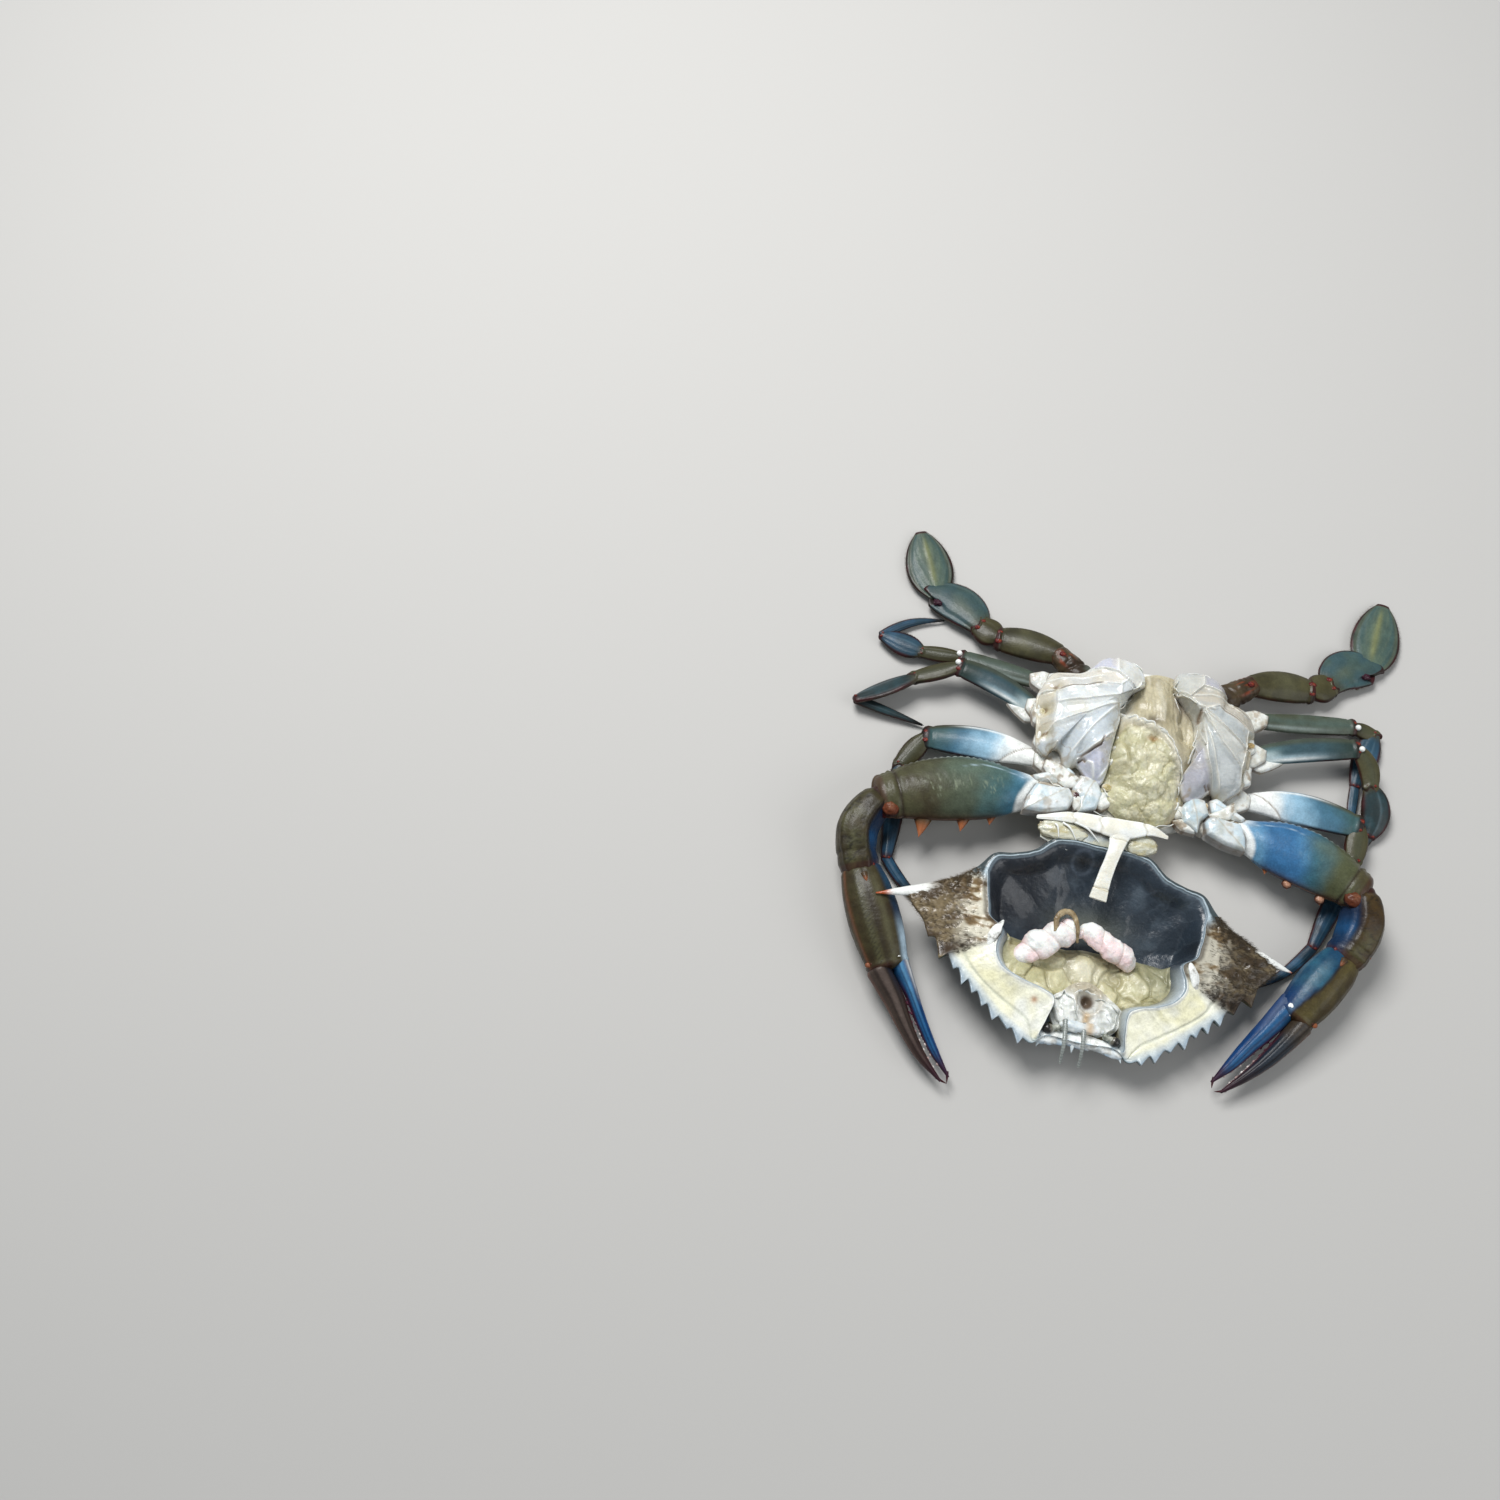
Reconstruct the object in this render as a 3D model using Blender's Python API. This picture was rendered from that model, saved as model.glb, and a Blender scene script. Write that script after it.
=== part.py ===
"""A male blue crab, life size, with its top shell taken off and laid upturned between its claws.

The crab faces -Y and lies on the floor at Z = 0, with the middle of its body over the origin.
Left and right in names are those of someone who faces it, so left is -X and right is +X.
Every size is in millimetres on an animal whose shell is 166 mm from spine tip to spine tip.
MM turns these into metres, so SHELL_SPAN resizes the whole animal.
"""
import math

import bmesh
import bpy
from mathutils import Matrix, Vector

# Driving dimensions
SHELL_SPAN = 0.166
MM = SHELL_SPAN / 166

GAP = 0.3                   # clear space between neighbours
SUNK = 2.0                  # how far a spine or tooth is rooted in what carries it
MERGE = 0.00001             # metres; corners closer than this become one
AGREEMENT = 0.01            # how closely two Boolean methods have to agree on a volume
DOME_ANGLES = (0.95,)       # where a domed end has its rings, in radians up from its rim

# The body: half widths and top and bottom at stations from the tail (+Y) to the head (-Y)
DECK_TOP = 15.0             # the flat ring of muscle on which the gill chambers sit
BODY_STATIONS = (           # y, half width, bottom, top
    (35.0, 10.0, 6.0, 14.0),
    (31.0, 22.0, 2.5, 17.0),
    (20.0, 35.0, -1.0, 17.5),
    (6.0, 39.0, -1.5, 17.5),
    (-8.0, 37.0, -1.5, 17.5),
    (-20.0, 29.0, -1.0, 17.0),
    (-28.0, 22.0, 1.0, 16.0),
    (-33.0, 12.0, 5.0, 15.0),
)
BODY_AXIS = 1.5             # the organs lie this far to the +X side of the limbs' middle line

# A gill chamber, seen from above on the +X side; x is counted outwards from the body's axis
CHAMBER_OUTLINE = (
    (8.5, 34.0), (16.0, 37.0), (22.5, 34.5), (28.0, 28.5), (36.0, 26.0), (41.5, 20.0),
    (43.5, 10.0), (42.5, 0.0), (41.0, -8.0), (33.0, -14.0), (25.0, -13.5), (18.0, -20.0),
    (13.5, -15.0), (14.0, -4.0), (15.5, 8.0), (13.0, 18.0), (8.5, 26.0),
)
CHAMBER_WIDTH = {"left": 1.04, "right": 1.0}
CHAMBER_FAN = (15.0, 16.0)  # where the chamber's ribs run together
CHAMBER_HEIGHT = 12.5       # of the dome above its flat foot
CHAMBER_COUNT = 46          # places round its edge
CHAMBER_RIBS = 7            # partitions between the muscles, showing as raised white ribs
CHAMBER_SHARES = (1.0, 0.97, 0.85, 0.62, 0.34)    # its rings, from the rim in to the crown
RIB_HEIGHT = 0.7
RIB_START = 14.0            # distance from the fan's root at which a rib has its full height
CURB = 2.0                  # height of the upright rim round the chamber

# The soft organs between the chambers: x from the body's axis, y, half width, half length, top
ORGAN_LUMPS = (
    (0.0, 31.0, 9.0, 9.0, 23.5),
    (0.5, 19.0, 11.0, 10.0, 24.5),
    (-1.0, 6.0, 13.0, 11.0, 26.0),
    (5.0, -4.0, 13.0, 11.0, 26.5),
    (-6.0, -6.0, 11.0, 11.0, 26.0),
    (0.0, -16.0, 13.0, 10.0, 25.0),
    (-5.0, -25.0, 11.0, 8.0, 21.5),
    (6.0, -26.0, 11.0, 7.5, 21.0),
)


# A limb is a root (x, y, z) and, for each piece, its length, its bearing and the height of its
# far joint. A bearing is in degrees seen from above, 0 to +X and 90 to the tail. Left and right
# differ a little, as on any crab that has regrown or folded a limb.
LIMBS = {
    "claw_left": ((-20.3, -24.8, 12.0), (
        (24.3, 188, 13.0), (60.5, 193, 16.0), (29.8, 262, 12.5), (42.0, 295, 10.5), (48.0, 307, 6.0))),
    "claw_right": ((20.5, -24.8, 12.0), (
        (22.3, 346, 13.0), (50.0, 342, 16.0), (26.6, 262, 12.5), (33.0, 237, 10.5), (40.8, 230, 6.0))),
    "leg2_left": ((-30.0, -14.0, 10.0), (
        (12.5, 164, 10.0), (47.4, 177, 6.5), (16.0, 238, 4.0), (41.1, 271, 3.0), (30.0, 321, 2.0))),
    "leg2_right": ((31.0, -16.0, 10.0), (
        (12.4, 14, 10.0), (47.7, 358, 8.5), (14.8, 265, 7.5), (40.5, 251, 3.0), (30.5, 223, 2.0))),
    "leg3_left": ((-40.1, 7.5, 11.0), (
        (9.4, 148, 11.0), (34.3, 159, 11.0), (19.2, 202, 8.0), (26.6, 210, 5.0), (29.8, 350, 2.0))),
    "leg3_right": ((39.7, 4.5, 11.0), (
        (8.7, 24, 11.0), (41.3, 15, 11.0), (16.3, 296, 8.0), (20.0, 276, 3.0), (25.9, 237, 1.2))),
    "leg4_left": ((-37.9, 22.5, 9.0), (
        (10.5, 161, 8.0), (32.5, 169, 5.0), (17.1, 180, 4.0), (18.8, 165, 3.5), (28.5, 27, 2.0))),
    "leg4_right": ((38.3, 20.5, 9.0), (
        (10.8, 25, 8.0), (40.2, 9, 5.0), (9.0, 350, 3.5), (25.3, 255, 3.0), (23.0, 266, 2.0))),
    "swim_left": ((-26.0, 28.0, 10.0), (
        (18.0, 140, 9.0), (25.6, 171, 6.0), (10.0, 150, 5.0), (24.0, 150, 3.5), (33.0, 110, 2.0))),
    "swim_right": ((27.0, 28.0, 10.0), (
        (20.9, 37, 9.0), (25.2, 8, 6.0), (9.5, 30, 5.0), (20.0, 33, 3.5), (34.5, 81, 2.0))),
}


# The form of each limb piece: full widths and depths along it, how far it bows to its outer side,
# how sharp its section is, and how its ends are domed
CLAW_FORMS = {
    "base": {"widths": (13, 16, 18), "depths": (13, 15, 14), "ends": (0.3, 0.35)},
    "merus": {"widths": (17, 23, 24.5, 23, 18), "depths": (13, 16, 17, 16, 13.5), "bow": -3.0,
              "power": 2.3, "ends": (0.3, 0.45)},
    "carpus": {"widths": (14, 18, 18.5, 15), "depths": (13, 17, 17, 14), "power": 2.4},
    "palm": {"widths": (15, 21, 23, 21.5, 17), "depths": (12, 17, 18.5, 17, 13), "power": 2.2,
             "ends": (0.8, 0.25)},
}
CLAWS = {
    "left": {
        "size": 1.0, "carpus_bow": 6.5, "spines": (2.6, 4.6, 7.0),
        "fixed": {"sides": (-5.2, -3.6, -2.0, -1.0, -1.4), "widths": (9, 5.6, 4.6, 3.8, 0.9)},
        "moving": {"sides": (4.0, 3.8, 4.7, 4.5, 2.1), "widths": (10, 8.6, 6.2, 4.2, 0.9)},
    },
    "right": {
        "size": 0.9, "carpus_bow": 1.5, "spines": (1.2, 2.0, 3.0),
        "fixed": {"sides": (-4.5, -3.4, -3.0, -2.4, -2.4), "widths": (9.5, 8, 6.4, 4.6, 0.9)},
        "moving": {"sides": (4.0, 4.8, 5.0, 4.2, 2.6), "widths": (9, 7.4, 5.8, 3.8, 0.9)},
    },
}
FINGER_DEPTHS = (12.5, 10, 8, 5.5, 1.1)
FINGER_TEETH = 7
TOOTH = 0.8                 # height of the biggest
SPINE_PLACES = (0.27, 0.46, 0.73)    # along the front edge of a claw's merus
KNOB = 2.6                  # radius of the knob that a claw's carpus hinges on

LEG_FORMS = {
    "leg2": {
        "base": {"widths": (11, 12, 11), "depths": (8, 8, 6.5)},
        "merus": {"widths": (9, 13.5, 14, 10), "depths": (5.5, 6, 5.5, 4.2), "power": 1.8},
        "carpus": {"widths": (7.5, 9, 8.5), "depths": (4.2, 4.4, 4.2), "power": 1.8},
        "propodus": {"widths": (8, 8.5, 8, 6), "depths": (4.2, 4.2, 4, 3.4), "power": 1.8},
        "dactyl": {"widths": (4.8, 4.8, 4, 2.6, 0.8), "depths": (3, 3, 2.6, 2, 0.8), "power": 1.9},
    },
    "leg3": {
        "base": {"widths": (10, 11, 10), "depths": (7, 7, 6)},
        "merus": {"widths": (8, 10.5, 10.5, 8), "depths": (4.6, 4.8, 4.6, 4), "power": 1.8},
        "carpus": {"widths": (7, 8.5, 8), "depths": (4, 4.2, 4), "power": 1.8},
        "propodus": {"widths": (8, 11.5, 12, 8), "depths": (4, 4.2, 4, 3.4), "power": 1.8},
        "dactyl": {"widths": (4.4, 4.4, 3.8, 2.4, 0.8), "depths": (2.4, 2.4, 2.2, 1.8, 0.8), "power": 1.9},
    },
    "leg4": {
        "base": {"widths": (9, 10, 9), "depths": (6.5, 6.5, 5.5)},
        "merus": {"widths": (7, 8.5, 8.5, 6.5), "depths": (4.4, 4.6, 4.2, 3.6), "power": 1.8},
        "carpus": {"widths": (6, 7, 6.5), "depths": (3.6, 3.6, 3.4), "power": 1.8},
        "propodus": {"widths": (7, 10.5, 10.5, 7), "depths": (3.4, 3.6, 3.4, 3), "power": 1.8},
        "dactyl": {"widths": (4.2, 4.4, 3.8, 2.4, 0.8), "depths": (2.4, 2.4, 2.2, 1.8, 0.8), "power": 1.9},
    },
    "swim": {
        "base": {"widths": (13, 14, 12), "depths": (9, 9, 8)},
        "merus": {"widths": (10, 13, 12), "depths": (7.5, 8, 6.5), "power": 2.2},
        "carpus": {"widths": (10.5, 13, 12), "depths": (6.5, 6.5, 5.5), "power": 2.2},
        "propodus": {"widths": (13, 17.5, 18.5, 14), "depths": (5, 4.6, 4.4, 4), "power": 1.8},
        "paddle": {"widths": (9, 18, 20.5, 17, 6), "depths": (3.2, 3.2, 3, 2.8, 1.6), "power": 1.6},
    },
}
# Bows to the left of the way ahead and rolls of single pieces, where they are not straight and flat
BOWS = {
    "leg2_left_merus": -2.0, "leg2_right_merus": 2.0, "leg3_left_merus": -1.5, "leg3_right_merus": 1.0,
    "leg4_left_dactyl": 2.5, "leg2_left_dactyl": -2.0, "leg2_right_dactyl": 2.0,
    "leg3_right_carpus": 2.0, "leg3_right_propodus": 2.5, "swim_left_merus": -1.0, "swim_right_merus": 1.0,
    "swim_left_propodus": -3.0, "swim_right_propodus": 4.0,
}
ROLLS = {"leg3_left_propodus": 40.0, "leg3_left_carpus": 20.0, "leg4_left_dactyl": 30.0}


# The shell, on its back: outer edge and cavity edge (x, y each) and how far the cavity's edge
# rises over the outer edge, from the tail end round the +X side to the front
SHELL_AT = (-13.0, -88.0)
SHELL_EDGE = 17.0           # height of the edge in the middle
SHELL_LEAN = 0.065          # the -X side is higher by this much for each millimetre
SHELL_WALL = 1.8
SHELL_FLAT = 0.25           # depth of the small flat it rests on
SHELL_OUTLINE = (
    (0, 42, 0, 40, 0.3), (12, 42.5, 11.5, 40.5, 0.3), (20, 40.8, 18.5, 38.8, 0.3),
    (27, 34.8, 25.5, 32.6, 0.3), (35, 31.8, 34, 29.6, 0.3), (42.5, 30, 40.5, 27.8, 0.3),
    (48, 23.5, 43.5, 23, 0.6), (54, 18, 43.5, 18, 1.2), (62, 14, 43, 13, 1.8), (73, 6.5, 42, 8.5, 2.2),
    (67, -2, 41.5, 3.5, 2.6), (60, -9.5, 36, -1, 3.2), (53.5, -16, 37.5, -7, 3.8),
    (48.4, -20.6, 37, -12, 4.2), (43.9, -24.6, 33, -17.5, 4.2), (38.9, -29.1, 26, -20.5, 4.2),
    (33.7, -33.6, 19.5, -22.5, 4), (27.4, -37.6, 15, -26, 3.5), (22, -40.5, 15.5, -33, 2),
    (18, -41, 16, -38.5, -1), (10, -38.5, 9.5, -36.8, -3), (0, -39, 0, -37.3, -3),
)
TOOTHED_EDGE = SHELL_OUTLINE[10:19]
SHELL_COUNT = 68            # places read from the curve round the shell
SHELL_TEETH = 8             # on each side, from the spine to the eye socket
SHELL_TOOTH = 4.4
SHELL_SPINES = {"left": 22.3, "right": 15.0}    # the right one is worn short
SPINE_ROOT = (65.0, 10.2)
SPINE_SWEEP = math.radians(16.0)

# What stayed in the shell: u, v (see shell_place), half width, half length, top
SHELL_ORGANS = (
    (-9, -12, 14, 9, 11.0), (-26, -12, 12, 8, 11.0), (8, -12, 13, 9, 10.5), (25, -12, 11, 8, 11.5),
    (-17, 1, 10, 6, 12.5), (5, 4, 8, 6, 11.5), (14, -1, 6, 4.5, 11.0),
)
FACE_LUMPS = ((-5, -21, 7, 7, 15.5), (5, -27, 7, 6, 15.5), (0, -29.5, 9, 5, 17.5))
FACE_BEAM = ((-8, -32.5, 16.0), (-4, -32.5, 17.0), (4, -32.5, 17.0), (8, -32.5, 16.0))
FEELER_PLACES = (-6.6, 0.6)
FEELER_SIDE = ((-31, 17.0), (-36, 18.4), (-41.5, 18.4), (-47, 14.5))    # v and height along it
EYE_ROOT = (9.0, -34.0)
EYE_TIP = (13.4, -35.4)
EYE_Z = 16.6

# The tail flap and the torn membrane under its arms
APRON_BAR = ((-40, -38.5, 17.0), (-26, -37.0, 19.0), (-8, -38.5, 19.8), (4, -36.5, 19.0), (12, -37.5, 17.0))
APRON_STEM = ((-7, -39, 19.6), (-8.5, -48, 19.4), (-11, -59, 17.2), (-12.4, -68, 15.4))
APRON_LOBES = (((-29, -42.5, 16.5), (10, 4.5, 2.8)), ((2, -42.5, 16.0), (6.5, 4.5, 2.8)))


def clear_scene():
    for thing in list(bpy.data.objects):
        bpy.data.objects.remove(thing, do_unlink=True)


def material(name, colour, roughness):
    finish = bpy.data.materials.new(name)
    finish.use_nodes = True
    shader = finish.node_tree.nodes["Principled BSDF"]
    shader.inputs["Base Color"].default_value = (*colour, 1.0)
    shader.inputs["Roughness"].default_value = roughness
    shader.inputs["Metallic"].default_value = 0.0
    return finish


COLOURS = {
    "olive": ((0.15, 0.14, 0.07), 0.4),
    "blue": ((0.08, 0.20, 0.42), 0.35),
    "teal": ((0.10, 0.20, 0.22), 0.4),
    "dark": ((0.09, 0.03, 0.05), 0.35),
    "white": ((0.75, 0.76, 0.74), 0.4),
    "membrane": ((0.66, 0.69, 0.72), 0.3),
    "tissue": ((0.66, 0.62, 0.44), 0.5),
    "carapace": ((0.45, 0.43, 0.36), 0.45),
    "eye": ((0.01, 0.01, 0.01), 0.15),
}


# Curves and rings

def between(values, t):
    """A smooth curve through evenly spaced values, numbers or vectors, at t from 0 to 1."""
    last = len(values) - 1
    place = min(max(t, 0.0), 1.0) * last
    i = min(int(place), last - 1)
    f = place - i
    a, b = values[i], values[i + 1]
    before = values[i - 1] if i > 0 else a + (a - b)
    after = values[i + 2] if i + 2 <= last else b + (b - a)
    leaving, arriving = (b - before) / 2, (after - a) / 2
    return (a + (b - a) * (3 * f ** 2 - 2 * f ** 3) + leaving * (f - 2 * f ** 2 + f ** 3)
            + arriving * (f ** 3 - f ** 2))


def closed_curve(points, count):
    """Evenly parted places on a smooth closed curve through the points."""
    number = len(points)
    places = []
    for k in range(count):
        place = k * number / count
        i = int(place)
        f = place - i
        p0, p1, p2, p3 = (Vector(points[(i + j) % number]) for j in (-1, 0, 1, 2))
        places.append(0.5 * (2 * p1 + (p2 - p0) * f + (2 * p0 - 5 * p1 + 4 * p2 - p3) * f ** 2
                             + (3 * p1 - p0 - 3 * p2 + p3) * f ** 3))
    return places


def heading(bearing):
    angle = math.radians(bearing)
    return Vector((math.cos(angle), math.sin(angle), 0.0))


def section(centre, side, rise, half_width, half_depth, count, power):
    """A rounded cross-section: power 2 is an ellipse, more is boxier, less has sharp edges."""
    ring = []
    for i in range(count):
        angle = 2 * math.pi * i / count
        c, s = math.cos(angle), math.sin(angle)
        across = half_width * math.copysign(abs(c) ** (2 / power), c)
        up = half_depth * math.copysign(abs(s) ** (2 / power), s)
        ring.append(centre + side * across + rise * up)
    return ring


# Meshes

def mesh_object(name, vertices, faces):
    mesh = bpy.data.meshes.new(name)
    mesh.from_pydata([Vector(v) * MM for v in vertices], [], faces)
    tidy = bmesh.new()
    tidy.from_mesh(mesh)
    bmesh.ops.recalc_face_normals(tidy, faces=tidy.faces)
    tidy.to_mesh(mesh)
    tidy.free()
    thing = bpy.data.objects.new(name, mesh)
    bpy.context.scene.collection.objects.link(thing)
    return thing


def skin(name, rings):
    """A closed body through rings of equal count, with flat ends."""
    count = len(rings[0])
    vertices = [point for ring in rings for point in ring]
    faces = [tuple(range(count)), tuple(range((len(rings) - 1) * count, len(rings) * count))]
    for r in range(len(rings) - 1):
        for i in range(count):
            j = (i + 1) % count
            faces.append((r * count + i, r * count + j, (r + 1) * count + j, (r + 1) * count + i))
    return mesh_object(name, vertices, faces)


def tube(name, path, widths, depths, rings=5, count=8, power=2.0, roll=0.0, ends=(1.0, 1.0)):
    """A solid along a path of points, with full widths and depths given along it.

    The side of a section points to the left of the way ahead; roll turns it about that way.
    Each end is domed, as far as its share in ends says, or flat where that is 0.
    """
    stations = []
    for k in range(rings):
        t = k / (rings - 1)
        centre = between(path, t)
        ahead = (between(path, min(t + 0.02, 1.0)) - between(path, max(t - 0.02, 0.0))).normalized()
        stations.append((centre, ahead, between(widths, t) / 2, between(depths, t) / 2))

    def domed(station, way, bulge):
        centre, ahead, half_width, half_depth = station
        rise = min(half_width, half_depth) * bulge
        return [(centre + ahead * way * rise * math.sin(a), ahead,
                 half_width * math.cos(a), half_depth * math.cos(a)) for a in DOME_ANGLES]

    if ends[0]:
        stations = domed(stations[0], -1, ends[0])[::-1] + stations
    if ends[1]:
        stations = stations + domed(stations[-1], 1, ends[1])
    sections = []
    for centre, ahead, half_width, half_depth in stations:
        side = Vector((0, 0, 1)).cross(ahead).normalized()
        rise = ahead.cross(side)
        c, s = math.cos(math.radians(roll)), math.sin(math.radians(roll))
        sections.append(section(centre, side * c + rise * s, rise * c - side * s,
                                half_width, half_depth, count, power))
    return skin(name, sections)


def spine(place, way, length, width, count=6):
    """A tapering spine standing on a surface, with its root sunk below it."""
    way = way.normalized()
    path = [place - way * SUNK, place + way * length]
    return tube("spine", path, [width, width * 0.12], [width, width * 0.12],
                rings=2, count=count, ends=(0, 0))


def lump(centre, half, rows=6, count=10):
    """An egg-shaped body with the three half sizes given."""
    rings = []
    for r in range(1, rows):
        a = math.pi * r / rows
        rings.append([centre + Vector((half[0] * math.sin(a) * math.cos(b), half[1] * math.sin(a)
                                       * math.sin(b), -half[2] * math.cos(a)))
                      for b in (2 * math.pi * i / count for i in range(count))])
    return skin("lump", rings)


# Cutting and fusing

def applied(thing):
    depsgraph = bpy.context.evaluated_depsgraph_get()
    mesh = bpy.data.meshes.new_from_object(thing.evaluated_get(depsgraph))
    thing.modifiers.clear()
    thing.data = mesh


def drop(things):
    for thing in things:
        bpy.data.objects.remove(thing, do_unlink=True)


def clean(shape):
    """Removes the slivers that a Boolean leaves."""
    bmesh.ops.remove_doubles(shape, verts=shape.verts, dist=MERGE)
    bmesh.ops.dissolve_degenerate(shape, edges=shape.edges, dist=MERGE / 2)


def closed_volume(mesh):
    """The volume of a mesh, or 0 where an edge doesn't join two faces, as a body's edges must."""
    shape = bmesh.new()
    shape.from_mesh(mesh)
    clean(shape)
    whole = bool(shape.faces) and all(len(edge.link_faces) == 2 for edge in shape.edges)
    volume = shape.calc_volume() if whole else 0.0
    shape.free()
    return volume


def boolean(thing, operation, target):
    """Applies one Boolean by EXACT, or by MANIFOLD where EXACT opens, loses or misses something."""
    before = thing.data
    results = []
    for solver in ("EXACT", "MANIFOLD"):
        thing.data = before.copy()
        step = thing.modifiers.new("step", "BOOLEAN")
        step.operation = operation
        step.solver = solver
        if isinstance(target, bpy.types.Collection):
            step.operand_type = "COLLECTION"
            step.collection = target
        else:
            step.object = target
        applied(thing)
        results.append((closed_volume(thing.data), thing.data))
    (exact, exact_mesh), (other, other_mesh) = results
    agreed = abs(exact - other) < AGREEMENT * exact
    if exact and (agreed or not other):
        thing.data = exact_mesh
    else:
        thing.data = other_mesh if other else before
    return bool(exact or other)


def fuse(thing, extras):
    """Joins closed pieces to a body by one union, then keeps its largest closed surface."""
    group = bpy.data.collections.new("extras")
    bpy.context.scene.collection.children.link(group)
    for extra in extras:
        group.objects.link(extra)
    boolean(thing, "UNION", group)
    drop(extras)
    bpy.data.collections.remove(group)
    keep_largest(thing)


def cut(thing, cutter):
    return boolean(thing, "DIFFERENCE", cutter)


def cut_clear(thing, *neighbours):
    """Cuts a body back to the common gap from each neighbour, or a little more where that fails."""
    for neighbour in neighbours:
        for widening in (1.0, 1.3, 1.7, 2.2):
            cutter = grown(neighbour, GAP * widening)
            done = cut(thing, cutter)
            drop([cutter])
            if done:
                break
    keep_largest(thing)


def grown(thing, amount):
    """A copy of a body, larger by the amount on every side."""
    copy = bpy.data.objects.new("grown", thing.data.copy())
    bpy.context.scene.collection.objects.link(copy)
    shape = bmesh.new()
    shape.from_mesh(copy.data)
    shape.normal_update()
    moves = [v.normal * amount * MM * min(v.calc_shell_factor(), 1.8) for v in shape.verts]
    for vertex, move in zip(shape.verts, moves):
        vertex.co += move
    shape.to_mesh(copy.data)
    shape.free()
    return copy


def slab(low, high):
    """A plain block between two corners, used to cut flats."""
    corners = [(x, y, z) for x in (low[0], high[0]) for y in (low[1], high[1]) for z in (low[2], high[2])]
    faces = [(0, 1, 3, 2), (4, 6, 7, 5), (0, 4, 5, 1), (2, 3, 7, 6), (0, 2, 6, 4), (1, 5, 7, 3)]
    return mesh_object("slab", corners, faces)


def cut_below(thing, height):
    block = slab((-300, -300, -100), (300, 300, height))
    cut(thing, block)
    drop([block])


def cut_above(thing, height):
    block = slab((-300, -300, height), (300, 300, 200))
    cut(thing, block)
    drop([block])


def keep_largest(thing):
    """Keeps the closed surface with the most volume, cleaned of slivers."""
    shape = bmesh.new()
    shape.from_mesh(thing.data)
    clean(shape)
    unseen = set(shape.faces)
    islands = []
    while unseen:
        island = [unseen.pop()]
        for face in island:
            for edge in face.edges:
                for other in edge.link_faces:
                    if other in unseen:
                        unseen.remove(other)
                        island.append(other)
        islands.append(island)

    def bulk(island):
        total = 0.0
        for face in island:
            first = face.verts[0].co
            for a, b in zip(face.verts[1:-1], face.verts[2:]):
                total += first.dot(a.co.cross(b.co))
        return abs(total)

    islands.sort(key=bulk)
    scraps = [face for island in islands[:-1] for face in island]
    bmesh.ops.delete(shape, geom=scraps, context="FACES")
    loose = [v for v in shape.verts if not v.link_faces]
    bmesh.ops.delete(shape, geom=loose, context="VERTS")
    bmesh.ops.recalc_face_normals(shape, faces=shape.faces)
    shape.to_mesh(thing.data)
    shape.free()


def finish(thing, name, colour):
    thing.name = name
    thing.data.name = name
    thing.data.materials.clear()
    thing.data.materials.append(FINISHES[colour])
    for polygon in thing.data.polygons:
        polygon.use_smooth = True
    thing.data.set_sharp_from_angle(angle=math.radians(35))
    return thing


# The body

def make_thorax():
    rings = []
    for y, half_width, bottom, top in BODY_STATIONS:
        centre = Vector((BODY_AXIS * 0.5, y, (top + bottom) / 2))
        rings.append(section(centre, Vector((1, 0, 0)), Vector((0, 0, 1)),
                             half_width, (top - bottom) / 2, 20, 2.6))
    body = skin("thorax", rings)
    cut_below(body, 0.0)
    cut_above(body, DECK_TOP)
    return finish(body, "thorax", "white")


def make_chamber(side):
    """One gill chamber: a domed fan with raised ribs, on a flat foot just above the deck."""
    hand = "right" if side > 0 else "left"
    foot = DECK_TOP + GAP
    outline = [Vector((BODY_AXIS + side * p.x, p.y, 0)) for p in closed_curve(
        [Vector((x * CHAMBER_WIDTH[hand], y, 0)) for x, y in CHAMBER_OUTLINE], CHAMBER_COUNT)]
    fan = Vector((BODY_AXIS + side * CHAMBER_FAN[0], CHAMBER_FAN[1], 0))
    middle = sum(outline, Vector()) / len(outline)
    rings = [[Vector((p.x, p.y, foot)) for p in outline]]
    for share in CHAMBER_SHARES:
        ring = []
        for p in outline:
            q = middle.lerp(p, share)
            away = q - fan
            angle = math.atan2(away.y, away.x * side)
            fading = min(away.length / RIB_START, 1.0) * (1 - share ** 4)
            rib = RIB_HEIGHT * math.cos(angle * CHAMBER_RIBS * 2) * fading
            swell = CHAMBER_HEIGHT * (1 - share ** 2.6) ** 0.6
            ring.append(Vector((q.x, q.y, foot + CURB + swell + rib)))
        rings.append(ring)
    name = f"gill_chamber_{hand}"
    return finish(skin(name, rings), name, "membrane")


def make_soft_organs(chambers):
    foot = DECK_TOP + GAP
    lumps = [lump(Vector((BODY_AXIS + x, y, DECK_TOP)), (half_width, half_length, top - DECK_TOP))
             for x, y, half_width, half_length, top in ORGAN_LUMPS]
    organs = lumps.pop(0)
    fuse(organs, lumps)
    cut_below(organs, foot)
    cut_clear(organs, *chambers)
    return finish(organs, "soft_organs", "tissue")


# Limbs

def joints_of(limb):
    """The places of a limb's root and joints, and the bearing of each of its pieces."""
    root, steps = LIMBS[limb]
    places = [Vector(root)]
    for length, bearing, height in steps:
        place = places[-1] + heading(bearing) * length
        place.z = height
        places.append(place)
    return places, [bearing for _, bearing, _ in steps]


def bowed(start, end, bow, count=5):
    """Places on a path from start to end that bows to the left of the way ahead."""
    left = Vector((0, 0, 1)).cross(end - start).normalized()
    return [start.lerp(end, k / (count - 1)) + left * bow * math.sin(math.pi * k / (count - 1))
            for k in range(count)]


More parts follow.
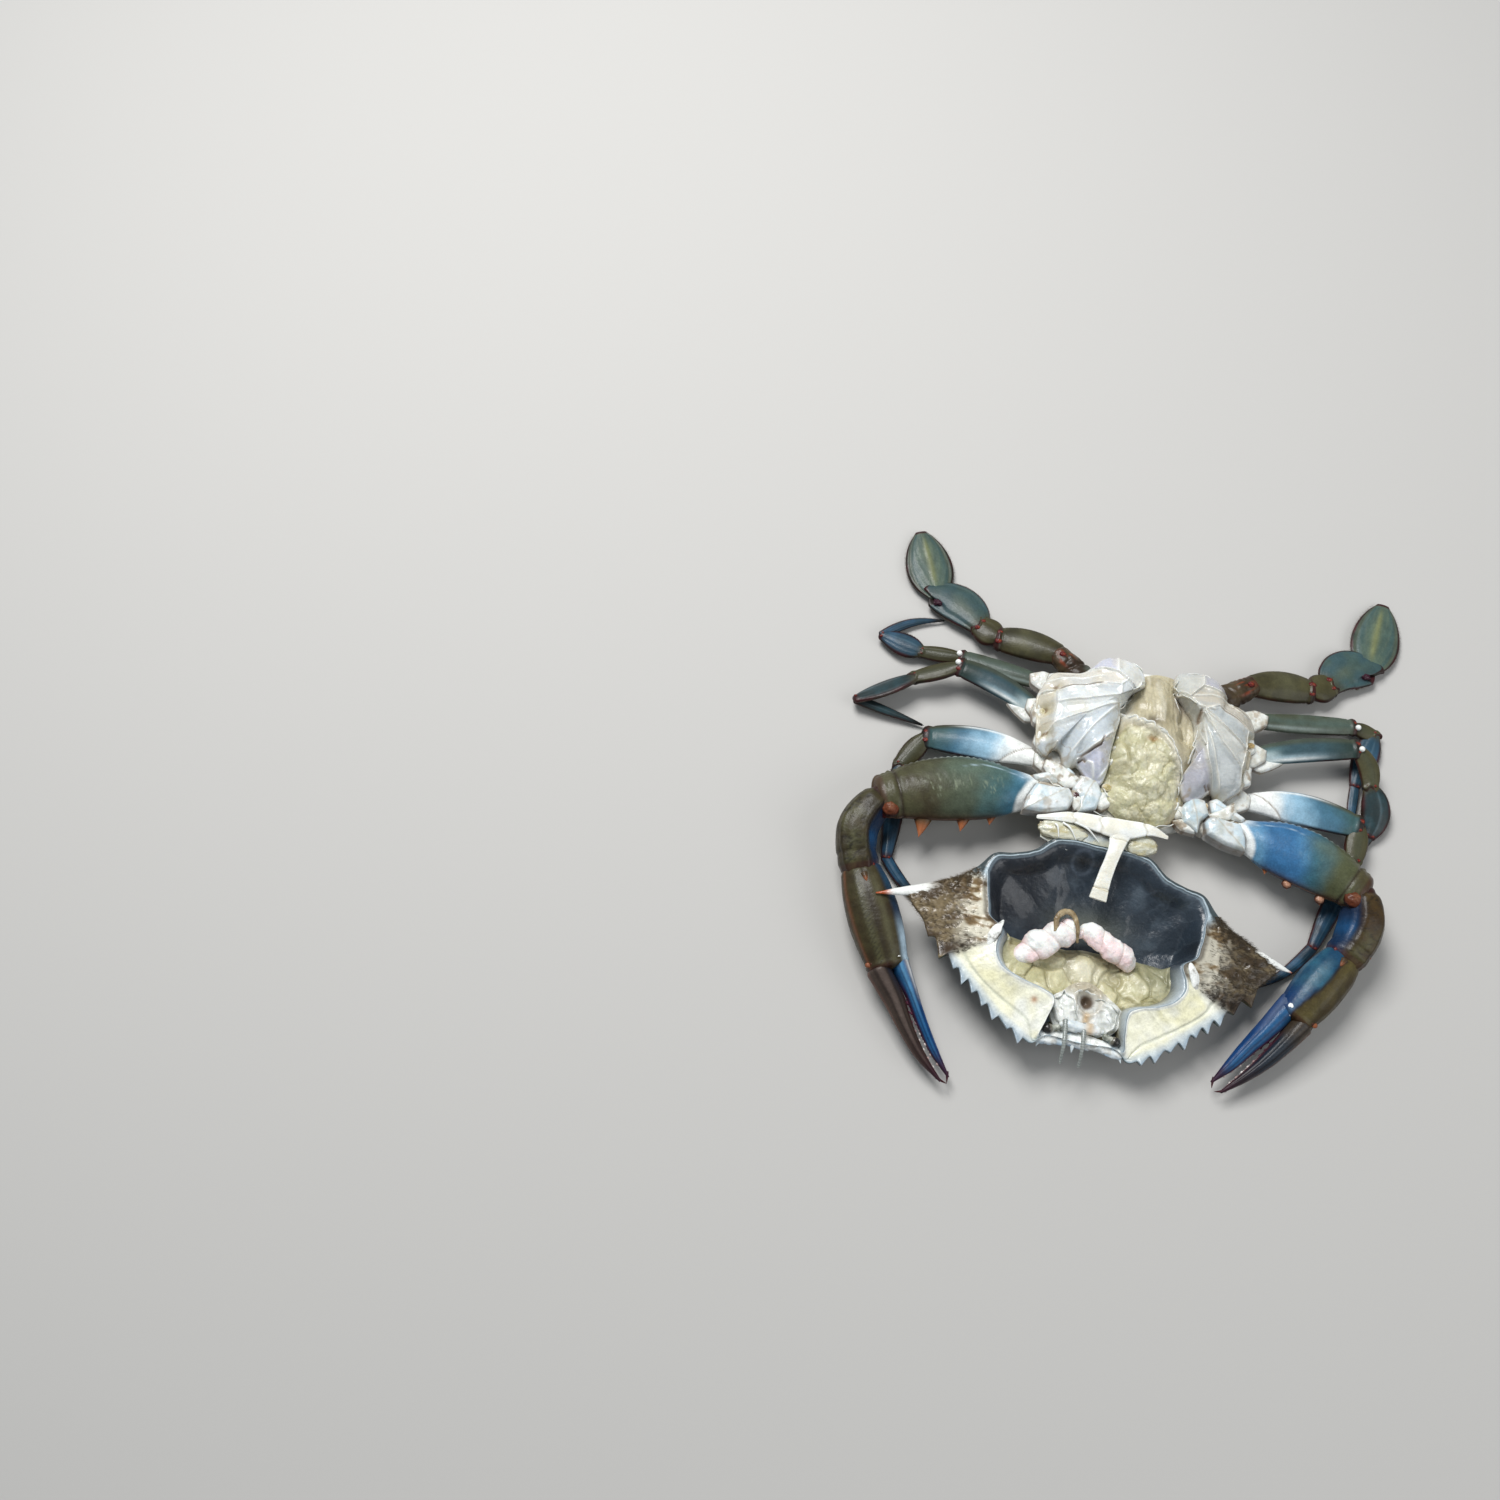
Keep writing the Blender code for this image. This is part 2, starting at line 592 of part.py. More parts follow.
def limb_piece(name, start, end, form, size=1.0, bow=0.0, rings=4, count=8):
    return tube(name, bowed(start, end, bow), [w * size for w in form["widths"]],
                [d * size for d in form["depths"]], rings=rings, count=count,
                power=form.get("power", 2.0), roll=ROLLS.get(name, 0.0), ends=form.get("ends", (0.8, 0.8)))


def make_leg(limb, kind, clear_of):
    """The five pieces of a walking or swimming leg, each cut clear of the one it hinges on."""
    places, _ = joints_of(limb)
    colours = {"base": "white", "merus": "blue", "carpus": "olive", "propodus": "teal",
               "dactyl": "teal", "paddle": "teal"}
    pieces = []
    for i, (kind_of_piece, form) in enumerate(LEG_FORMS[kind].items()):
        name = f"{limb}_{kind_of_piece}"
        piece = limb_piece(name, places[i], places[i + 1], form, bow=BOWS.get(name, 0.0))
        cut_clear(piece, *(pieces[-1:] or clear_of))
        pieces.append(finish(piece, name, colours[kind_of_piece]))
    return pieces


def finger_path(root, tip, sides, outer):
    """A finger's middle line: its places beside the straight line from the palm to the tips."""
    return [root.lerp(tip, k / (len(sides) - 1)) + outer * side for k, side in enumerate(sides)]


def finger_teeth(path, widths, inward, size, first):
    """Blunt teeth along the cutting edge of a finger, from its share first to near its tip."""
    teeth = []
    for k in range(FINGER_TEETH):
        t = first + (0.86 - first) * k / (FINGER_TEETH - 1)
        height = TOOTH * size * (0.8 if k % 3 else 1.0)
        place = between(path, t) + inward * between(widths, t) * 0.5
        teeth.append(spine(place - inward * 0.4, inward, height + 0.4, 2.4 * size, count=4))
    return teeth


def make_claw(limb, clear_of):
    """A claw: base, merus with its spines, carpus, palm with the fixed finger, movable finger."""
    places, bearings = joints_of(limb)
    side = 1 if limb.endswith("right") else -1
    form = CLAWS["right" if side > 0 else "left"]
    size = form["size"]

    def plain(piece, index, bow=0.0, rings=6):
        return limb_piece(f"{limb}_{piece}", places[index], places[index + 1], CLAW_FORMS[piece], size,
                          bow=side * bow, rings=rings, count=10)

    base = plain("base", 0, rings=4)
    cut_clear(base, *clear_of)

    front = heading(bearings[1] - 90 * side)
    merus_bow = -CLAW_FORMS["merus"]["bow"]
    merus = plain("merus", 1, merus_bow, rings=7)
    line = bowed(places[1], places[2], side * merus_bow)
    spines = []
    for share, length in zip(SPINE_PLACES, form["spines"]):
        edge = between(line, share) + front * between(CLAW_FORMS["merus"]["widths"], share) * size / 2
        spines.append(spine(edge, front + heading(bearings[1]) * 0.35, length, 4.4))
    knob = between(line, 0.97) + front * 7.0 * size + Vector((0, 0, 3.0))
    spines.append(lump(knob, (KNOB, KNOB, KNOB), rows=5, count=8))
    rear_tip = between(line, 0.95) - front * 7.5 * size
    spines.append(spine(rear_tip, heading(bearings[1]) - front * 0.8, 2.5, 3.2))
    fuse(merus, spines)
    cut_clear(merus, base)
    carpus = plain("carpus", 2, form["carpus_bow"])
    cut_clear(carpus, merus)

    outer = heading(bearings[4] + 90 * side)
    palm = plain("palm", 3)
    fixed = finger_path(places[4], places[5], form["fixed"]["sides"], outer)
    fixed[0] = fixed[0] - heading(bearings[4]) * 4.0
    depths = [d * size for d in FINGER_DEPTHS]
    blade = tube("blade", fixed, form["fixed"]["widths"], depths, rings=6, ends=(0.5, 0))
    moving = finger_path(places[4], places[5], form["moving"]["sides"], outer)
    finger = tube("finger", moving, form["moving"]["widths"], depths, rings=6, ends=(0.5, 0))
    cut_clear(finger, palm, blade)
    fuse(finger, finger_teeth(moving, form["moving"]["widths"], -outer, size, 0.42))

    thorn = spine(places[3].lerp(places[4], 0.2) + Vector((0, 0, 7.6 * size)),
                  heading(bearings[3]) + Vector((0, 0, 1.0)), 1.8, 3.2)
    fuse(palm, [blade, thorn] + finger_teeth(fixed, form["fixed"]["widths"], outer, size, 0.38))
    cut_clear(palm, carpus)
    pieces = {"base": (base, "white"), "merus": (merus, "blue"), "carpus": (carpus, "olive"),
              "palm": (palm, "olive"), "finger": (finger, "dark")}
    return [finish(piece, f"{limb}_{name}", colour) for name, (piece, colour) in pieces.items()]


# The shell, upturned

def shell_place(u, v, z):
    """A place on the shell: u to +X from its middle line, v to the tail; the shell leans to +X."""
    return Vector((SHELL_AT[0] + u, SHELL_AT[1] + v, z - u * SHELL_LEAN))


def shell_outlines():
    """The outer edge and the cavity's edge, with the rise of the latter, all the way round."""
    half = list(SHELL_OUTLINE)
    mirrored = [(-ou, ov, -iu, iv, rise) for ou, ov, iu, iv, rise in half[-2:0:-1]]
    rows = half + mirrored
    outer = closed_curve([Vector((ou, ov, 0)) for ou, ov, _, _, _ in rows], SHELL_COUNT)
    inner = closed_curve([Vector((iu, iv, rise)) for _, _, iu, iv, rise in rows], SHELL_COUNT)
    return outer, inner


def bowl(share):
    """Height of the shell's outer face over the floor, at a share of the way out to its edge."""
    return (SHELL_EDGE - SHELL_WALL) * share ** 2.4


def make_shell():
    """The carapace lying on its back: a bowl with a toothed edge and plates folded in along it."""
    outer, inner = shell_outlines()
    rings = []
    for share in (0.25, 0.5, 0.72, 0.88, 1.0):
        rings.append([shell_place(p.x * share, p.y * share, bowl(share)) for p in outer])
    rings.append([shell_place(p.x * 0.992, p.y * 0.992, SHELL_EDGE) for p in outer])
    rings.append([shell_place((p.x + q.x) / 2, (p.y + q.y) / 2, SHELL_EDGE + q.z * 0.55)
                  for p, q in zip(outer, inner)])
    rings.append([shell_place(q.x, q.y, SHELL_EDGE + q.z) for q in inner])
    rings.append([shell_place(q.x * 0.985, q.y * 0.985, SHELL_EDGE + q.z - 1.2) for q in inner])
    for share in (0.94, 0.76, 0.54, 0.3):
        ring = []
        for p, q in zip(outer, inner):
            reach = share * q.xy.length / p.xy.length
            ring.append(shell_place(q.x * share, q.y * share, bowl(reach) + SHELL_WALL))
        rings.append(ring)
    shell = skin("shell", rings)

    teeth = []
    for side in (-1, 1):
        edge = [Vector((u * side, v, 0)) for u, v, _, _, _ in TOOTHED_EDGE]
        for k in range(SHELL_TEETH):
            share = (k + 0.4) / SHELL_TEETH
            p = between(edge, share)
            ahead = between(edge, min(share + 0.05, 1.0))
            back = between(edge, max(share - 0.05, 0.0))
            along = (ahead - back).normalized()
            out = Vector((along.y, -along.x, 0)) * side
            way = (out + along * 0.45).normalized()
            root = shell_place(p.x - way.x * 1.5, p.y - way.y * 1.5, SHELL_EDGE - SHELL_WALL / 2)
            tip = root + way * (SHELL_TOOTH + 1.5)
            teeth.append(tube("tooth", [root, tip], [5.4, 0.8], [SHELL_WALL * 0.9, 0.6], rings=2, count=6,
                              ends=(0, 0)))
        length = SHELL_SPINES["right" if side > 0 else "left"]
        root = shell_place(SPINE_ROOT[0] * side, SPINE_ROOT[1], SHELL_EDGE - SHELL_WALL / 2)
        tip = root + Vector((side * math.cos(SPINE_SWEEP), -math.sin(SPINE_SWEEP), 0)) * length
        tip.z = root.z + (1.5 if side < 0 else -0.5)
        teeth.append(tube("spine", [root - (tip - root).normalized() * 5, root, tip], [6, 4.4, 0.8],
                          [SHELL_WALL + 0.6, 2.4, 0.6], rings=4, count=6, ends=(0, 0)))
    fuse(shell, teeth)
    lowest = min(v.co.z for v in shell.data.vertices) / MM
    shell.data.transform(Matrix.Translation((0, 0, (-lowest - SHELL_FLAT) * MM)))
    cut_below(shell, 0.0)
    keep_largest(shell)
    return finish(shell, "shell", "carapace")


def shell_lump(u, v, half_width, half_length, top, bottom=2.0):
    middle = (top + bottom) / 2
    return lump(shell_place(u, v, middle), (half_width, half_length, (top - bottom) / 2), rows=5, count=8)


def make_shell_organs(shell):
    lumps = [shell_lump(*row) for row in SHELL_ORGANS]
    organs = lumps.pop(0)
    fuse(organs, lumps)
    cut_clear(organs, shell)
    return finish(organs, "shell_organs", "tissue")


def make_face(shell, organs):
    """The face, torn off with the shell: the frame of the mouth, its front beam and two feelers."""
    parts = [shell_lump(*row) for row in FACE_LUMPS]
    beam = [shell_place(u, v, z) for u, v, z in FACE_BEAM]
    parts.append(tube("beam", beam, [4, 7, 7, 4], [3.5, 5, 5, 3.5]))
    for u in FEELER_PLACES:
        feeler = [shell_place(u, v, z) for v, z in FEELER_SIDE]
        parts.append(tube("feeler", feeler, [2.2, 1.2, 0.8], [2.2, 1.2, 0.8], rings=4, count=5, ends=(0, 0)))
    face = lump(shell_place(0, -24, 8.5), (11.5, 9.5, 6.5))
    fuse(face, parts)
    cut_clear(face, shell, organs)
    return finish(face, "face", "white")


def make_eye(side, name, neighbours):
    """An eye on its stalk, lying in its socket and pointing outwards."""
    root = shell_place(side * EYE_ROOT[0], EYE_ROOT[1], EYE_Z)
    tip = shell_place(side * EYE_TIP[0], EYE_TIP[1], EYE_Z)
    eye = tube(name, [root, tip], [2.8, 4.6], [2.8, 4.2], rings=4, count=10, ends=(0.8, 1.0))
    cut_clear(eye, *neighbours)
    return finish(eye, name, "eye")


def make_apron(neighbours):
    """The tail flap, a T of joined plates lying over the shell's rear edge, on the torn membrane."""
    bar = tube("apron", [Vector(p) for p in APRON_BAR], [1.5, 5, 8, 5, 1.5], [1.2, 2.2, 2.6, 2.2, 1.2],
               rings=9, count=8, ends=(0, 0))
    stem = tube("stem", [Vector(p) for p in APRON_STEM], [9, 5.5, 5.8, 7], [2.4, 2.2, 2.0, 2.0],
                rings=6, count=8)
    lobes = [lump(Vector(place), half, rows=5, count=8) for place, half in APRON_LOBES]
    fuse(bar, [stem] + lobes)
    cut_clear(bar, *neighbours)
    return finish(bar, "apron", "white")


def build():
    thorax = make_thorax()
    chambers = [make_chamber(-1), make_chamber(1)]
    make_soft_organs(chambers)
    torso = [thorax] + chambers
    for side in ("left", "right"):
        roots = []
        for kind in ("swim", "leg4", "leg3", "leg2"):
            pieces = make_leg(f"{kind}_{side}", kind, torso + roots[-1:])
            roots.append(pieces[0])
        make_claw(f"claw_{side}", torso + roots[-1:])
    shell = make_shell()
    organs = make_shell_organs(shell)
    face = make_face(shell, organs)
    make_eye(-1, "eye_left", (face, shell))
    make_eye(1, "eye_right", (face, shell))
    make_apron((shell, thorax))


clear_scene()
FINISHES = {name: material(name, *finish_values) for name, finish_values in COLOURS.items()}
build()
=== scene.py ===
"""Looks of the blue crab: its shell pieces, chambers, organs and upturned carapace, finely made.

The crab faces -Y, left is -X and right is +X. Sizes are in millimetres, and MM makes them metres.
The limbs are built along the same roots, lengths and bearings as the solids that they replace.
"""
import itertools
import math

import bpy
import numpy as np
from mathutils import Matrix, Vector
from mathutils.bvhtree import BVHTree


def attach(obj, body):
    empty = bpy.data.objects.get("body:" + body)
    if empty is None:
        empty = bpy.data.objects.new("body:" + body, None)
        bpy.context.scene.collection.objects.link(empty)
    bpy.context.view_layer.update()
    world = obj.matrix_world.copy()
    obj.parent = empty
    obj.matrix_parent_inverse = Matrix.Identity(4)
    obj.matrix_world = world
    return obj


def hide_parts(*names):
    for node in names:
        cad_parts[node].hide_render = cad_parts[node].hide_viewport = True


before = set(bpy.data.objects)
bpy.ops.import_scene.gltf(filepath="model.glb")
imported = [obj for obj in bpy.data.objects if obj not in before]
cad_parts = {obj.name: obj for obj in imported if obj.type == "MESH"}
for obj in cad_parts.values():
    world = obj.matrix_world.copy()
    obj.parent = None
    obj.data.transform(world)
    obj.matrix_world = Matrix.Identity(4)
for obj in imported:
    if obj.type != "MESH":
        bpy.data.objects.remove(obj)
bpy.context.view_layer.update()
MM = 0.001
UP = np.array([0.0, 0.0, 1.0])


# Colours, as they look in a picture from 0 to 255, turned into the linear values of shading

def tone(red, green, blue):
    value = np.array([red, green, blue]) / 255.0
    return np.where(value <= 0.04045, value / 12.92, ((value + 0.055) / 1.055) ** 2.4)


OLIVE = tone(78, 74, 46)
OLIVE_DARK = tone(46, 42, 24)
OLIVE_PALE = tone(112, 112, 84)
OLIVE_GREY = tone(76, 82, 66)
BROWN = tone(70, 54, 34)
BROWN_DARK = tone(38, 25, 17)
TEAL_GREY = tone(78, 100, 96)
BLUE = tone(30, 84, 128)
BLUE_DEEP = tone(12, 44, 100)
BLUE_SKY = tone(92, 146, 182)
BLUE_PALE = tone(184, 208, 222)
WHITE = tone(238, 240, 236)
IVORY = tone(232, 229, 214)
CREAM = tone(240, 238, 212)
GREY_LILAC = tone(198, 200, 214)
MILK = tone(208, 213, 213)
RED = tone(120, 22, 20)
RED_DARK = tone(64, 16, 20)
PURPLE = tone(52, 16, 34)
FLESH = tone(222, 180, 172)
PINK = tone(240, 214, 214)
KHAKI = tone(176, 162, 112)
SLATE = tone(44, 54, 64)
SLATE_PALE = tone(86, 98, 108)
FUR = tone(92, 74, 48)
BLACK = tone(14, 12, 12)


def mix(a, b, amount):
    return a + (b - a) * np.clip(np.asarray(amount, float), 0, 1)[..., None]


def painted(base, *layers):
    """Mixes one colour after another over a base; a colour is an array, or a tuple for tone()."""
    skin = tone(*base) if isinstance(base, tuple) else base
    for hue, amount in layers:
        skin = mix(skin, tone(*hue) if isinstance(hue, tuple) else hue, amount)
    return skin


def step(x, low, high):
    """Rises smoothly from 0 at low to 1 at high, or falls where low is the greater."""
    f = np.clip((np.asarray(x, float) - low) / (high - low), 0, 1)
    return f * f * (3 - 2 * f)


def bell(x, centre, width):
    return np.exp(-((np.asarray(x, float) - centre) / width) ** 2)


# Noise in space

def lattice(cell, seed):
    """An even random number from 0 to 1 for each cube of a grid."""
    n = (cell[..., 0] * 73856093) ^ (cell[..., 1] * 19349663) ^ (cell[..., 2] * 83492791) ^ (seed * 2654435)
    n = ((n ^ (n >> 13)) * 1274126177) & 0xFFFFFFFF
    return ((n ^ (n >> 16)) & 0xFFFF) / 65535.0


def noise(points, size, seed=0):
    """Smooth noise from -1 to 1 with lumps of about the given size."""
    q = np.asarray(points, float) / size
    base = np.floor(q).astype(np.int64)
    f = q - base
    f = f * f * (3 - 2 * f)
    total = np.zeros(q.shape[:-1])
    for corner in itertools.product((0, 1), repeat=3):
        weight = np.prod(np.where(np.array(corner, bool), f, 1 - f), axis=-1)
        total += weight * lattice(base + np.array(corner), seed)
    return total * 2 - 1


def fbm(points, size, seed=0, octaves=3):
    return sum(noise(points, size / 2 ** k, seed + k) / 2 ** k for k in range(octaves)) / 1.6


def cells(points, size, seed=0):
    """Distances to the nearest two of points strewn one in each cube, in cube sides."""
    q = np.asarray(points, float) / size
    base = np.floor(q).astype(np.int64)
    first = np.full(q.shape[:-1], 9.0)
    second = first.copy()
    for corner in itertools.product((-1, 0, 1), repeat=3):
        cube = base + np.array(corner)
        place = cube + np.stack([lattice(cube, seed + k) for k in range(3)], axis=-1)
        distance = np.linalg.norm(q - place, axis=-1)
        second = np.minimum(second, np.maximum(first, distance))
        first = np.minimum(first, distance)
    return first, second


# Curves

def between(values, t):
    """A smooth curve through evenly spaced values at every t from 0 to 1."""
    values = np.asarray(values, float)
    last = len(values) - 1
    place = np.clip(np.asarray(t, float), 0, 1) * last
    i = np.minimum(place.astype(int), last - 1)
    f = place - i
    if values.ndim > 1:
        f = f[..., None]
    a, b = values[i], values[i + 1]
    before = np.where((i > 0).reshape(f.shape), values[np.maximum(i - 1, 0)], 2 * a - b)
    after = np.where((i + 2 <= last).reshape(f.shape), values[np.minimum(i + 2, last)], 2 * b - a)
    leaving, arriving = (b - before) / 2, (after - a) / 2
    return (a + (b - a) * (3 * f ** 2 - 2 * f ** 3) + leaving * (f - 2 * f ** 2 + f ** 3)
            + arriving * (f ** 3 - f ** 2))


def squared(c, power):
    """A sine or cosine to a power with its sign kept: under 1 the round gets squarer, over 1 keener."""
    return np.sign(c) * np.abs(c) ** power


def closed_curve(points, count):
    """Evenly parted places on a smooth closed curve through the points."""
    points = np.asarray(points, float)
    number = len(points)
    place = np.arange(count) * number / count
    i = place.astype(int)
    f = (place - i)[:, None]
    p0, p1, p2, p3 = (points[(i + j) % number] for j in (-1, 0, 1, 2))
    return 0.5 * (2 * p1 + (p2 - p0) * f + (2 * p0 - 5 * p1 + 4 * p2 - p3) * f ** 2
                  + (3 * p1 - p0 - 3 * p2 + p3) * f ** 3)


def on_plan(x, y):
    """Plan places as points of height 0."""
    x, y = np.broadcast_arrays(x, y)
    return np.stack([x, y, 0 * x], axis=-1)


def shifted(points, size, seed, amount):
    """Points moved about in plan by noise."""
    return points + amount * on_plan(fbm(points, size, seed), fbm(points, size, seed + 1))


def blot(points, x, y, wide=1.0, long=1.0, width=1.0):
    """1 at a plan place, fading across an ellipse round it."""
    return bell(np.hypot((points[..., 0] - x) / wide, (points[..., 1] - y) / long), 0, width)


def unit(v):
    v = np.asarray(v, float)
    return v / np.maximum(np.linalg.norm(v, axis=-1, keepdims=True), 1e-9)


def heading(bearing):
    angle = math.radians(bearing)
    return np.array([math.cos(angle), math.sin(angle), 0.0])


def stroke(points, line):
    """Distance in plan from each point to a line of plan points, and how far along it, 0 to 1."""
    line = np.asarray(line, float)
    best = np.full(points.shape[:-1], 1e9)
    along = np.zeros(points.shape[:-1])
    for k, (a, b) in enumerate(zip(line[:-1], line[1:])):
        d = b - a
        f = np.clip(((points[..., :2] - a) @ d) / (d @ d), 0, 1)
        distance = np.linalg.norm(points[..., :2] - a - f[..., None] * d, axis=-1)
        along = np.where(distance < best, (k + f) / (len(line) - 1), along)
        best = np.minimum(best, distance)
    return best, along


# Meshes

class Shape:
    """Points, faces and colours gathered until they become one mesh."""

    def __init__(self):
        self.points, self.colours, self.quads, self.tris = [], [], [], []
        self.count = 0

    def add(self, points, colours, quads, tris):
        points = np.asarray(points, float).reshape(-1, 3)
        self.points.append(points)
        self.colours.append(np.broadcast_to(colours, points.shape))
        if len(quads):
            self.quads.append(np.asarray(quads).reshape(-1, 4) + self.count)
        if len(tris):
            self.tris.append(np.asarray(tris).reshape(-1, 3) + self.count)
        self.count += len(points)

    def grid(self, points, colours, poles=(True, True)):
        """A skin over rows and columns of points, closed round, and by a fan at each end that is a pole."""
        rows, columns = points.shape[:2]
        colours = np.broadcast_to(colours, points.shape)
        r, c = np.meshgrid(np.arange(rows - 1), np.arange(columns), indexing="ij")
        d = (c + 1) % columns
        quads = np.stack([r * columns + c, r * columns + d, (r + 1) * columns + d,
                          (r + 1) * columns + c], axis=-1).reshape(-1, 4)
        flat, tint = points.reshape(-1, 3), colours.reshape(-1, 3)
        tris = []
        ring = np.arange(columns)
        if poles[0]:
            tris.append(np.stack([np.full(columns, len(flat)), (ring + 1) % columns, ring], axis=-1))
            flat = np.vstack([flat, points[0].mean(0)])
            tint = np.vstack([tint, colours[0].mean(0)])
        if poles[1]:
            end = (rows - 1) * columns
            tris.append(np.stack([np.full(columns, len(flat)), end + ring, end + (ring + 1) % columns],
                                 axis=-1))
            flat = np.vstack([flat, points[-1].mean(0)])
            tint = np.vstack([tint, colours[-1].mean(0)])
        tris = np.concatenate(tris) if tris else np.zeros((0, 3), int)
        halves = np.vstack([quads[:, [0, 1, 2]], quads[:, [0, 2, 3]], tris])
        a, b, c = (flat[halves[:, k]] for k in range(3))
        if np.einsum("ij,ij->", a, np.cross(b, c)) < 0:
            quads, tris = quads[:, ::-1], tris[:, ::-1]
        self.add(flat, tint, quads, tris)

    def top(self):
        """A search tree of what has been gathered so far, for finding its height from above."""
        points = np.concatenate(self.points)
        faces = [face.tolist() for group in (*self.quads, *self.tris) for face in group]
        return BVHTree.FromPolygons([tuple(point) for point in points.tolist()], faces)

    def make(self, name, finish, slot, *nodes):
        points = np.concatenate(self.points) * MM
        quads = np.concatenate(self.quads) if self.quads else np.zeros((0, 4), int)
        tris = np.concatenate(self.tris) if self.tris else np.zeros((0, 3), int)
        mesh = bpy.data.meshes.new(name)
        mesh.vertices.add(len(points))
        mesh.vertices.foreach_set("co", points.astype(np.float32).ravel())
        mesh.loops.add(quads.size + tris.size)
        mesh.loops.foreach_set("vertex_index", np.concatenate([quads.ravel(), tris.ravel()]).astype(np.int32))
        mesh.polygons.add(len(quads) + len(tris))
        starts = np.concatenate([np.arange(len(quads)) * 4, quads.size + np.arange(len(tris)) * 3])
        mesh.polygons.foreach_set("loop_start", starts.astype(np.int32))
        mesh.update(calc_edges=True)
        mesh.validate()
        mesh.shade_smooth()
        paint = mesh.attributes.new("paint", "FLOAT_COLOR", "POINT")
        rgba = np.ones((len(points), 4), np.float32)
        rgba[:, :3] = np.clip(np.concatenate(self.colours), 0, 1)
        paint.data.foreach_set("color", rgba.ravel())
        mesh.materials.append(finish)
        piece = bpy.data.objects.new(name, mesh)
        bpy.context.scene.collection.objects.link(piece)
        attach(piece, "root")
        if nodes:
            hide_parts(*nodes)
        return piece


RAY_START = 60.0        # a height above the whole crab


def heights(tree, x, y, missing):
    """The height of the uppermost surface at each plan place."""
    x, y = np.broadcast_arrays(np.asarray(x, float), y)
    down = Vector((0, 0, -1))
    found = np.full(x.size, missing)
    for k, (px, py) in enumerate(zip(x.ravel().tolist(), y.ravel().tolist())):
        place = tree.ray_cast(Vector((px, py, RAY_START)), down)[0]
        if place is not None:
            found[k] = place.z
    return found.reshape(x.shape)


def raised(points, height):
    """Moves each point of a grid along the grid's own normal."""
    around = np.roll(points, -1, axis=1) - np.roll(points, 1, axis=1)
    normal = unit(np.cross(np.gradient(points, axis=0), around))
    if np.einsum("ijk,ijk->", normal, points - points.mean(axis=1, keepdims=True)) < 0:
        normal = -normal
    return points + normal * height[..., None]


LIMB_DETAIL = 0.66      # the share of its rows and columns that a limb's grid really gets
DOME_ROWS = 7           # rows in the rounded end of a limb


class Limb:
    """A tube along a path as a dense grid, with the measures by which it is shaped and painted.

    t runs 0 to 1 along it, a is the angle round it, s is 1 on the left of the way ahead and -1 on
    the right, and u is 1 on top and -1 underneath.
    """

    def __init__(self, path, widths, depths, rows=60, columns=48, power=2.0, roll=0.0, ends=(0.8, 0.8),
                 keen=0.0):
        rows, columns = (max(int(number * LIMB_DETAIL), 12) for number in (rows, columns))
        t = np.linspace(0, 1, rows)
        centre = between(path, t)
        ahead = unit(between(path, np.minimum(t + 0.02, 1)) - between(path, np.maximum(t - 0.02, 0)))
        half_w, half_d = between(widths, t) / 2, between(depths, t) / 2
        turn = np.linspace(0, math.pi / 2 * 0.97, DOME_ROWS)[1:]
        for end, way in ((0, -1), (-1, 1)):
            if not ends[end]:
                continue
            rise = min(half_w[end], half_d[end]) * ends[end]
            order = turn[::-1] if end == 0 else turn
            extra = centre[end] + ahead[end] * way * rise * np.sin(order)[:, None]
            parts = (extra, np.repeat(ahead[end][None], len(order), 0), half_w[end] * np.cos(order),
                     half_d[end] * np.cos(order), np.full(len(order), t[end]))
            whole = (centre, ahead, half_w, half_d, t)
            pairs = [(p, w) if end == 0 else (w, p) for p, w in zip(parts, whole)]
            centre, ahead, half_w, half_d, t = (np.concatenate(pair) for pair in pairs)
        side = unit(np.cross(UP, ahead))
        rise = np.cross(ahead, side)
        cr, sr = math.cos(math.radians(roll)), math.sin(math.radians(roll))
        side, rise = side * cr + rise * sr, rise * cr - side * sr
        angle = np.arange(columns) * 2 * math.pi / columns
        c, s = np.cos(angle), np.sin(angle)
        across, up = squared(c, 2 / power), squared(s, 2 / power + keen)
        self.points = (centre[:, None] + side[:, None] * (half_w[:, None] * across)[..., None]
                       + rise[:, None] * (half_d[:, None] * up)[..., None])
        self.t = np.repeat(t[:, None], columns, 1)
        self.a = np.repeat(angle[None], len(t), 0)
        self.s = np.repeat(c[None], len(t), 0)
        self.u = np.repeat(s[None], len(t), 0)
        self.centre, self.ahead = centre, ahead
        self.length = float(np.linalg.norm(np.diff(between(path, np.linspace(0, 1, 30)), axis=0),
                                           axis=1).sum())

    def round(self, angle, width):
        """1 on the line at an angle round the limb, fading over the width in radians."""
        gap = np.abs((self.a - angle + math.pi) % (2 * math.pi) - math.pi)
        return np.exp(-(gap / width) ** 2)

    def at(self, t, angle, out=0.0):
        """A place on the skin and the way out from the middle there."""
        rows = self.t[:, 0]
        inner = np.flatnonzero((rows > 0) & (rows < 1))
        row = inner[np.argmin(np.abs(rows[inner] - t))]
        column = int(round(angle / (2 * math.pi) * self.points.shape[1])) % self.points.shape[1]
        place = self.points[row, column]
        way = unit(place - self.centre[row])
        return place + way * out, way, self.ahead[row]


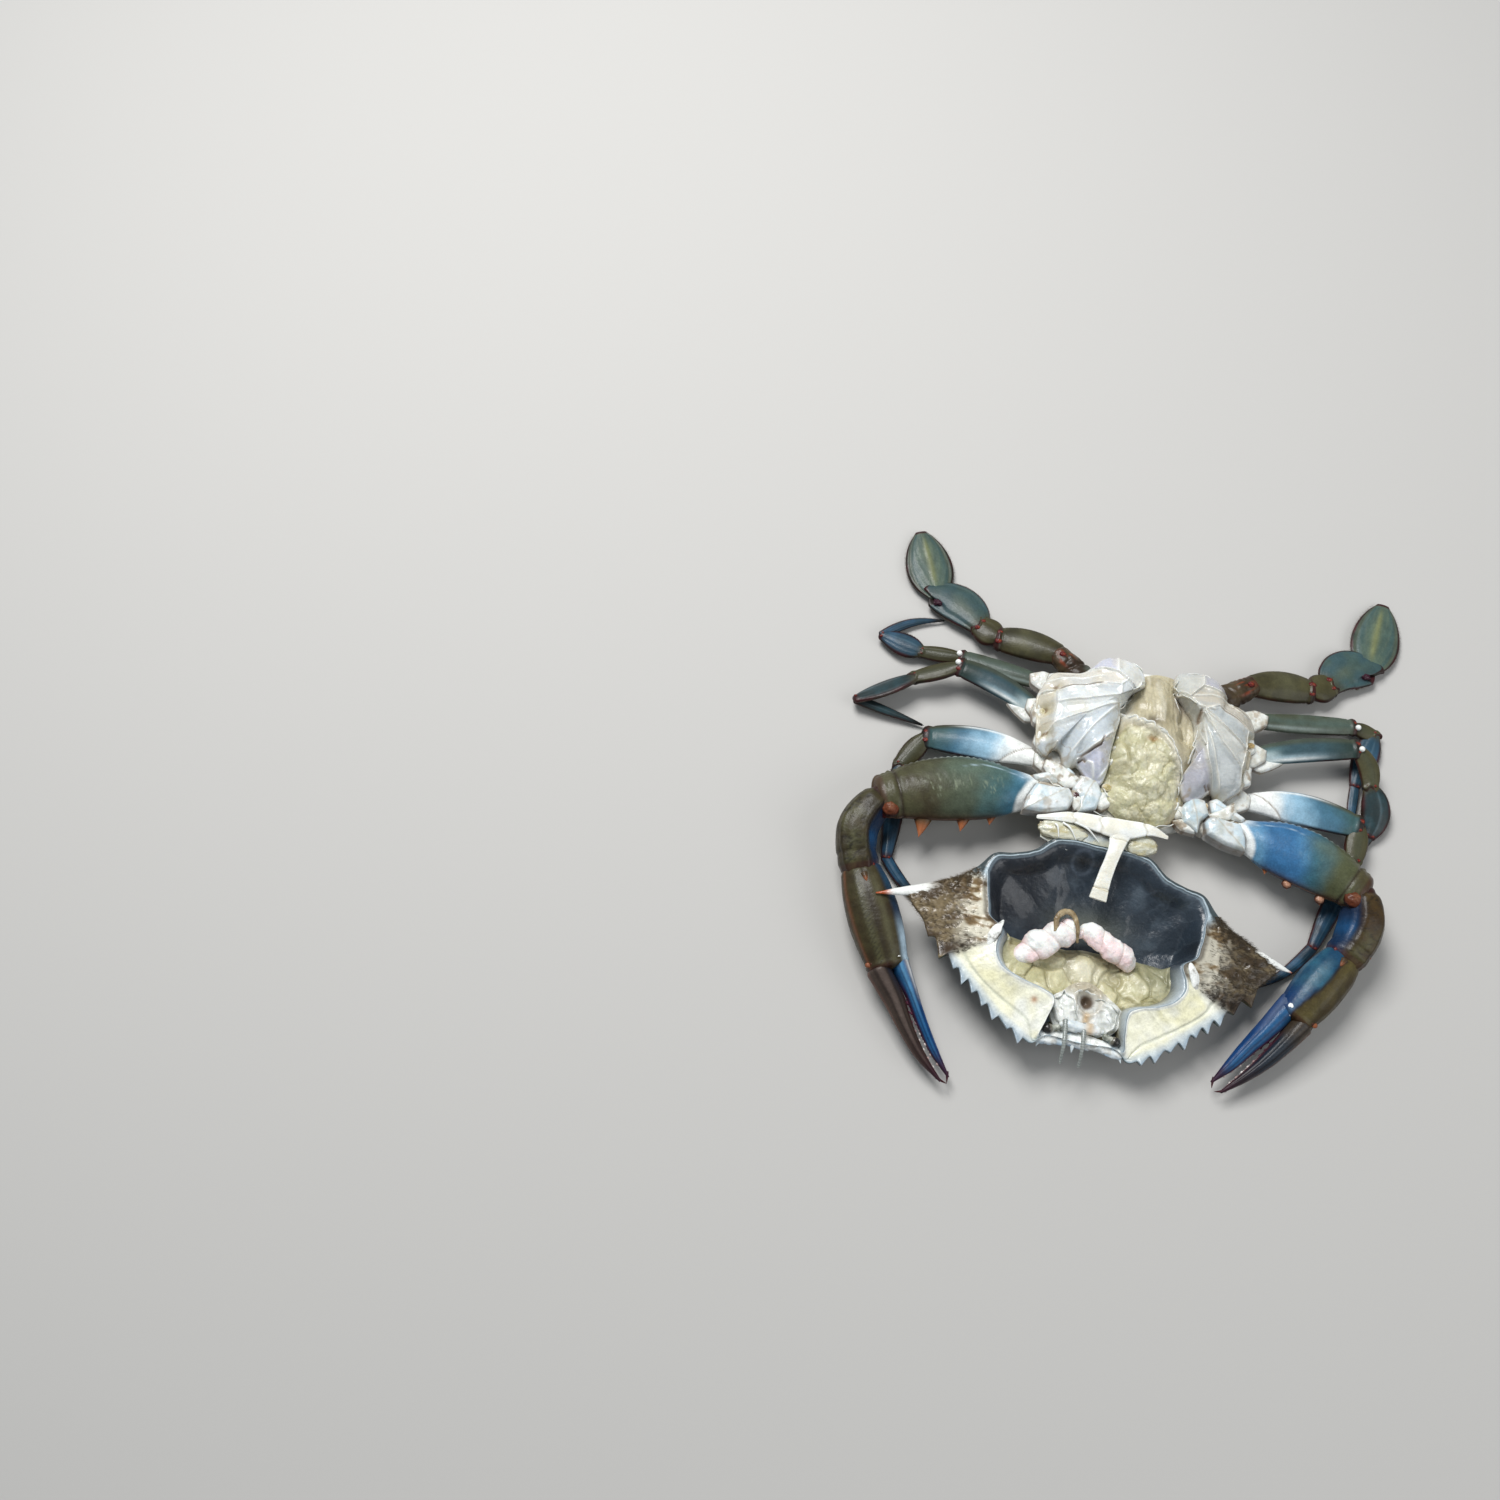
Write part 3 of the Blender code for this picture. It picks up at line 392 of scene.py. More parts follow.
def cone(shape, place, way, length, width, root_tone, tip_tone, curl=np.zeros(3), flat=1.0, sunk=1.5,
         sides=12, rows=12, hollow=1.5):
    """A curved, tapering spine, tooth or claw tip standing on a surface."""
    way = unit(way)
    f = np.linspace(0, 1, rows)
    centre = place - way * sunk + way * (length + sunk) * f[:, None] + curl * (f ** 2)[:, None]
    ahead = unit(np.gradient(centre, axis=0))
    helper = UP if abs(way[2]) < 0.8 else np.array([1.0, 0.0, 0.0])
    side = unit(np.cross(helper, ahead))
    rise = np.cross(ahead, side)
    radius = width / 2 * np.maximum((1 - f) ** (1 / hollow), 0.03)
    angle = np.arange(sides) * 2 * math.pi / sides
    points = (centre[:, None] + side[:, None] * (radius[:, None] * np.cos(angle))[..., None]
              + rise[:, None] * (radius[:, None] * np.sin(angle) * flat)[..., None])
    shape.grid(points, mix(root_tone, tip_tone, step(f, 0.25, 0.8)[:, None]))


def ball(shape, centre, radii, colours, rows=14, columns=20, rough=0.0, seed=0):
    """A rounded knob; colours is one colour or a function of the place on the unit ball."""
    polar = np.linspace(0.08, math.pi - 0.08, rows)[:, None]
    turn = np.arange(columns)[None] * 2 * math.pi / columns
    q = np.stack([np.sin(polar) * np.cos(turn), np.sin(polar) * np.sin(turn),
                  np.cos(polar) * np.ones_like(turn)], axis=-1)
    size = 1 + rough * fbm(q * 3 + np.asarray(centre) * 0.37, 1.0, seed)
    shape.grid(np.asarray(centre) + q * radii * size[..., None], colours(q) if callable(colours) else colours)


PLATE_BEVEL = 1.5


def plate(shape, outline, height, dome, thick, tint, rough=0.4, seed=0, square=0.5):
    """A plate with tight corners and bevelled edges; tint is a function of place and share."""
    corners = np.column_stack([np.array(outline, float), np.zeros(len(outline))])
    ahead = np.roll(corners, -1, axis=0) - corners
    edge = closed_curve(np.stack([corners + ahead * 0.13, corners + ahead * 0.87], axis=1).reshape(-1, 3),
                        120)
    middle = edge.mean(0)
    shares = np.concatenate([np.linspace(0.2, 1, 4), np.linspace(1, 0.99, 3), np.linspace(0.97, 0.02, 24)])
    under = np.arange(len(shares)) < 5
    q = middle + (edge - middle)[None] * shares[:, None, None]
    border, _ = stroke(q, np.vstack([edge[::2, :2], edge[:1, :2]]))
    bevel = 1 - (1 - np.clip(border / PLATE_BEVEL, 0, 1)) ** 2
    rise = dome * (0.62 * bevel + 0.38 * ((1 - shares ** 3) ** square)[:, None])
    z = height + np.where(under[:, None], -thick, rise)
    z = z + np.where(under[:, None], 0, rough * fbm(q, 4.0, seed) + rough * 0.2 * fbm(q, 1.1, seed + 5))
    shape.grid(np.stack([q[..., 0], q[..., 1], z], axis=-1), tint(q, shares[:, None]))


FRILL_ROOT = 1.0        # how deep a frill stands in what carries it


def frill(shape, line, high, tint, lean, seed, thick=0.55):
    """A thin, ragged edge of torn membrane standing along a line of places."""
    draw = np.random.default_rng(seed)
    line = np.asarray(line, float)
    length = np.linalg.norm(np.diff(line, axis=0), axis=1).sum()
    count = max(int(length / 1.7), 5)
    tall = high * draw.uniform(0.35, 1.25, count)
    tall[0] = tall[-1] = high * 0.15
    f = np.linspace(0, 1, count)
    wave = between(line, f)
    wave[1:-1, :2] += draw.normal(0, 0.4, (count - 2, 2))
    wave[:, 2] += tall / 2 - FRILL_ROOT
    band = Limb(wave, np.full(count, thick), tall + FRILL_ROOT, rows=int(length * 3.2) + 12, columns=20,
                roll=lean, ends=(0.4, 0.4))
    crest = step(band.u, -0.4, 0.9)
    shape.grid(band.points, mix(tint, WHITE, crest * 0.8))


HAIR_RINGS = ((0.0, 1.0), (0.4, 0.75), (0.75, 0.45), (1.0, 0.08))      # place along the hair, thickness
HAIR_POINTS = 3 * len(HAIR_RINGS)


def hairs(shape, roots, ways, lengths, width, root_tone, tip_tone, seed, droop=0.15):
    """Many thin tapering bristles, each a three-sided blade of three lengths."""
    draw = np.random.default_rng(seed)
    roots, ways = np.asarray(roots, float), unit(ways)
    number = len(roots)
    lengths = np.broadcast_to(lengths, number) * draw.uniform(0.75, 1.15, number)
    side = unit(np.cross(ways, UP) + 1e-4)
    other = np.cross(ways, side)
    sway = side * draw.normal(0, 0.12, number)[:, None] * lengths[:, None]
    rings, tints = [], []
    for f, thick in HAIR_RINGS:
        middle = (roots + ways * (lengths * f)[:, None] + sway * f ** 2
                  - UP * (lengths * droop * f ** 2)[:, None])
        ring = [middle + (side * math.cos(b) + other * math.sin(b)) * width * thick / 2
                for b in (0, 2.09, 4.19)]
        rings.append(np.stack(ring, axis=1))
        hue = np.broadcast_to(mix(root_tone, tip_tone, f), (number, 3))
        tints.append(np.repeat(hue[:, None], 3, axis=1))
    points = np.stack(rings, axis=1)
    colours = np.stack(tints, axis=1)
    base = np.arange(number)[:, None] * HAIR_POINTS
    faces = [[r + i, r + j, r + 3 + j, r + 3 + i] for r in (0, 3, 6) for i, j in ((0, 1), (1, 2), (2, 0))]
    quads = (base[:, :, None] + np.array(faces)[None]).reshape(-1, 4)
    caps = (base[:, :, None] + np.array([[2, 1, 0], [9, 10, 11]])[None]).reshape(-1, 3)
    shape.add(points.reshape(-1, 3), colours.reshape(-1, 3), quads, caps)


# Finishes

BROAD, FINE, GLOSS, NET = 260, 1400, 420, 900       # scales of the noise in a finish, per metre
SCATTER_DEPTH = 0.0015
PIT_DEPTH = 0.0002


def finish(name, roughness, coat, mottle, grain, bump, scatter=0.0, pits=0.0, glaze=0.08,
           shine=0.5):
    """A wet, painted surface: colours from the mesh, broken up by noise in tone, gloss and relief.

    roughness is its least and greatest value, grain is the size of the fine relief in millimetres,
    and pits is the strength of a net of small round granules.
    """
    material = bpy.data.materials.new(name)
    material.use_nodes = True
    nodes, links = material.node_tree.nodes, material.node_tree.links
    shader = nodes["Principled BSDF"]
    shader.inputs["Coat Weight"].default_value = coat
    shader.inputs["Specular IOR Level"].default_value = shine
    shader.inputs["Coat Roughness"].default_value = glaze
    shader.inputs["Subsurface Weight"].default_value = scatter
    shader.inputs["Subsurface Radius"].default_value = (1.0, 0.8, 0.6)
    shader.inputs["Subsurface Scale"].default_value = SCATTER_DEPTH
    place = nodes.new("ShaderNodeTexCoord")
    paint = nodes.new("ShaderNodeAttribute")
    paint.attribute_name = "paint"

    def cloud(scale, detail, low, high):
        texture = nodes.new("ShaderNodeTexNoise")
        texture.inputs["Scale"].default_value = scale
        texture.inputs["Detail"].default_value = detail
        links.new(place.outputs["Object"], texture.inputs["Vector"])
        spread = nodes.new("ShaderNodeMapRange")
        spread.inputs["From Min"].default_value = 0.3
        spread.inputs["From Max"].default_value = 0.7
        spread.inputs["To Min"].default_value = low
        spread.inputs["To Max"].default_value = high
        links.new(texture.outputs["Fac"], spread.inputs["Value"])
        return spread.outputs["Result"]

    def multiplied(a, b):
        product = nodes.new("ShaderNodeMix")
        product.data_type = "RGBA"
        product.blend_type = "MULTIPLY"
        product.inputs["Factor"].default_value = 1.0
        links.new(a, product.inputs["A"])
        links.new(b, product.inputs["B"])
        return product.outputs["Result"]

    broad = cloud(BROAD, 3, 1 - mottle * 0.6, 1 + mottle * 0.4)
    fine = cloud(FINE, 3, 1 - mottle * 0.5, 1 + mottle * 0.35)
    links.new(multiplied(multiplied(paint.outputs["Color"], broad), fine), shader.inputs["Base Color"])
    links.new(cloud(GLOSS, 4, *roughness), shader.inputs["Roughness"])

    relief = nodes.new("ShaderNodeBump")
    relief.inputs["Strength"].default_value = bump
    relief.inputs["Distance"].default_value = grain * MM * 0.4
    links.new(cloud(1 / (grain * MM), 3, 0.0, 1.0), relief.inputs["Height"])
    last = relief
    if pits:
        net = nodes.new("ShaderNodeTexVoronoi")
        net.inputs["Scale"].default_value = NET
        links.new(place.outputs["Object"], net.inputs["Vector"])
        last = nodes.new("ShaderNodeBump")
        last.invert = True
        last.inputs["Strength"].default_value = pits
        last.inputs["Distance"].default_value = PIT_DEPTH
        links.new(net.outputs["Distance"], last.inputs["Height"])
        links.new(relief.outputs["Normal"], last.inputs["Normal"])
    links.new(last.outputs["Normal"], shader.inputs["Normal"])
    return material


SHELL = finish("claw shell", (0.36, 0.52), 0.07, 0.30, 0.9, 0.16, pits=0.08, shine=0.26)
LEG_SHELL = finish("leg shell", (0.34, 0.50), 0.08, 0.24, 0.8, 0.14, pits=0.05, shine=0.27)
PALE_SHELL = finish("white shell", (0.22, 0.40), 0.4, 0.12, 0.8, 0.25, scatter=0.12)
CHITIN = finish("clear inner shell", (0.18, 0.34), 0.5, 0.10, 1.4, 0.18, scatter=0.2)
SOFT = finish("soft organs", (0.36, 0.55), 0.28, 0.16, 0.9, 0.35, scatter=0.2, glaze=0.16)
CARAPACE = finish("carapace", (0.26, 0.44), 0.28, 0.2, 1.4, 0.22, pits=0.08, glaze=0.09, shine=0.4)
BRISTLE = finish("bristles", (0.4, 0.6), 0.1, 0.2, 0.5, 0.1)
GLOBE = finish("eyes", (0.22, 0.34), 0.3, 0.2, 0.3, 0.3, glaze=0.12)


# Limbs: the root of each, and the length, bearing and end height of each of its pieces, as in the solids

LIMBS = {
    "claw_left": ((-20.3, -24.8, 12.0), (
        (24.3, 188, 13.0), (60.5, 193, 16.0), (29.8, 262, 12.5), (42.0, 295, 10.5), (48.0, 307, 6.0))),
    "claw_right": ((20.5, -24.8, 12.0), (
        (22.3, 346, 13.0), (50.0, 342, 16.0), (26.6, 262, 12.5), (33.0, 237, 10.5), (40.8, 230, 6.0))),
    "leg2_left": ((-30.0, -14.0, 10.0), (
        (12.5, 164, 10.0), (47.4, 177, 6.5), (16.0, 238, 4.0), (41.1, 271, 3.0), (30.0, 321, 2.0))),
    "leg2_right": ((31.0, -16.0, 10.0), (
        (12.4, 14, 10.0), (47.7, 358, 8.5), (14.8, 265, 7.5), (40.5, 251, 3.0), (30.5, 223, 2.0))),
    "leg3_left": ((-40.1, 7.5, 11.0), (
        (9.4, 148, 11.0), (34.3, 159, 11.0), (19.2, 202, 8.0), (26.6, 210, 5.0), (29.8, 350, 2.0))),
    "leg3_right": ((39.7, 4.5, 11.0), (
        (8.7, 24, 11.0), (41.3, 15, 11.0), (16.3, 296, 8.0), (20.0, 276, 3.0), (25.9, 237, 1.2))),
    "leg4_left": ((-37.9, 22.5, 9.0), (
        (10.5, 161, 8.0), (32.5, 169, 5.0), (17.1, 180, 4.0), (18.8, 165, 3.5), (28.5, 27, 2.0))),
    "leg4_right": ((38.3, 20.5, 9.0), (
        (10.8, 25, 8.0), (40.2, 9, 5.0), (9.0, 350, 3.5), (25.3, 255, 3.0), (23.0, 266, 2.0))),
    "swim_left": ((-26.0, 28.0, 10.0), (
        (18.0, 140, 9.0), (25.6, 171, 6.0), (10.0, 150, 5.0), (24.0, 150, 3.5), (33.0, 110, 2.0))),
    "swim_right": ((27.0, 28.0, 10.0), (
        (20.9, 37, 9.0), (25.2, 8, 6.0), (9.5, 30, 5.0), (20.0, 33, 3.5), (34.5, 81, 2.0))),
}
CLAW_FORMS = {          # widths and depths along each piece of the left claw
    "base": ((13, 16, 18), (13, 15, 14)),
    "merus": ((14.5, 20, 24.5, 26.5, 26.8, 25, 21.5, 17.5), (12, 15, 16.6, 17, 17, 16.4, 15, 13)),
    "carpus": ((13, 16.6, 17.2, 15.4), (13, 17, 17, 14)),
    "palm": ((15.5, 20, 21.2, 20, 16.5), (12, 17, 18.5, 17, 13)),
}
CLAWS = {
    -1: {
        "size": 1.0, "carpus_bow": 5.2, "spines": (2.6, 4.6, 7.0),
        "fixed": ((-5.2, -3.6, -2.0, -1.0, -1.4), (9, 5.6, 4.6, 3.8, 0.9)),
        "moving": ((4.0, 3.8, 4.7, 4.5, 2.1), (10, 8.6, 6.2, 4.2, 0.9)),
    },
    1: {
        "size": 0.9, "carpus_bow": 3.0, "spines": (1.2, 2.6, 3.0),
        "fixed": ((-4.5, -3.4, -3.0, -2.4, -2.4), (9.5, 8, 6.4, 4.6, 0.9)),
        "moving": ((4.0, 4.8, 5.0, 4.2, 2.6), (9, 7.4, 5.8, 3.8, 0.9)),
    },
}
FINGER_DEPTHS = (12.5, 10, 8, 5.5, 1.1)
SPINE_PLACES = (0.27, 0.46, 0.73)
LEG_FORMS = {           # widths and depths along each piece
    "leg2": {
        "base": ((11, 12, 11), (8, 8, 6.5)),
        "merus": ((9, 13.5, 14, 10), (5.5, 6, 5.5, 4.2)),
        "carpus": ((7.5, 9, 8.5), (4.2, 4.4, 4.2)),
        "propodus": ((8, 8.5, 8, 6), (4.2, 4.2, 4, 3.4)),
        "dactyl": ((4.8, 4.8, 4, 2.6, 0.8), (3, 3, 2.6, 2, 0.8)),
    },
    "leg3": {
        "base": ((10, 11, 10), (7, 7, 6)),
        "merus": ((8, 10.5, 10.5, 8), (4.6, 4.8, 4.6, 4)),
        "carpus": ((7, 8.5, 8), (4, 4.2, 4)),
        "propodus": ((8, 11.5, 12, 8), (4, 4.2, 4, 3.4)),
        "dactyl": ((4.4, 4.4, 3.8, 2.4, 0.8), (2.4, 2.4, 2.2, 1.8, 0.8)),
    },
    "leg4": {
        "base": ((9, 10, 9), (6.5, 6.5, 5.5)),
        "merus": ((7, 8.5, 8.5, 6.5), (4.4, 4.6, 4.2, 3.6)),
        "carpus": ((6, 7, 6.5), (3.6, 3.6, 3.4)),
        "propodus": ((7, 10.5, 10.5, 7), (3.4, 3.6, 3.4, 3)),
        "dactyl": ((4.2, 4.4, 3.8, 2.4, 0.8), (2.4, 2.4, 2.2, 1.8, 0.8)),
    },
    "swim": {
        "base": ((13, 14, 12), (9, 9, 8)),
        "merus": ((10, 13, 12), (6.6, 6.8, 5.8)),
        "carpus": ((10.5, 13, 12), (5.6, 5.8, 5.0)),
        "propodus": ((13, 17.5, 18.5, 14), (5, 4.6, 4.4, 4)),
        "paddle": ((9, 18, 20.5, 17, 6), (3.2, 3.2, 3, 2.8, 1.6)),
    },
}
BOWS = {                # how far a piece bows to the left of the way ahead
    "leg2_left_merus": -2.0, "leg2_right_merus": 2.0, "leg3_left_merus": -1.5, "leg3_right_merus": 1.0,
    "leg4_left_dactyl": 2.5, "leg2_left_dactyl": -2.0, "leg2_right_dactyl": 2.0,
    "leg3_right_carpus": 2.0, "leg3_right_propodus": 2.5, "swim_left_merus": -1.0, "swim_right_merus": 1.0,
    "swim_left_propodus": -3.0, "swim_right_propodus": 4.0,
}
ROLLS = {"leg3_left_propodus": 40.0, "leg3_left_carpus": 20.0, "leg4_left_dactyl": 30.0}


def joints_of(limb):
    """The places of a limb's root and joints, and the bearing of each of its pieces."""
    root, steps = LIMBS[limb]
    places = [np.array(root)]
    for length, bearing, height in steps:
        place = places[-1] + heading(bearing) * length
        place[2] = height
        places.append(place)
    return places, [bearing for _, bearing, _ in steps]


def bowed(start, end, bow):
    """Five places on a path from start to end that bows to the left of the way ahead."""
    left = unit(np.cross(UP, end - start))
    f = np.arange(5) / 4
    return start + (end - start) * f[:, None] + left * (bow * np.sin(math.pi * f))[:, None]


def condyle(shape, place, size):
    """The dark red knob of a joint, painted lighter on top and with a painted orange highlight at its top."""
    def tint(q):
        return painted(
            (34, 12, 12), ((92, 20, 16), step(q[..., 2], -0.2, 0.7)),
            ((168, 84, 50), step(q[..., 2] + 0.3 * q[..., 0], 0.85, 1.15) * 0.6))
    ball(shape, place, (size * 0.95, size * 0.75, size * 0.5), tint, rough=0.3, rows=22, columns=32,
         seed=int(abs(place[0]) * 7))


def pearl(shape, place, size):
    # a white knob, painted whiter on its top as a highlight
    ball(shape, place, size, lambda q: mix(MILK, WHITE, step(q[..., 2], -0.2, 0.6)), rows=12, columns=14)


# Claws

def claw_merus(limb, places, bearings, side, form):
    """The arm of a claw, with spines on its front edge, a beaded rear edge and a collar."""
    size = form["size"]
    widths, depths = (np.array(v) * size for v in CLAW_FORMS["merus"])
    path = bowed(places[1], places[2], side * 3.0)
    arm = Limb(path, widths, depths, rows=170, columns=120, power=2.1, ends=(0.3, 0.45), keen=0.12)
    front_angle = math.pi if side > 0 else 0.0
    rear_angle = math.pi - front_angle
    rear = arm.s * (1 if rear_angle == 0 else -1)
    # the root is cut off at a slant, with a point at its rear corner
    lead = np.repeat(arm.ahead[:, None], arm.points.shape[1], 1)
    slant = 3.0 * step(rear, 0.5, -0.6) - 4.2 * bell(rear, 0.95, 0.35)
    arm.points = arm.points + lead * (slant * step(arm.t, 0.22, 0.0))[..., None]
    t, u, p = arm.t, arm.u, arm.points
    beads = np.sin(t * arm.length * 2.6) * 0.5 + 0.5
    height = (0.7 * arm.round(rear_angle + 0.12 * side, 0.12) * (0.5 + 0.6 * beads) * step(t, 0.08, 0.25)
              + 0.5 * arm.round(front_angle - 0.25 * side, 0.2)
              - 0.45 * bell(t, 0.895, 0.012) * step(u, -0.4, 0.2)
              + 0.35 * bell(t, 0.93, 0.02) + 0.25 * bell(t, 0.985, 0.02)
              + 0.28 * fbm(p, 9.0, 3) + 0.07 * fbm(p, 1.4, 5) * step(u, -0.2, 0.4))
    near, _ = cells(p, 1.9, 11)
    height += 0.13 * step(near, 0.45, 0.1) * step(u, 0.0, 0.5) * step(t, 0.2, 0.5)
    points = raised(p, height)

    blotch = fbm(p, 7.0, 21)
    along = t + 0.05 * blotch + 0.05 * rear
    olive = mix(tone(72, 71, 48), tone(58, 52, 34), step(blotch, -0.3, 0.6))
    if side < 0:
        skin = painted(
            (58, 104, 124), ((62, 92, 92), step(along, 0.08, 0.24)),
            ((74, 84, 68), step(along, 0.22, 0.42)),
            (olive, step(along, 0.42, 0.72)),
            (BLUE_SKY, bell(along, 0.10, 0.07) * step(rear, 0.1, 0.8) * 0.6),
            ((92, 112, 100), bell(rear, 0.5, 0.35) * bell(along, 0.42, 0.22) * 0.5),
            (OLIVE_PALE, step(along, 0.9, 1.0) * 0.25))
    else:
        skin = painted(
            (52, 104, 148), ((86, 140, 176), step(fbm(p, 11.0, 8), -0.2, 0.7) * 0.6),
            ((110, 158, 186), step(along, 0.22, 0.06) * 0.6),
            ((52, 92, 104), step(along, 0.42, 0.62)),
            ((76, 80, 54), step(along, 0.58, 0.78)),
            ((70, 58, 36), step(along, 0.84, 0.98) * 0.7),
            ((112, 124, 104), bell(rear, 0.45, 0.3) * bell(along, 0.62, 0.12) * 0.4))
    skin = painted(
        skin, (WHITE, step(t + 0.03 * rear + 0.01 * blotch, 0.065, 0.02) * 0.9),
        (WHITE, bell(rear, 0.9, 0.3) * step(t, 0.14, 0.03) * 0.9))
    # a chain of pale scribbles along the middle
    loop, _ = cells(p * np.array([1.0, 0.72, 0.2]) + 0.5 * fbm(p, 2.0, 32)[..., None], 2.7, 31)
    clumps = step(np.sin(t * 30 + 1.5 * blotch), -0.7, 0.0)
    marks = (bell(loop, 0.36, 0.06) * step(fbm(p, 1.6, 30), -0.5, 0.0) * bell(rear, -0.10, 0.30)
             * step(t, 0.14, 0.24) * step(t, 0.78, 0.66) * clumps)
    skin = mix(skin, tone(146, 156, 132), marks * step(u, 0.3, 0.7) * (0.7 if side < 0 else 0.10))
    # a thin pale arc over the root and the white, beaded rear edge
    arc = bell(rear, 0.45 + 0.22 * np.sin(t * 6), 0.022) * step(t, 0.02, 0.1) * step(t, 0.5, 0.34)
    skin = mix(skin, BLUE_PALE, arc * step(u, 0.0, 0.3) * 0.6)
    edge = arm.round(rear_angle + 0.12 * side, 0.09) * step(t, 0.9, 0.5)
    skin = painted(
        skin, ((206, 216, 210), edge * (0.5 + 0.4 * beads) * 0.85),
        ((66, 38, 22), arm.round(front_angle - 0.1 * side, 0.30) * step(t, 0.10, 0.3) * 0.9),
        ((150, 92, 54), arm.round(front_angle - 0.1 * side, 0.06) * step(t, 0.3, 0.5) * 0.5),
        (mix(BROWN_DARK, RED_DARK, 0.4), step(u, -0.15, -0.5) * 0.35),
        (IVORY, step(u, -0.3, -0.75) * 0.6),
        (BROWN_DARK, bell(t, 0.895, 0.010) * 0.75 * step(u, -0.3, 0.1)),
        (RED_DARK, step(t, 0.975, 1.0) * 0.5))
    shape = Shape()
    shape.grid(points, skin)

    front = heading(bearings[1] - 90 * side)
    onward = heading(bearings[1])
    for share, length in zip(SPINE_PLACES, form["spines"]):
        place = between(path, share) + front * between(widths, share) / 2 - UP * 0.6
        cone(shape, place - front * 2.4, front + onward * 0.1, length + 2.6, 10.5 * (0.62 + length * 0.06),
             tone(66, 56, 34), tone(150, 88, 52), curl=onward * length * 0.25, flat=0.6, sunk=1.6, sides=28,
             rows=24, hollow=1.0)
        if length > 1.5 and side > 0:
            # on the right claw, a brown knob at each long spine, painted lighter on top as a highlight
            ball(shape, place + front * (length * 0.5 - 0.5) + onward * 0.4 + UP * 0.2, (1.9, 1.9, 1.5),
                 lambda q: mix(tone(70, 36, 26), tone(164, 122, 98), step(q[..., 2], 0.2, 0.9)), rough=0.15,
                 rows=24, columns=32)
    for share in np.linspace(0.16, 0.86, 9):
        place = between(path, share) + front * (between(widths, share) / 2 - 0.5) + UP * 0.3
        cone(shape, place - front * 0.8, front + onward * 0.3, 0.9, 1.9, tone(74, 44, 26), tone(150, 84, 50),
             rows=8)
    knob = between(path, 0.955) + front * 6.4 * size + UP * 3.4

    # painted light: the knob is lighter over its upper half, with a painted highlight at its top
    def lit_knob(q):
        return painted(
            (40, 14, 12), ((96, 48, 26), step(q[..., 2], 0.1, 0.6)),
            ((162, 118, 88), step(q[..., 2] + 0.25 * fbm(q, 0.6, 4), 0.82, 1.15) * 0.8))
    ball(shape, knob, (3.9, 3.5, 2.9), lit_knob, rough=0.12, rows=36, columns=48, seed=3)
    collar = knob - UP * 1.4 + onward * 2.2
    ball(shape, collar, (3.4, 3.2, 2.0), mix(RED_DARK, tone(60, 14, 12), 0.5), rough=0.3, rows=24,
         columns=36, seed=8)
    # the small pale bead on the knob's top is a painted highlight
    ball(shape, knob + np.array([0.5, -0.5, 2.3]), 0.5, FLESH, rows=8, columns=10)
    rear_tip = between(path, 0.95) - front * 7.4 * size + UP * 1.0
    cone(shape, rear_tip, onward - front * 0.9, 2.6, 3.6, tone(60, 44, 26), tone(150, 84, 50), sunk=2.0)
    shape.make(f"{limb}_merus_shell", SHELL, "blue", f"{limb}_merus")


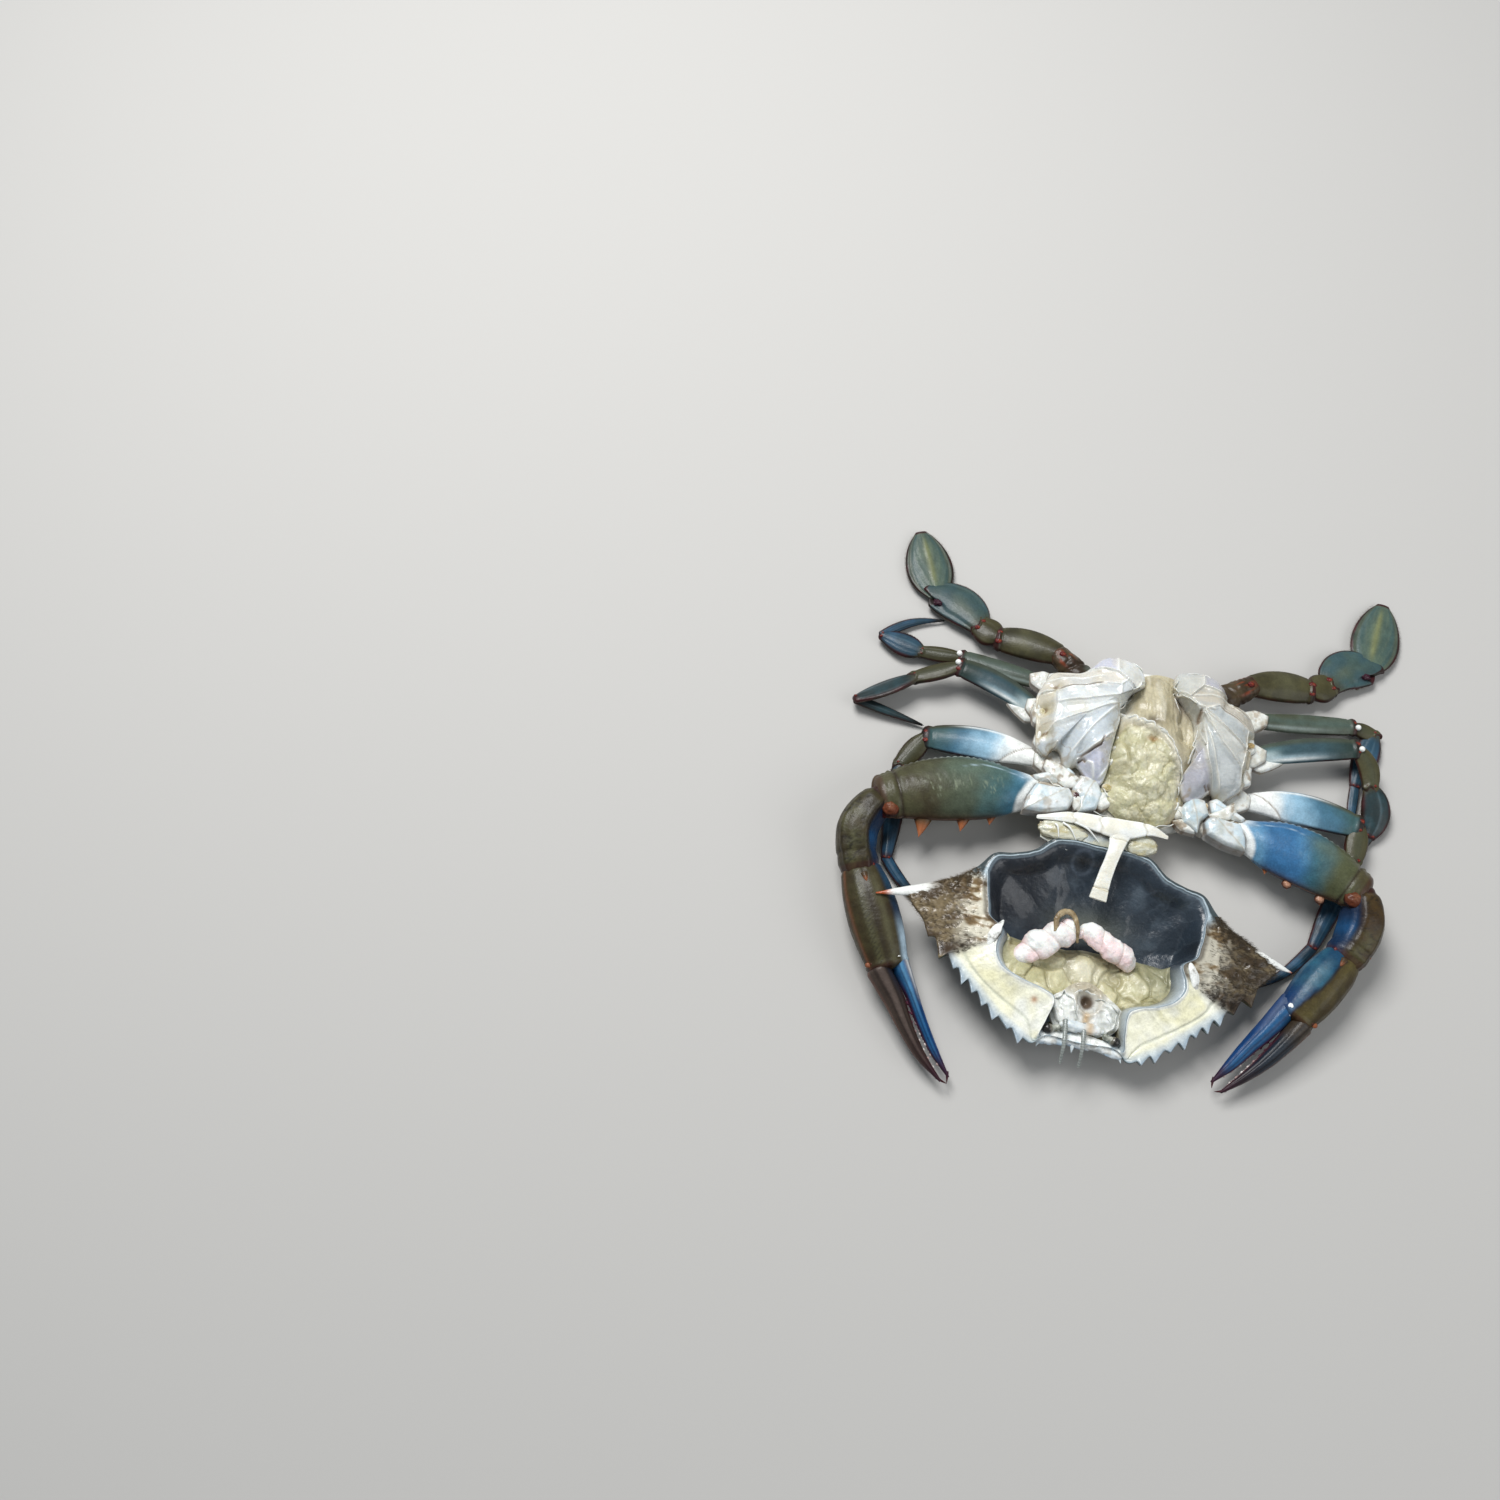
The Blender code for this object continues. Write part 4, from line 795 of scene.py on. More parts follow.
def claw_carpus(limb, places, bearings, side, form):
    """The wrist: cracked on top, with a step down to its blue inner side, and a knob at the hinge."""
    size = form["size"]
    widths, depths = (np.array(v) * size for v in CLAW_FORMS["carpus"])
    widths = widths * (1.0 if side < 0 else 1.1)
    path = bowed(places[2], places[3], side * form["carpus_bow"])
    knuckle = Limb(path, widths, depths, rows=80, columns=96, power=2.4, ends=(0.8, 0.8))
    inner = knuckle.s * side * -1
    t, u, p = knuckle.t, knuckle.u, knuckle.points
    near, far = cells(shifted(p, 3.0, 42, 1.6), 3.6, 4 if side < 0 else 9)
    crack = bell(far - near, 0.0, 0.06) * step(fbm(p, 5.0, 44), -0.6, 0.2)
    split = 0.38 if side < 0 else 0.12
    step_down = step(inner, split, split + 0.35)
    crest = bell(inner, split - 0.08, 0.10) * step(u, 0.1, 0.5)
    height = (-0.14 * crack * step(u, 0.0, 0.4) * (1 - step_down) + 0.4 * bell(t, 0.95, 0.05)
              - 0.25 * bell(t, 0.84, 0.02) + 0.35 * fbm(p, 7.0, 13) + 0.05 * fbm(p, 1.2, 15) + 0.5 * crest
              - 2.2 * step_down * step(u, -0.3, 0.5) * bell(t, 0.5, 0.4) - 1.0 * step(t, 0.10, 0.0)
              + 0.6 * knuckle.round(math.pi / 2 - side * 0.75, 0.14) * step(t, 0.1, 0.4))
    points = raised(p, height)
    hue = (tone(60, 52, 32), tone(38, 32, 18)) if side < 0 else (tone(66, 50, 24), tone(44, 30, 12))
    skin = painted(
        hue[0], (hue[1], step(fbm(p, 6.0, 41), -0.3, 0.6) * 0.8),
        ((88, 90, 58), bell(u, 0.9, 0.35) * step(fbm(p, 8.0, 45), -0.2, 0.5) * 0.5),
        ((24, 20, 12), crack * 0.8 * step(u, -0.1, 0.4)),
        ((30, 18, 12), bell(t + 0.04 * np.sin(inner * 5), 0.86, 0.012) * 0.5 + step(t, 0.05, 0.0) * 0.8),
        ((30, 16, 12), bell(inner, split + 0.04, 0.06) * 0.9),
        ((12, 34, 62), step_down * 0.97),
        ((26, 78, 122), step_down * bell(t, 0.62, 0.2) * 0.7),
        (IVORY, step(u, -0.45, -0.85) * 0.6),
        (RED_DARK, (step(t, 0.03, 0.0) + step(t, 0.97, 1.0)) * 0.35))
    shape = Shape()
    shape.grid(points, skin)
    outer = heading(bearings[2] + 90 * side)
    onward = heading(bearings[2])
    corner = between(path, 0.86) + outer * widths[2] * 0.44
    cone(shape, corner, outer * 0.6 + onward, 1.8, 3.4, BROWN, tone(150, 84, 50), sunk=2.0)
    hinge = between(path, 0.98) - outer * widths[-1] * 0.30 + UP * 4.6 * size
    condyle(shape, hinge, 1.7)
    shape.make(f"{limb}_carpus_shell", SHELL, "olive", f"{limb}_carpus")


def claw_palm(limb, places, bearings, side, form):
    """The hand with its fixed finger, ridged lengthways, with blunt teeth along the finger."""
    size = form["size"]
    widths, depths = (np.array(v) * size for v in CLAW_FORMS["palm"])
    path = bowed(places[3], places[4], 0.0)
    hand = Limb(path, widths, depths, rows=110, columns=112, power=2.2, ends=(0.8, 0.25))
    out = hand.s * side
    t, u, p = hand.t, hand.u, hand.points
    ridges = np.zeros_like(t)
    for place in (0.62, 1.15, 1.62, 2.15, 2.7):
        angle = place if side > 0 else math.pi - place
        ridges += hand.round(angle, 0.09) * (0.85 + 0.15 * np.sin(t * hand.length * 3.1))
    tall = 0.30 if side < 0 else 0.16
    height = (tall * ridges * step(t, 0.02, 0.2) * step(t, 1.0, 0.85) + 0.22 * fbm(p, 8.0, 23)
              + 0.04 * fbm(p, 1.2, 25) + 0.4 * bell(t, 0.985, 0.02)
              - 0.3 * bell(out, 0.0, 0.05) * step(u, 0.2, 0.6) - 0.8 * step(t, 0.06, 0.0))
    points = raised(p, height)
    blotch = fbm(p, 6.0, 51)
    if side < 0:
        skin = mix(tone(58, 52, 30), tone(46, 36, 20), step(blotch, -0.3, 0.5))
        weave = np.sin((t * hand.length + np.abs(out - 0.30) * 12) * 3.4 + fbm(p, 3.0, 52))
        strip = bell(out, 0.32, 0.16) * step(u, 0.2, 0.6)
        skin = painted(
            skin, ((78, 78, 52), strip * 0.6),
            ((34, 32, 20), strip * step(weave, 0.2, 0.9) * 0.7),
            ((92, 90, 66), bell(out, -0.25, 0.13) * step(u, 0.3, 0.7) * step(t, 0.05, 0.3) * 0.55),
            ((30, 20, 12), bell(out, 0.03, 0.05) * step(u, 0.3, 0.7) * 0.8),
            ((116, 66, 34), bell(out, 0.86, 0.06) * 0.6))
        inner = step(out, -0.5, -0.8)
        skin = painted(
            skin, ((20, 40, 66), inner),
            (BLUE_PALE, inner * step(t, 0.5, 0.8) * 0.8),
            ((34, 70, 92), inner * bell(t, 0.25, 0.2) * 0.6))
    else:
        skin = painted(
            (70, 60, 30), ((54, 42, 18), step(blotch, -0.3, 0.5)),
            ((96, 88, 50), bell(out, 0.35, 0.25) * step(u, 0.3, 0.8) * 0.4))
        line = -0.16 + 0.20 * np.sin(t * 3.4 + 0.2)
        half = step(out - line, 0.06, -0.06)
        blue = painted(
            (18, 60, 88), ((44, 90, 112), step(fbm(p, 7.0, 9), -0.3, 0.5)),
            ((16, 48, 98), step(t, 0.55, 0.95) * 0.8),
            ((92, 126, 138), bell(out, -0.38, 0.16) * step(t, 0.1, 0.4) * 0.35))
        skin = painted(
            skin, (blue, half),
            ((26, 20, 18), bell(out - line, 0.0, 0.05) * 0.9))
    skin = painted(
        skin, (IVORY, step(u, -0.45, -0.85) * 0.55),
        (RED_DARK, step(t, 0.975, 1.0) * step(out, -0.6, 0.2) * 0.5))
    shape = Shape()
    shape.grid(points, skin)

    outer = heading(bearings[4] + 90 * side)
    onward = heading(bearings[4])
    sides, finger_widths = form["fixed"]
    line = finger_line(places, sides, outer)
    line[0] -= onward * 4.0
    deep = np.array(FINGER_DEPTHS) * size
    blade = Limb(line, finger_widths, deep, rows=110, columns=64, power=2.0, ends=(0.5, 0), keen=0.15)
    cut = blade.s * side
    t, u, p = blade.t, blade.u, blade.points
    groove = (blade.round(math.pi / 2 + side * 0.45, 0.13) + blade.round(math.pi / 2 - side * 0.4, 0.11))
    height = (-0.30 * groove * step(t, 0.1, 0.3) * step(t, 0.95, 0.75) + 0.10 * fbm(p, 5.0, 27)
              + 0.03 * fbm(p, 1.0, 29))
    points = raised(p, height)
    sky = BLUE_SKY if side < 0 else BLUE
    skin = painted(
        BLUE, (BLUE_DEEP, step(-cut, 0.1, 0.8) * 0.7),
        (sky, bell(cut, 0.2, 0.3) * step(u, 0.2, 0.8) * step(t, 0.6, 0.2) * 0.8),
        (WHITE, bell(cut, -0.62, 0.25) * step(t, 0.42, 0.1) * step(u, -0.4, 0.4)
         * (0.8 if side < 0 else 0.1)),
        ((10, 30, 74), groove * 0.6),
        ((84, 22, 44), step(cut, 0.66, 0.92) * 0.85 * step(t, 0.1, 0.3)),
        (PURPLE, step(t, 0.72, 0.92) * 0.9),
        (RED_DARK, step(t, 0.93, 1.0) * 0.5))
    shape.grid(points, skin)
    finger_teeth(shape, line, finger_widths, outer, size, 0.30, 7)
    tip = between(line, 0.985)
    cone(shape, tip, onward + outer * 0.35, 2.6 * size, 1.5, PURPLE, RED_DARK, curl=outer * 1.0, sunk=1.6)
    thorn = places[3] + (places[4] - places[3]) * 0.18 + UP * 7.4 * size
    cone(shape, thorn, heading(bearings[3]) + UP * 0.5, 1.6, 3.6, BROWN, tone(120, 70, 40), sunk=2.2)
    for k in range(5):
        spread = (k - 2) * 1.7
        place = places[4] + outer * (spread + 4.0 * size) - onward * (2.2 + abs(spread) * 0.25) + UP * (
            5.0 * size - abs(spread) * 0.35)
        ball(shape, place, (1.2, 1.1, 0.7), tone(70, 36, 22) if k % 2 else tone(128, 74, 46), rows=14,
             columns=18, rough=0.15)
    lump = places[4] - outer * 4.2 * size + UP * 5.4 * size - onward * 1.0
    for k, (dx, dz, r) in enumerate(((0, 0, 1.5), (2.2, -0.3, 1.1), (-1.8, -0.6, 1.0), (3.6, -1.0, 0.8))):
        ball(shape, lump + onward * dx * 0.6 + outer * dx * 0.5 + UP * dz, (r, r, r * 0.7),
             mix(WHITE, FLESH, 0.3 * (k % 2)), rough=0.2, seed=k, rows=18, columns=24)
    shape.make(f"{limb}_palm_shell", SHELL, "olive", f"{limb}_palm")


def finger_line(places, sides, outer):
    root, tip = places[4], places[5]
    f = np.linspace(0, 1, len(sides))
    return root + (tip - root) * f[:, None] + outer * np.array(sides)[:, None]


def finger_teeth(shape, line, widths, inward, size, first, number):
    """Blunt, rounded teeth in threes along a cutting edge, the middle one of three the biggest."""
    draw = np.random.default_rng(number)
    count = number * 3
    for k in range(count):
        t = first + (0.90 - first) * k / (count - 1)
        big = (1.0 if k % 3 == 1 else 0.6) * (1.0 - 0.45 * t) * size
        place = between(line, t) + inward * between(widths, t) * 0.44 - UP * 0.3
        tint = mix(tone(96, 52, 70), mix(WHITE, FLESH, draw.uniform(0, 0.8)), step(t, 0.45, 0.68))
        if t > 0.72:
            tint = mix(tint, PURPLE, 0.4 * draw.uniform(0.3, 1.3))
        ball(shape, place + UP * draw.uniform(-0.2, 0.5), (1.15 * big, 1.15 * big, 1.0 * big), tint,
             rows=8, columns=10, rough=0.1, seed=k)


def claw_finger(limb, places, bearings, side, form):
    """The movable finger: grooved, hooked at its tip, dark towards the point."""
    size = form["size"]
    outer = heading(bearings[4] + 90 * side)
    onward = heading(bearings[4])
    sides, widths = form["moving"]
    line = finger_line(places, sides, outer)
    deep = np.array(FINGER_DEPTHS) * size
    blade = Limb(line, widths, deep, rows=120, columns=72, power=2.0, ends=(0.5, 0), keen=0.15)
    cut = -blade.s * side
    t, u, p = blade.t, blade.u, blade.points
    groove = blade.round(math.pi / 2 - side * 0.5, 0.12) + blade.round(math.pi / 2 + side * 0.42, 0.10)
    height = (-0.34 * groove * step(t, 0.06, 0.25) * step(t, 0.96, 0.8) + 0.12 * fbm(p, 5.0, 33)
              + 0.03 * fbm(p, 1.0, 35))
    points = raised(p, height)
    if side < 0:
        skin = painted(
            (58, 46, 38), ((84, 72, 66), bell(cut, -0.15, 0.4)),
            ((30, 34, 46), step(cut, 0.2, 0.6) * step(t, 0.4, 0.05) * 0.8))
    else:
        skin = painted(
            (60, 50, 38), ((24, 36, 48), step(t, 0.08, 0.3)),
            ((60, 64, 68), bell(cut, -0.1, 0.16) * step(u, 0.3, 0.9) * step(t, 0.7, 0.2) * 0.5))
    skin = painted(
        skin, ((22, 16, 14), groove * 0.7),
        ((130, 66, 36), step(cut, -0.8, -1.0) * 0.35),
        ((48, 22, 24), step(t, 0.45, 0.8) * 0.5),
        (PURPLE, step(t, 0.75, 0.95) * 0.8),
        ((84, 30, 40), step(cut, 0.75, 0.95) * 0.6 * step(t, 0.1, 0.3)),
        (IVORY, step(u, -0.55, -0.9) * 0.4 * step(t, 0.7, 0.4)))
    shape = Shape()
    shape.grid(points, skin)
    finger_teeth(shape, line, widths, -outer, size, 0.30, 8)
    tip = between(line, 0.985)
    cone(shape, tip, onward - outer * 0.35, 2.8 * size, 1.5, PURPLE, RED_DARK, curl=-outer * 1.1, sunk=1.6)
    shape.make(f"{limb}_finger_shell", SHELL, "dark", f"{limb}_finger")


# Height, doming and fullness, and the outline along the root and tailwards from its joint with the body
BASE_PLATES = (
    (17.6, 3.4, 0.95, (
        (28.0, -8.6), (26.5, -2.8), (22.2, 3.6), (15.5, 2.5), (8.5, 2.0), (6.6, -2.8), (9.4, -8.0),
        (18.2, -9.4))),
    (16.8, 2.0, 0.8, ((22.3, 4.7), (23.6, 7.4), (15.4, 9.4), (8.4, 11.4), (5.5, 8.5), (8.3, 3.4),
                      (15.3, 3.8))),
    (17.2, 2.6, 0.7, ((6.0, -9.0), (5.4, -3.0), (8.0, 2.0), (4.0, 8.0), (-2.5, 7.0), (-5.0, 0.0),
                      (-2.0, -7.0))),
)


def claw_base(limb, places, bearings, side, form):
    """The white root of a claw: sharp-edged pieces of shell with tan gaps between them, and painted shade in
    brown along the seams and the plates' edges.
    """
    size = form["size"]
    widths, depths = (np.array(v) * size * 0.9 for v in CLAW_FORMS["base"])
    root = Limb(bowed(places[0], places[1], 0.0), widths, depths, rows=90, columns=90, power=2.8,
                ends=(0.3, 0.3))
    t, p = root.t, root.points
    slant = t + 0.14 * root.s * side
    seam = bell(slant, 0.26, 0.02) + bell(slant, 0.97, 0.03)
    height = (-0.9 * seam + 0.35 * fbm(p, 6.0, 61) + 0.06 * fbm(p, 1.6, 63) - 1.6 * step(root.u, 0.2, 0.9))
    skin = painted(
        (204, 200, 188), ((168, 152, 126), step(fbm(p, 5.0, 65), -0.2, 0.6)),
        # painted shade: brown along the seams between the pieces
        ((84, 60, 40), np.clip(seam, 0, 1) * 0.85),
        ((112, 88, 62), step(fbm(p, 4.0, 67), 0.0, 0.6) * 0.6))
    shape = Shape()
    shape.grid(raised(p, height), skin)
    front = heading(bearings[0] - 90 * side)
    onward = heading(bearings[0])
    for k, (level, dome, square, outline) in enumerate(BASE_PLATES):
        corners = [(places[0] + onward * a * size - front * b * size)[:2] for a, b in outline]

        def tint(q, share, k=k):
            skin = painted(
                (220, 226, 226), ((190, 196, 192), step(fbm(q, 4.0, k + 68), -0.2, 0.6)),
                ((178, 208, 224), bell(fbm(q, 7.0, k + 78), 0.3, 0.2) * 0.45),
                ((158, 136, 104), step(fbm(q, 3.2, k + 98), 0.15, 0.6) * 0.5))
            vein, _ = stroke(q, (*corners[:1], np.mean(corners, 0), corners[4]))
            return painted(
                skin, ((176, 164, 140), bell(vein, 0, 0.35) * 0.5),
                # painted shade: brown along each plate's edge
                ((96, 70, 46), bell(share, 0.985, 0.03) * 0.75))
        plate(shape, corners, level * (0.9 + 0.1 * size), dome, 5.0, tint, rough=0.35, seed=k + 61,
              square=square)
    shape.make(f"{limb}_base_shell", PALE_SHELL, "white", f"{limb}_base")


def dress_claws():
    for limb, side in (("claw_left", -1), ("claw_right", 1)):
        places, bearings = joints_of(limb)
        form = CLAWS[side]
        for part in (claw_base, claw_merus, claw_carpus, claw_palm, claw_finger):
            part(limb, places, bearings, side, form)


# Walking and swimming legs

FRINGE_START = 0.05
FRINGE_STEP = 0.42
FRINGE_TONE = tone(66, 46, 30)


def fringe(shape, blade, angle, length, last, seed):
    """A row of bristles along one edge of a leg piece, leaning towards its tip."""
    number = int(blade.length * (last - FRINGE_START) / FRINGE_STEP)
    roots, ways = [], []
    for t in np.linspace(FRINGE_START, last, number):
        place, way, ahead = blade.at(t, angle, -0.25)
        roots.append(place)
        ways.append(way + ahead * 0.8)
    hairs(shape, roots, ways, length, 0.16, FRINGE_TONE, mix(FRINGE_TONE, OLIVE_PALE, 0.35), seed)


def leg_paint(kind, left, part, blade, rear):
    """The colours of one leg piece, with painted shade over its dark hues, a little stronger on the left
    legs, which the key lamp lights more.
    """
    skin = leg_hues(kind, part, blade, rear)
    # painted shade: the dark hues are darkened, more on the left legs, where the key lamp falls stronger
    painted_shade = (0.42 if left else 0.22) * (part != "base")
    return skin * (1 - painted_shade * (1 - skin.mean(-1, keepdims=True)) ** 4)


def leg_hues(kind, part, blade, rear):
    """The hues of one leg piece; rear is 1 on its tailward edge and -1 on its front edge."""
    t, u, p = blade.t, blade.u, blade.points
    blotch = fbm(p, 5.0, 71)
    top = step(u, 0.1, 0.7)
    edge = np.abs(rear)
    rim = mix(RED_DARK, BROWN_DARK, step(noise(p, 4.0, 75), -0.5, 0.5))
    if part == "base":
        if kind == "swim":
            skin = painted(
                (48, 36, 24), ((74, 62, 42), step(blotch, -0.3, 0.6)),
                ((98, 108, 98), step(t, 0.40, 0.15) * step(rear, 0.0, 0.7) * 0.7))
            strands = noise(on_plan(rear * 9, t * 3.0), 1.0, 78)
            share = step(strands, 0.1, 0.5) * bell(t, 0.78, 0.18) * step(u, -0.1, 0.5) * 0.75
            return mix(skin, tone(138, 58, 28), share)
        return painted(
            (222, 224, 218), ((186, 182, 168), step(blotch, -0.3, 0.5)),
            ((128, 104, 74), step(fbm(p, 3.2, 86), 0.05, 0.5) * 0.65),
            ((112, 86, 58), bell(t + 0.1 * rear, 0.45, 0.05) * 0.7))
    if part == "merus":
        near = t + 0.08 * blotch
        if kind == "leg2":
            skin = painted(
                WHITE, ((146, 184, 206), step(near, 0.2, 0.45)),
                ((74, 118, 142), step(near + 0.06 * rear, 0.42, 0.72)),
                ((64, 96, 98), step(near + 0.08 * rear, 0.66, 0.92)),
                (OLIVE, step(rear, 0.45, 0.85) * step(t, 0.45, 0.75) * 0.8),
                # a painted highlight: white along the rear edge
                (WHITE, bell(rear, 0.83, 0.07) * step(t, 0.85, 0.55) * 0.8),
                (WHITE, step(t + 0.14 * rear, 0.20, 0.17)),
                ((126, 104, 80), bell(t + 0.14 * rear, 0.185, 0.008) * 0.9 * top))
            rim_here = step(t, 0.35, 0.6)
        elif kind == "leg3":
            skin = painted(
                (84, 112, 116), ((58, 84, 92), step(near, 0.05, 0.35)),
                ((48, 66, 62), step(near, 0.6, 0.92)),
                # the pale band and the white line along the front edge are the shell's pale edge with a
                # painted highlight on it
                ((160, 184, 194), bell(rear, -0.60, 0.20) * step(t, 0.85, 0.25) * 0.75),
                (OLIVE_GREY, step(rear, 0.25, 0.7) * 0.8),
                (WHITE, bell(rear, -0.74, 0.10) * step(t, 0.8, 0.3) * 0.7),
                ((178, 194, 196), step(t, 0.26, 0.06) * step(rear, 0.4, -0.3) * 0.8),
                ((112, 104, 84), step(t, 0.05, 0.0) * 0.6))
            rim_here = step(t, 0.45, 0.7)
        elif kind == "leg4":
            skin = painted(
                (84, 96, 84), (OLIVE_GREY, step(blotch, -0.3, 0.5)),
                # a painted highlight: pale teal along the front edge
                ((150, 164, 160), bell(rear, -0.62, 0.16) * step(t, 0.9, 0.3) * 0.7),
                ((112, 104, 84), step(t, 0.07, 0.0) * 0.6),
                (TEAL_GREY, bell(rear, 0.0, 0.35) * 0.4))
            rim_here = step(t, 0.4, 0.7)
        else:
            skin = painted(
                OLIVE, (OLIVE_DARK, step(blotch, -0.4, 0.5) * 0.7),
                (OLIVE_PALE, bell(u, 1.0, 0.35) * bell(t, 0.55, 0.25) * 0.35))
            rim_here = 0.7
        return painted(
            skin, (rim, step(edge, 0.86, 0.96) * rim_here * 0.9),
            (rim, step(t, 0.955, 0.99) * 0.9))
    if part == "carpus":
        skin = mix(OLIVE, OLIVE_DARK, step(blotch, -0.3, 0.6) * 0.5)
        if kind != "swim":
            skin = mix(skin, OLIVE_GREY, bell(rear, 0.0, 0.5) * top * 0.5)
        return painted(
            skin, (rim, step(edge, 0.82, 0.94) * 0.9),
            (rim, np.maximum(step(t, 0.95, 1.0), step(t, 0.05, 0.0)) * 0.9))
    if part in ("propodus", "dactyl") and kind != "swim":
        hue = {"leg2": (tone(30, 54, 70), tone(44, 84, 112)), "leg3": (tone(42, 56, 58), tone(46, 72, 78)),
               "leg4": (tone(44, 76, 94), tone(52, 86, 110))}[kind]
        skin = painted(
            hue[0], (hue[1], step(blotch, -0.3, 0.5)),
            ((118, 146, 158), bell(rear, 0.28, 0.06) * top * 0.35 * step(t, 0.05, 0.2)),
            (rim, step(edge, 0.70, 0.88) * 0.95))
        if part == "dactyl":
            return mix(skin, BLACK, step(t, 0.72, 0.95))
        return painted(
            skin, (RED_DARK, step(t, 0.93, 1.0) * 0.9),
            (OLIVE, step(t, 0.16, 0.0) * 0.6))
    if part == "propodus":
        return painted(
            (62, 88, 92), ((70, 92, 88), step(blotch, -0.3, 0.5)),
            ((96, 104, 84), bell(rear, -0.1, 0.3) * bell(t, 0.35, 0.3) * 0.6),
            (OLIVE, step(t, 0.22, 0.02) * 0.6),
            ((44, 70, 78), step(t, 0.7, 1.0) * 0.5),
            (rim, np.maximum(step(edge, 0.88, 0.96), step(t, 0.985, 1.0)) * 0.95),
            (PURPLE, bell(rear, -0.55, 0.16) * step(t, 0.84, 0.98) * 0.9))
    skin = painted(
        (76, 96, 88), ((88, 106, 92), step(blotch, -0.3, 0.6)),
        ((66, 92, 92), bell(edge, 0.66, 0.16) * 0.7),
        ((128, 132, 88), bell(rear, 0.06, 0.15) * step(t, 0.05, 0.3) * step(t, 1, 0.75) * 0.8))
    ray = np.sin(edge * 22 - t * 17)
    skin = mix(skin, tone(128, 134, 108), step(ray, 0.5, 1.0) * 0.14 * step(edge, 0.15, 0.3))
    border = np.maximum(edge, step(t, 0.90, 1.0))
    return painted(
        skin, ((84, 82, 60), bell(border, 0.82, 0.07) * 0.5),
        (rim, step(border, 0.86, 0.93) * 0.95))


def leg_relief(kind, part, blade, rear):
    t, u, p = blade.t, blade.u, blade.points
    flank = step(np.abs(u), 0.1, 0.4)
    edge = np.abs(rear)
    height = 0.08 * fbm(p, 6.0, 81) + 0.02 * fbm(p, 1.2, 83)
    if part == "merus":
        height = height - 0.30 * bell(t + 0.14 * rear, 0.185, 0.010) * (kind == "leg2")
        height = height + 0.45 * bell(t, 0.985, 0.02) - 0.25 * bell(t, 0.94, 0.012)
        height = height + 0.16 * bell(edge, 0.88, 0.06)
    elif part == "carpus":
        height = height + 0.35 * bell(t, 0.96, 0.04) + 0.15 * bell(edge, 0.85, 0.08)
        height = height - 0.22 * bell(rear, 0.35, 0.10) * flank
    elif part in ("propodus", "dactyl"):
        cut = 0.20 if kind != "swim" else 0.0
        height = height - cut * bell(edge, 0.45, 0.07) * flank * step(t, 0.03, 0.15) * step(t, 1, 0.85)
        height = height + 0.14 * bell(edge, 0.88, 0.06)
        if kind == "swim":
            height = height - 0.25 * bell(edge, 0.72, 0.10) * flank - 0.6 * bell(rear, -0.55, 0.14) * step(
                t, 0.8, 1.0) * flank
    elif part == "paddle":
        height = height + 0.22 * bell(rear, 0.06, 0.06) * flank * step(t, 0.97, 0.8)
        height = height - 0.22 * bell(edge, 0.78, 0.07) * flank + 0.12 * bell(edge, 0.9, 0.05)
        height = height + 0.03 * np.sin(edge * 22 - t * 17) * flank
    else:
        height = height + 0.3 * fbm(p, 4.0, 85) - 0.5 * bell(t + 0.1 * rear, 0.45, 0.04)
        height = height + 0.9 * np.abs(fbm(p, 3.4, 89)) - 0.3
    return height


LEAVES = {      # finer widths than the solids have, for the pieces shaped like leaves
    "leg2_merus": (6.5, 9.5, 12.5, 14, 14.4, 13.8, 12.2, 9.5),
    "leg3_merus": (8.0, 9.6, 10.5, 10.8, 10.6, 9.9, 8.6), "swim_merus": (10.5, 13.4, 14.4, 13.6, 11.0),
    "leg4_merus": (7.0, 8.2, 8.8, 8.8, 8.3, 7.2), "swim_base": (12, 11.5, 9.5),
    "leg2_propodus": (6.0, 8.4, 9.0, 8.8, 8.0, 6.4, 4.6),
    "leg3_propodus": (6.5, 10.0, 11.8, 12.2, 11.2, 9.0, 5.6),
    "leg4_propodus": (6.0, 9.4, 10.9, 10.9, 9.6, 7.4, 4.6),
    "swim_propodus": (10.5, 15.0, 17.6, 18.6, 18.4, 16.6, 12.5),
    "swim_paddle": (8.0, 15.2, 19.0, 20.6, 20.5, 19.0, 16.2, 11.8, 5.5),
    "leg2_base": (11.5, 11, 8.5), "leg3_base": (10, 9, 6.4), "leg4_base": (9, 8, 6.0),
    "leg2_carpus": (5.5, 8.6, 9.4, 8.6, 6.4), "leg3_carpus": (5.2, 8.0, 8.9, 8.2, 6.2),
    "leg4_carpus": (4.6, 6.6, 7.3, 6.8, 5.2), "swim_carpus": (8.0, 12.0, 13.4, 12.6, 10.0),
}


def lobed(blade, kind, part, rear):
    """Draws a piece's end out into rounded lobes over the next piece, with the notch between them."""
    lead = np.repeat(blade.ahead[:, None], blade.points.shape[1], 1)
    if part == "propodus" and kind == "swim":
        reach = 5.0 * bell(rear, 0.30, 0.55) - 2.4 * bell(rear, -0.58, 0.20) + 1.2 * bell(rear, -0.95, 0.2)
        return blade.points + lead * (reach * step(blade.t, 0.62, 1.0))[..., None]
    if part == "carpus":
        reach = 2.4 * bell(rear, 0.55, 0.35) + 1.6 * bell(rear, -0.7, 0.3)
        return blade.points + lead * (reach * step(blade.t, 0.55, 1.0))[..., None]
    if part == "merus" and kind == "leg2":
        return blade.points - lead * (4.0 * bell(rear, -0.5, 0.5) * step(blade.t, 0.25, 0.0))[..., None]
    return blade.points


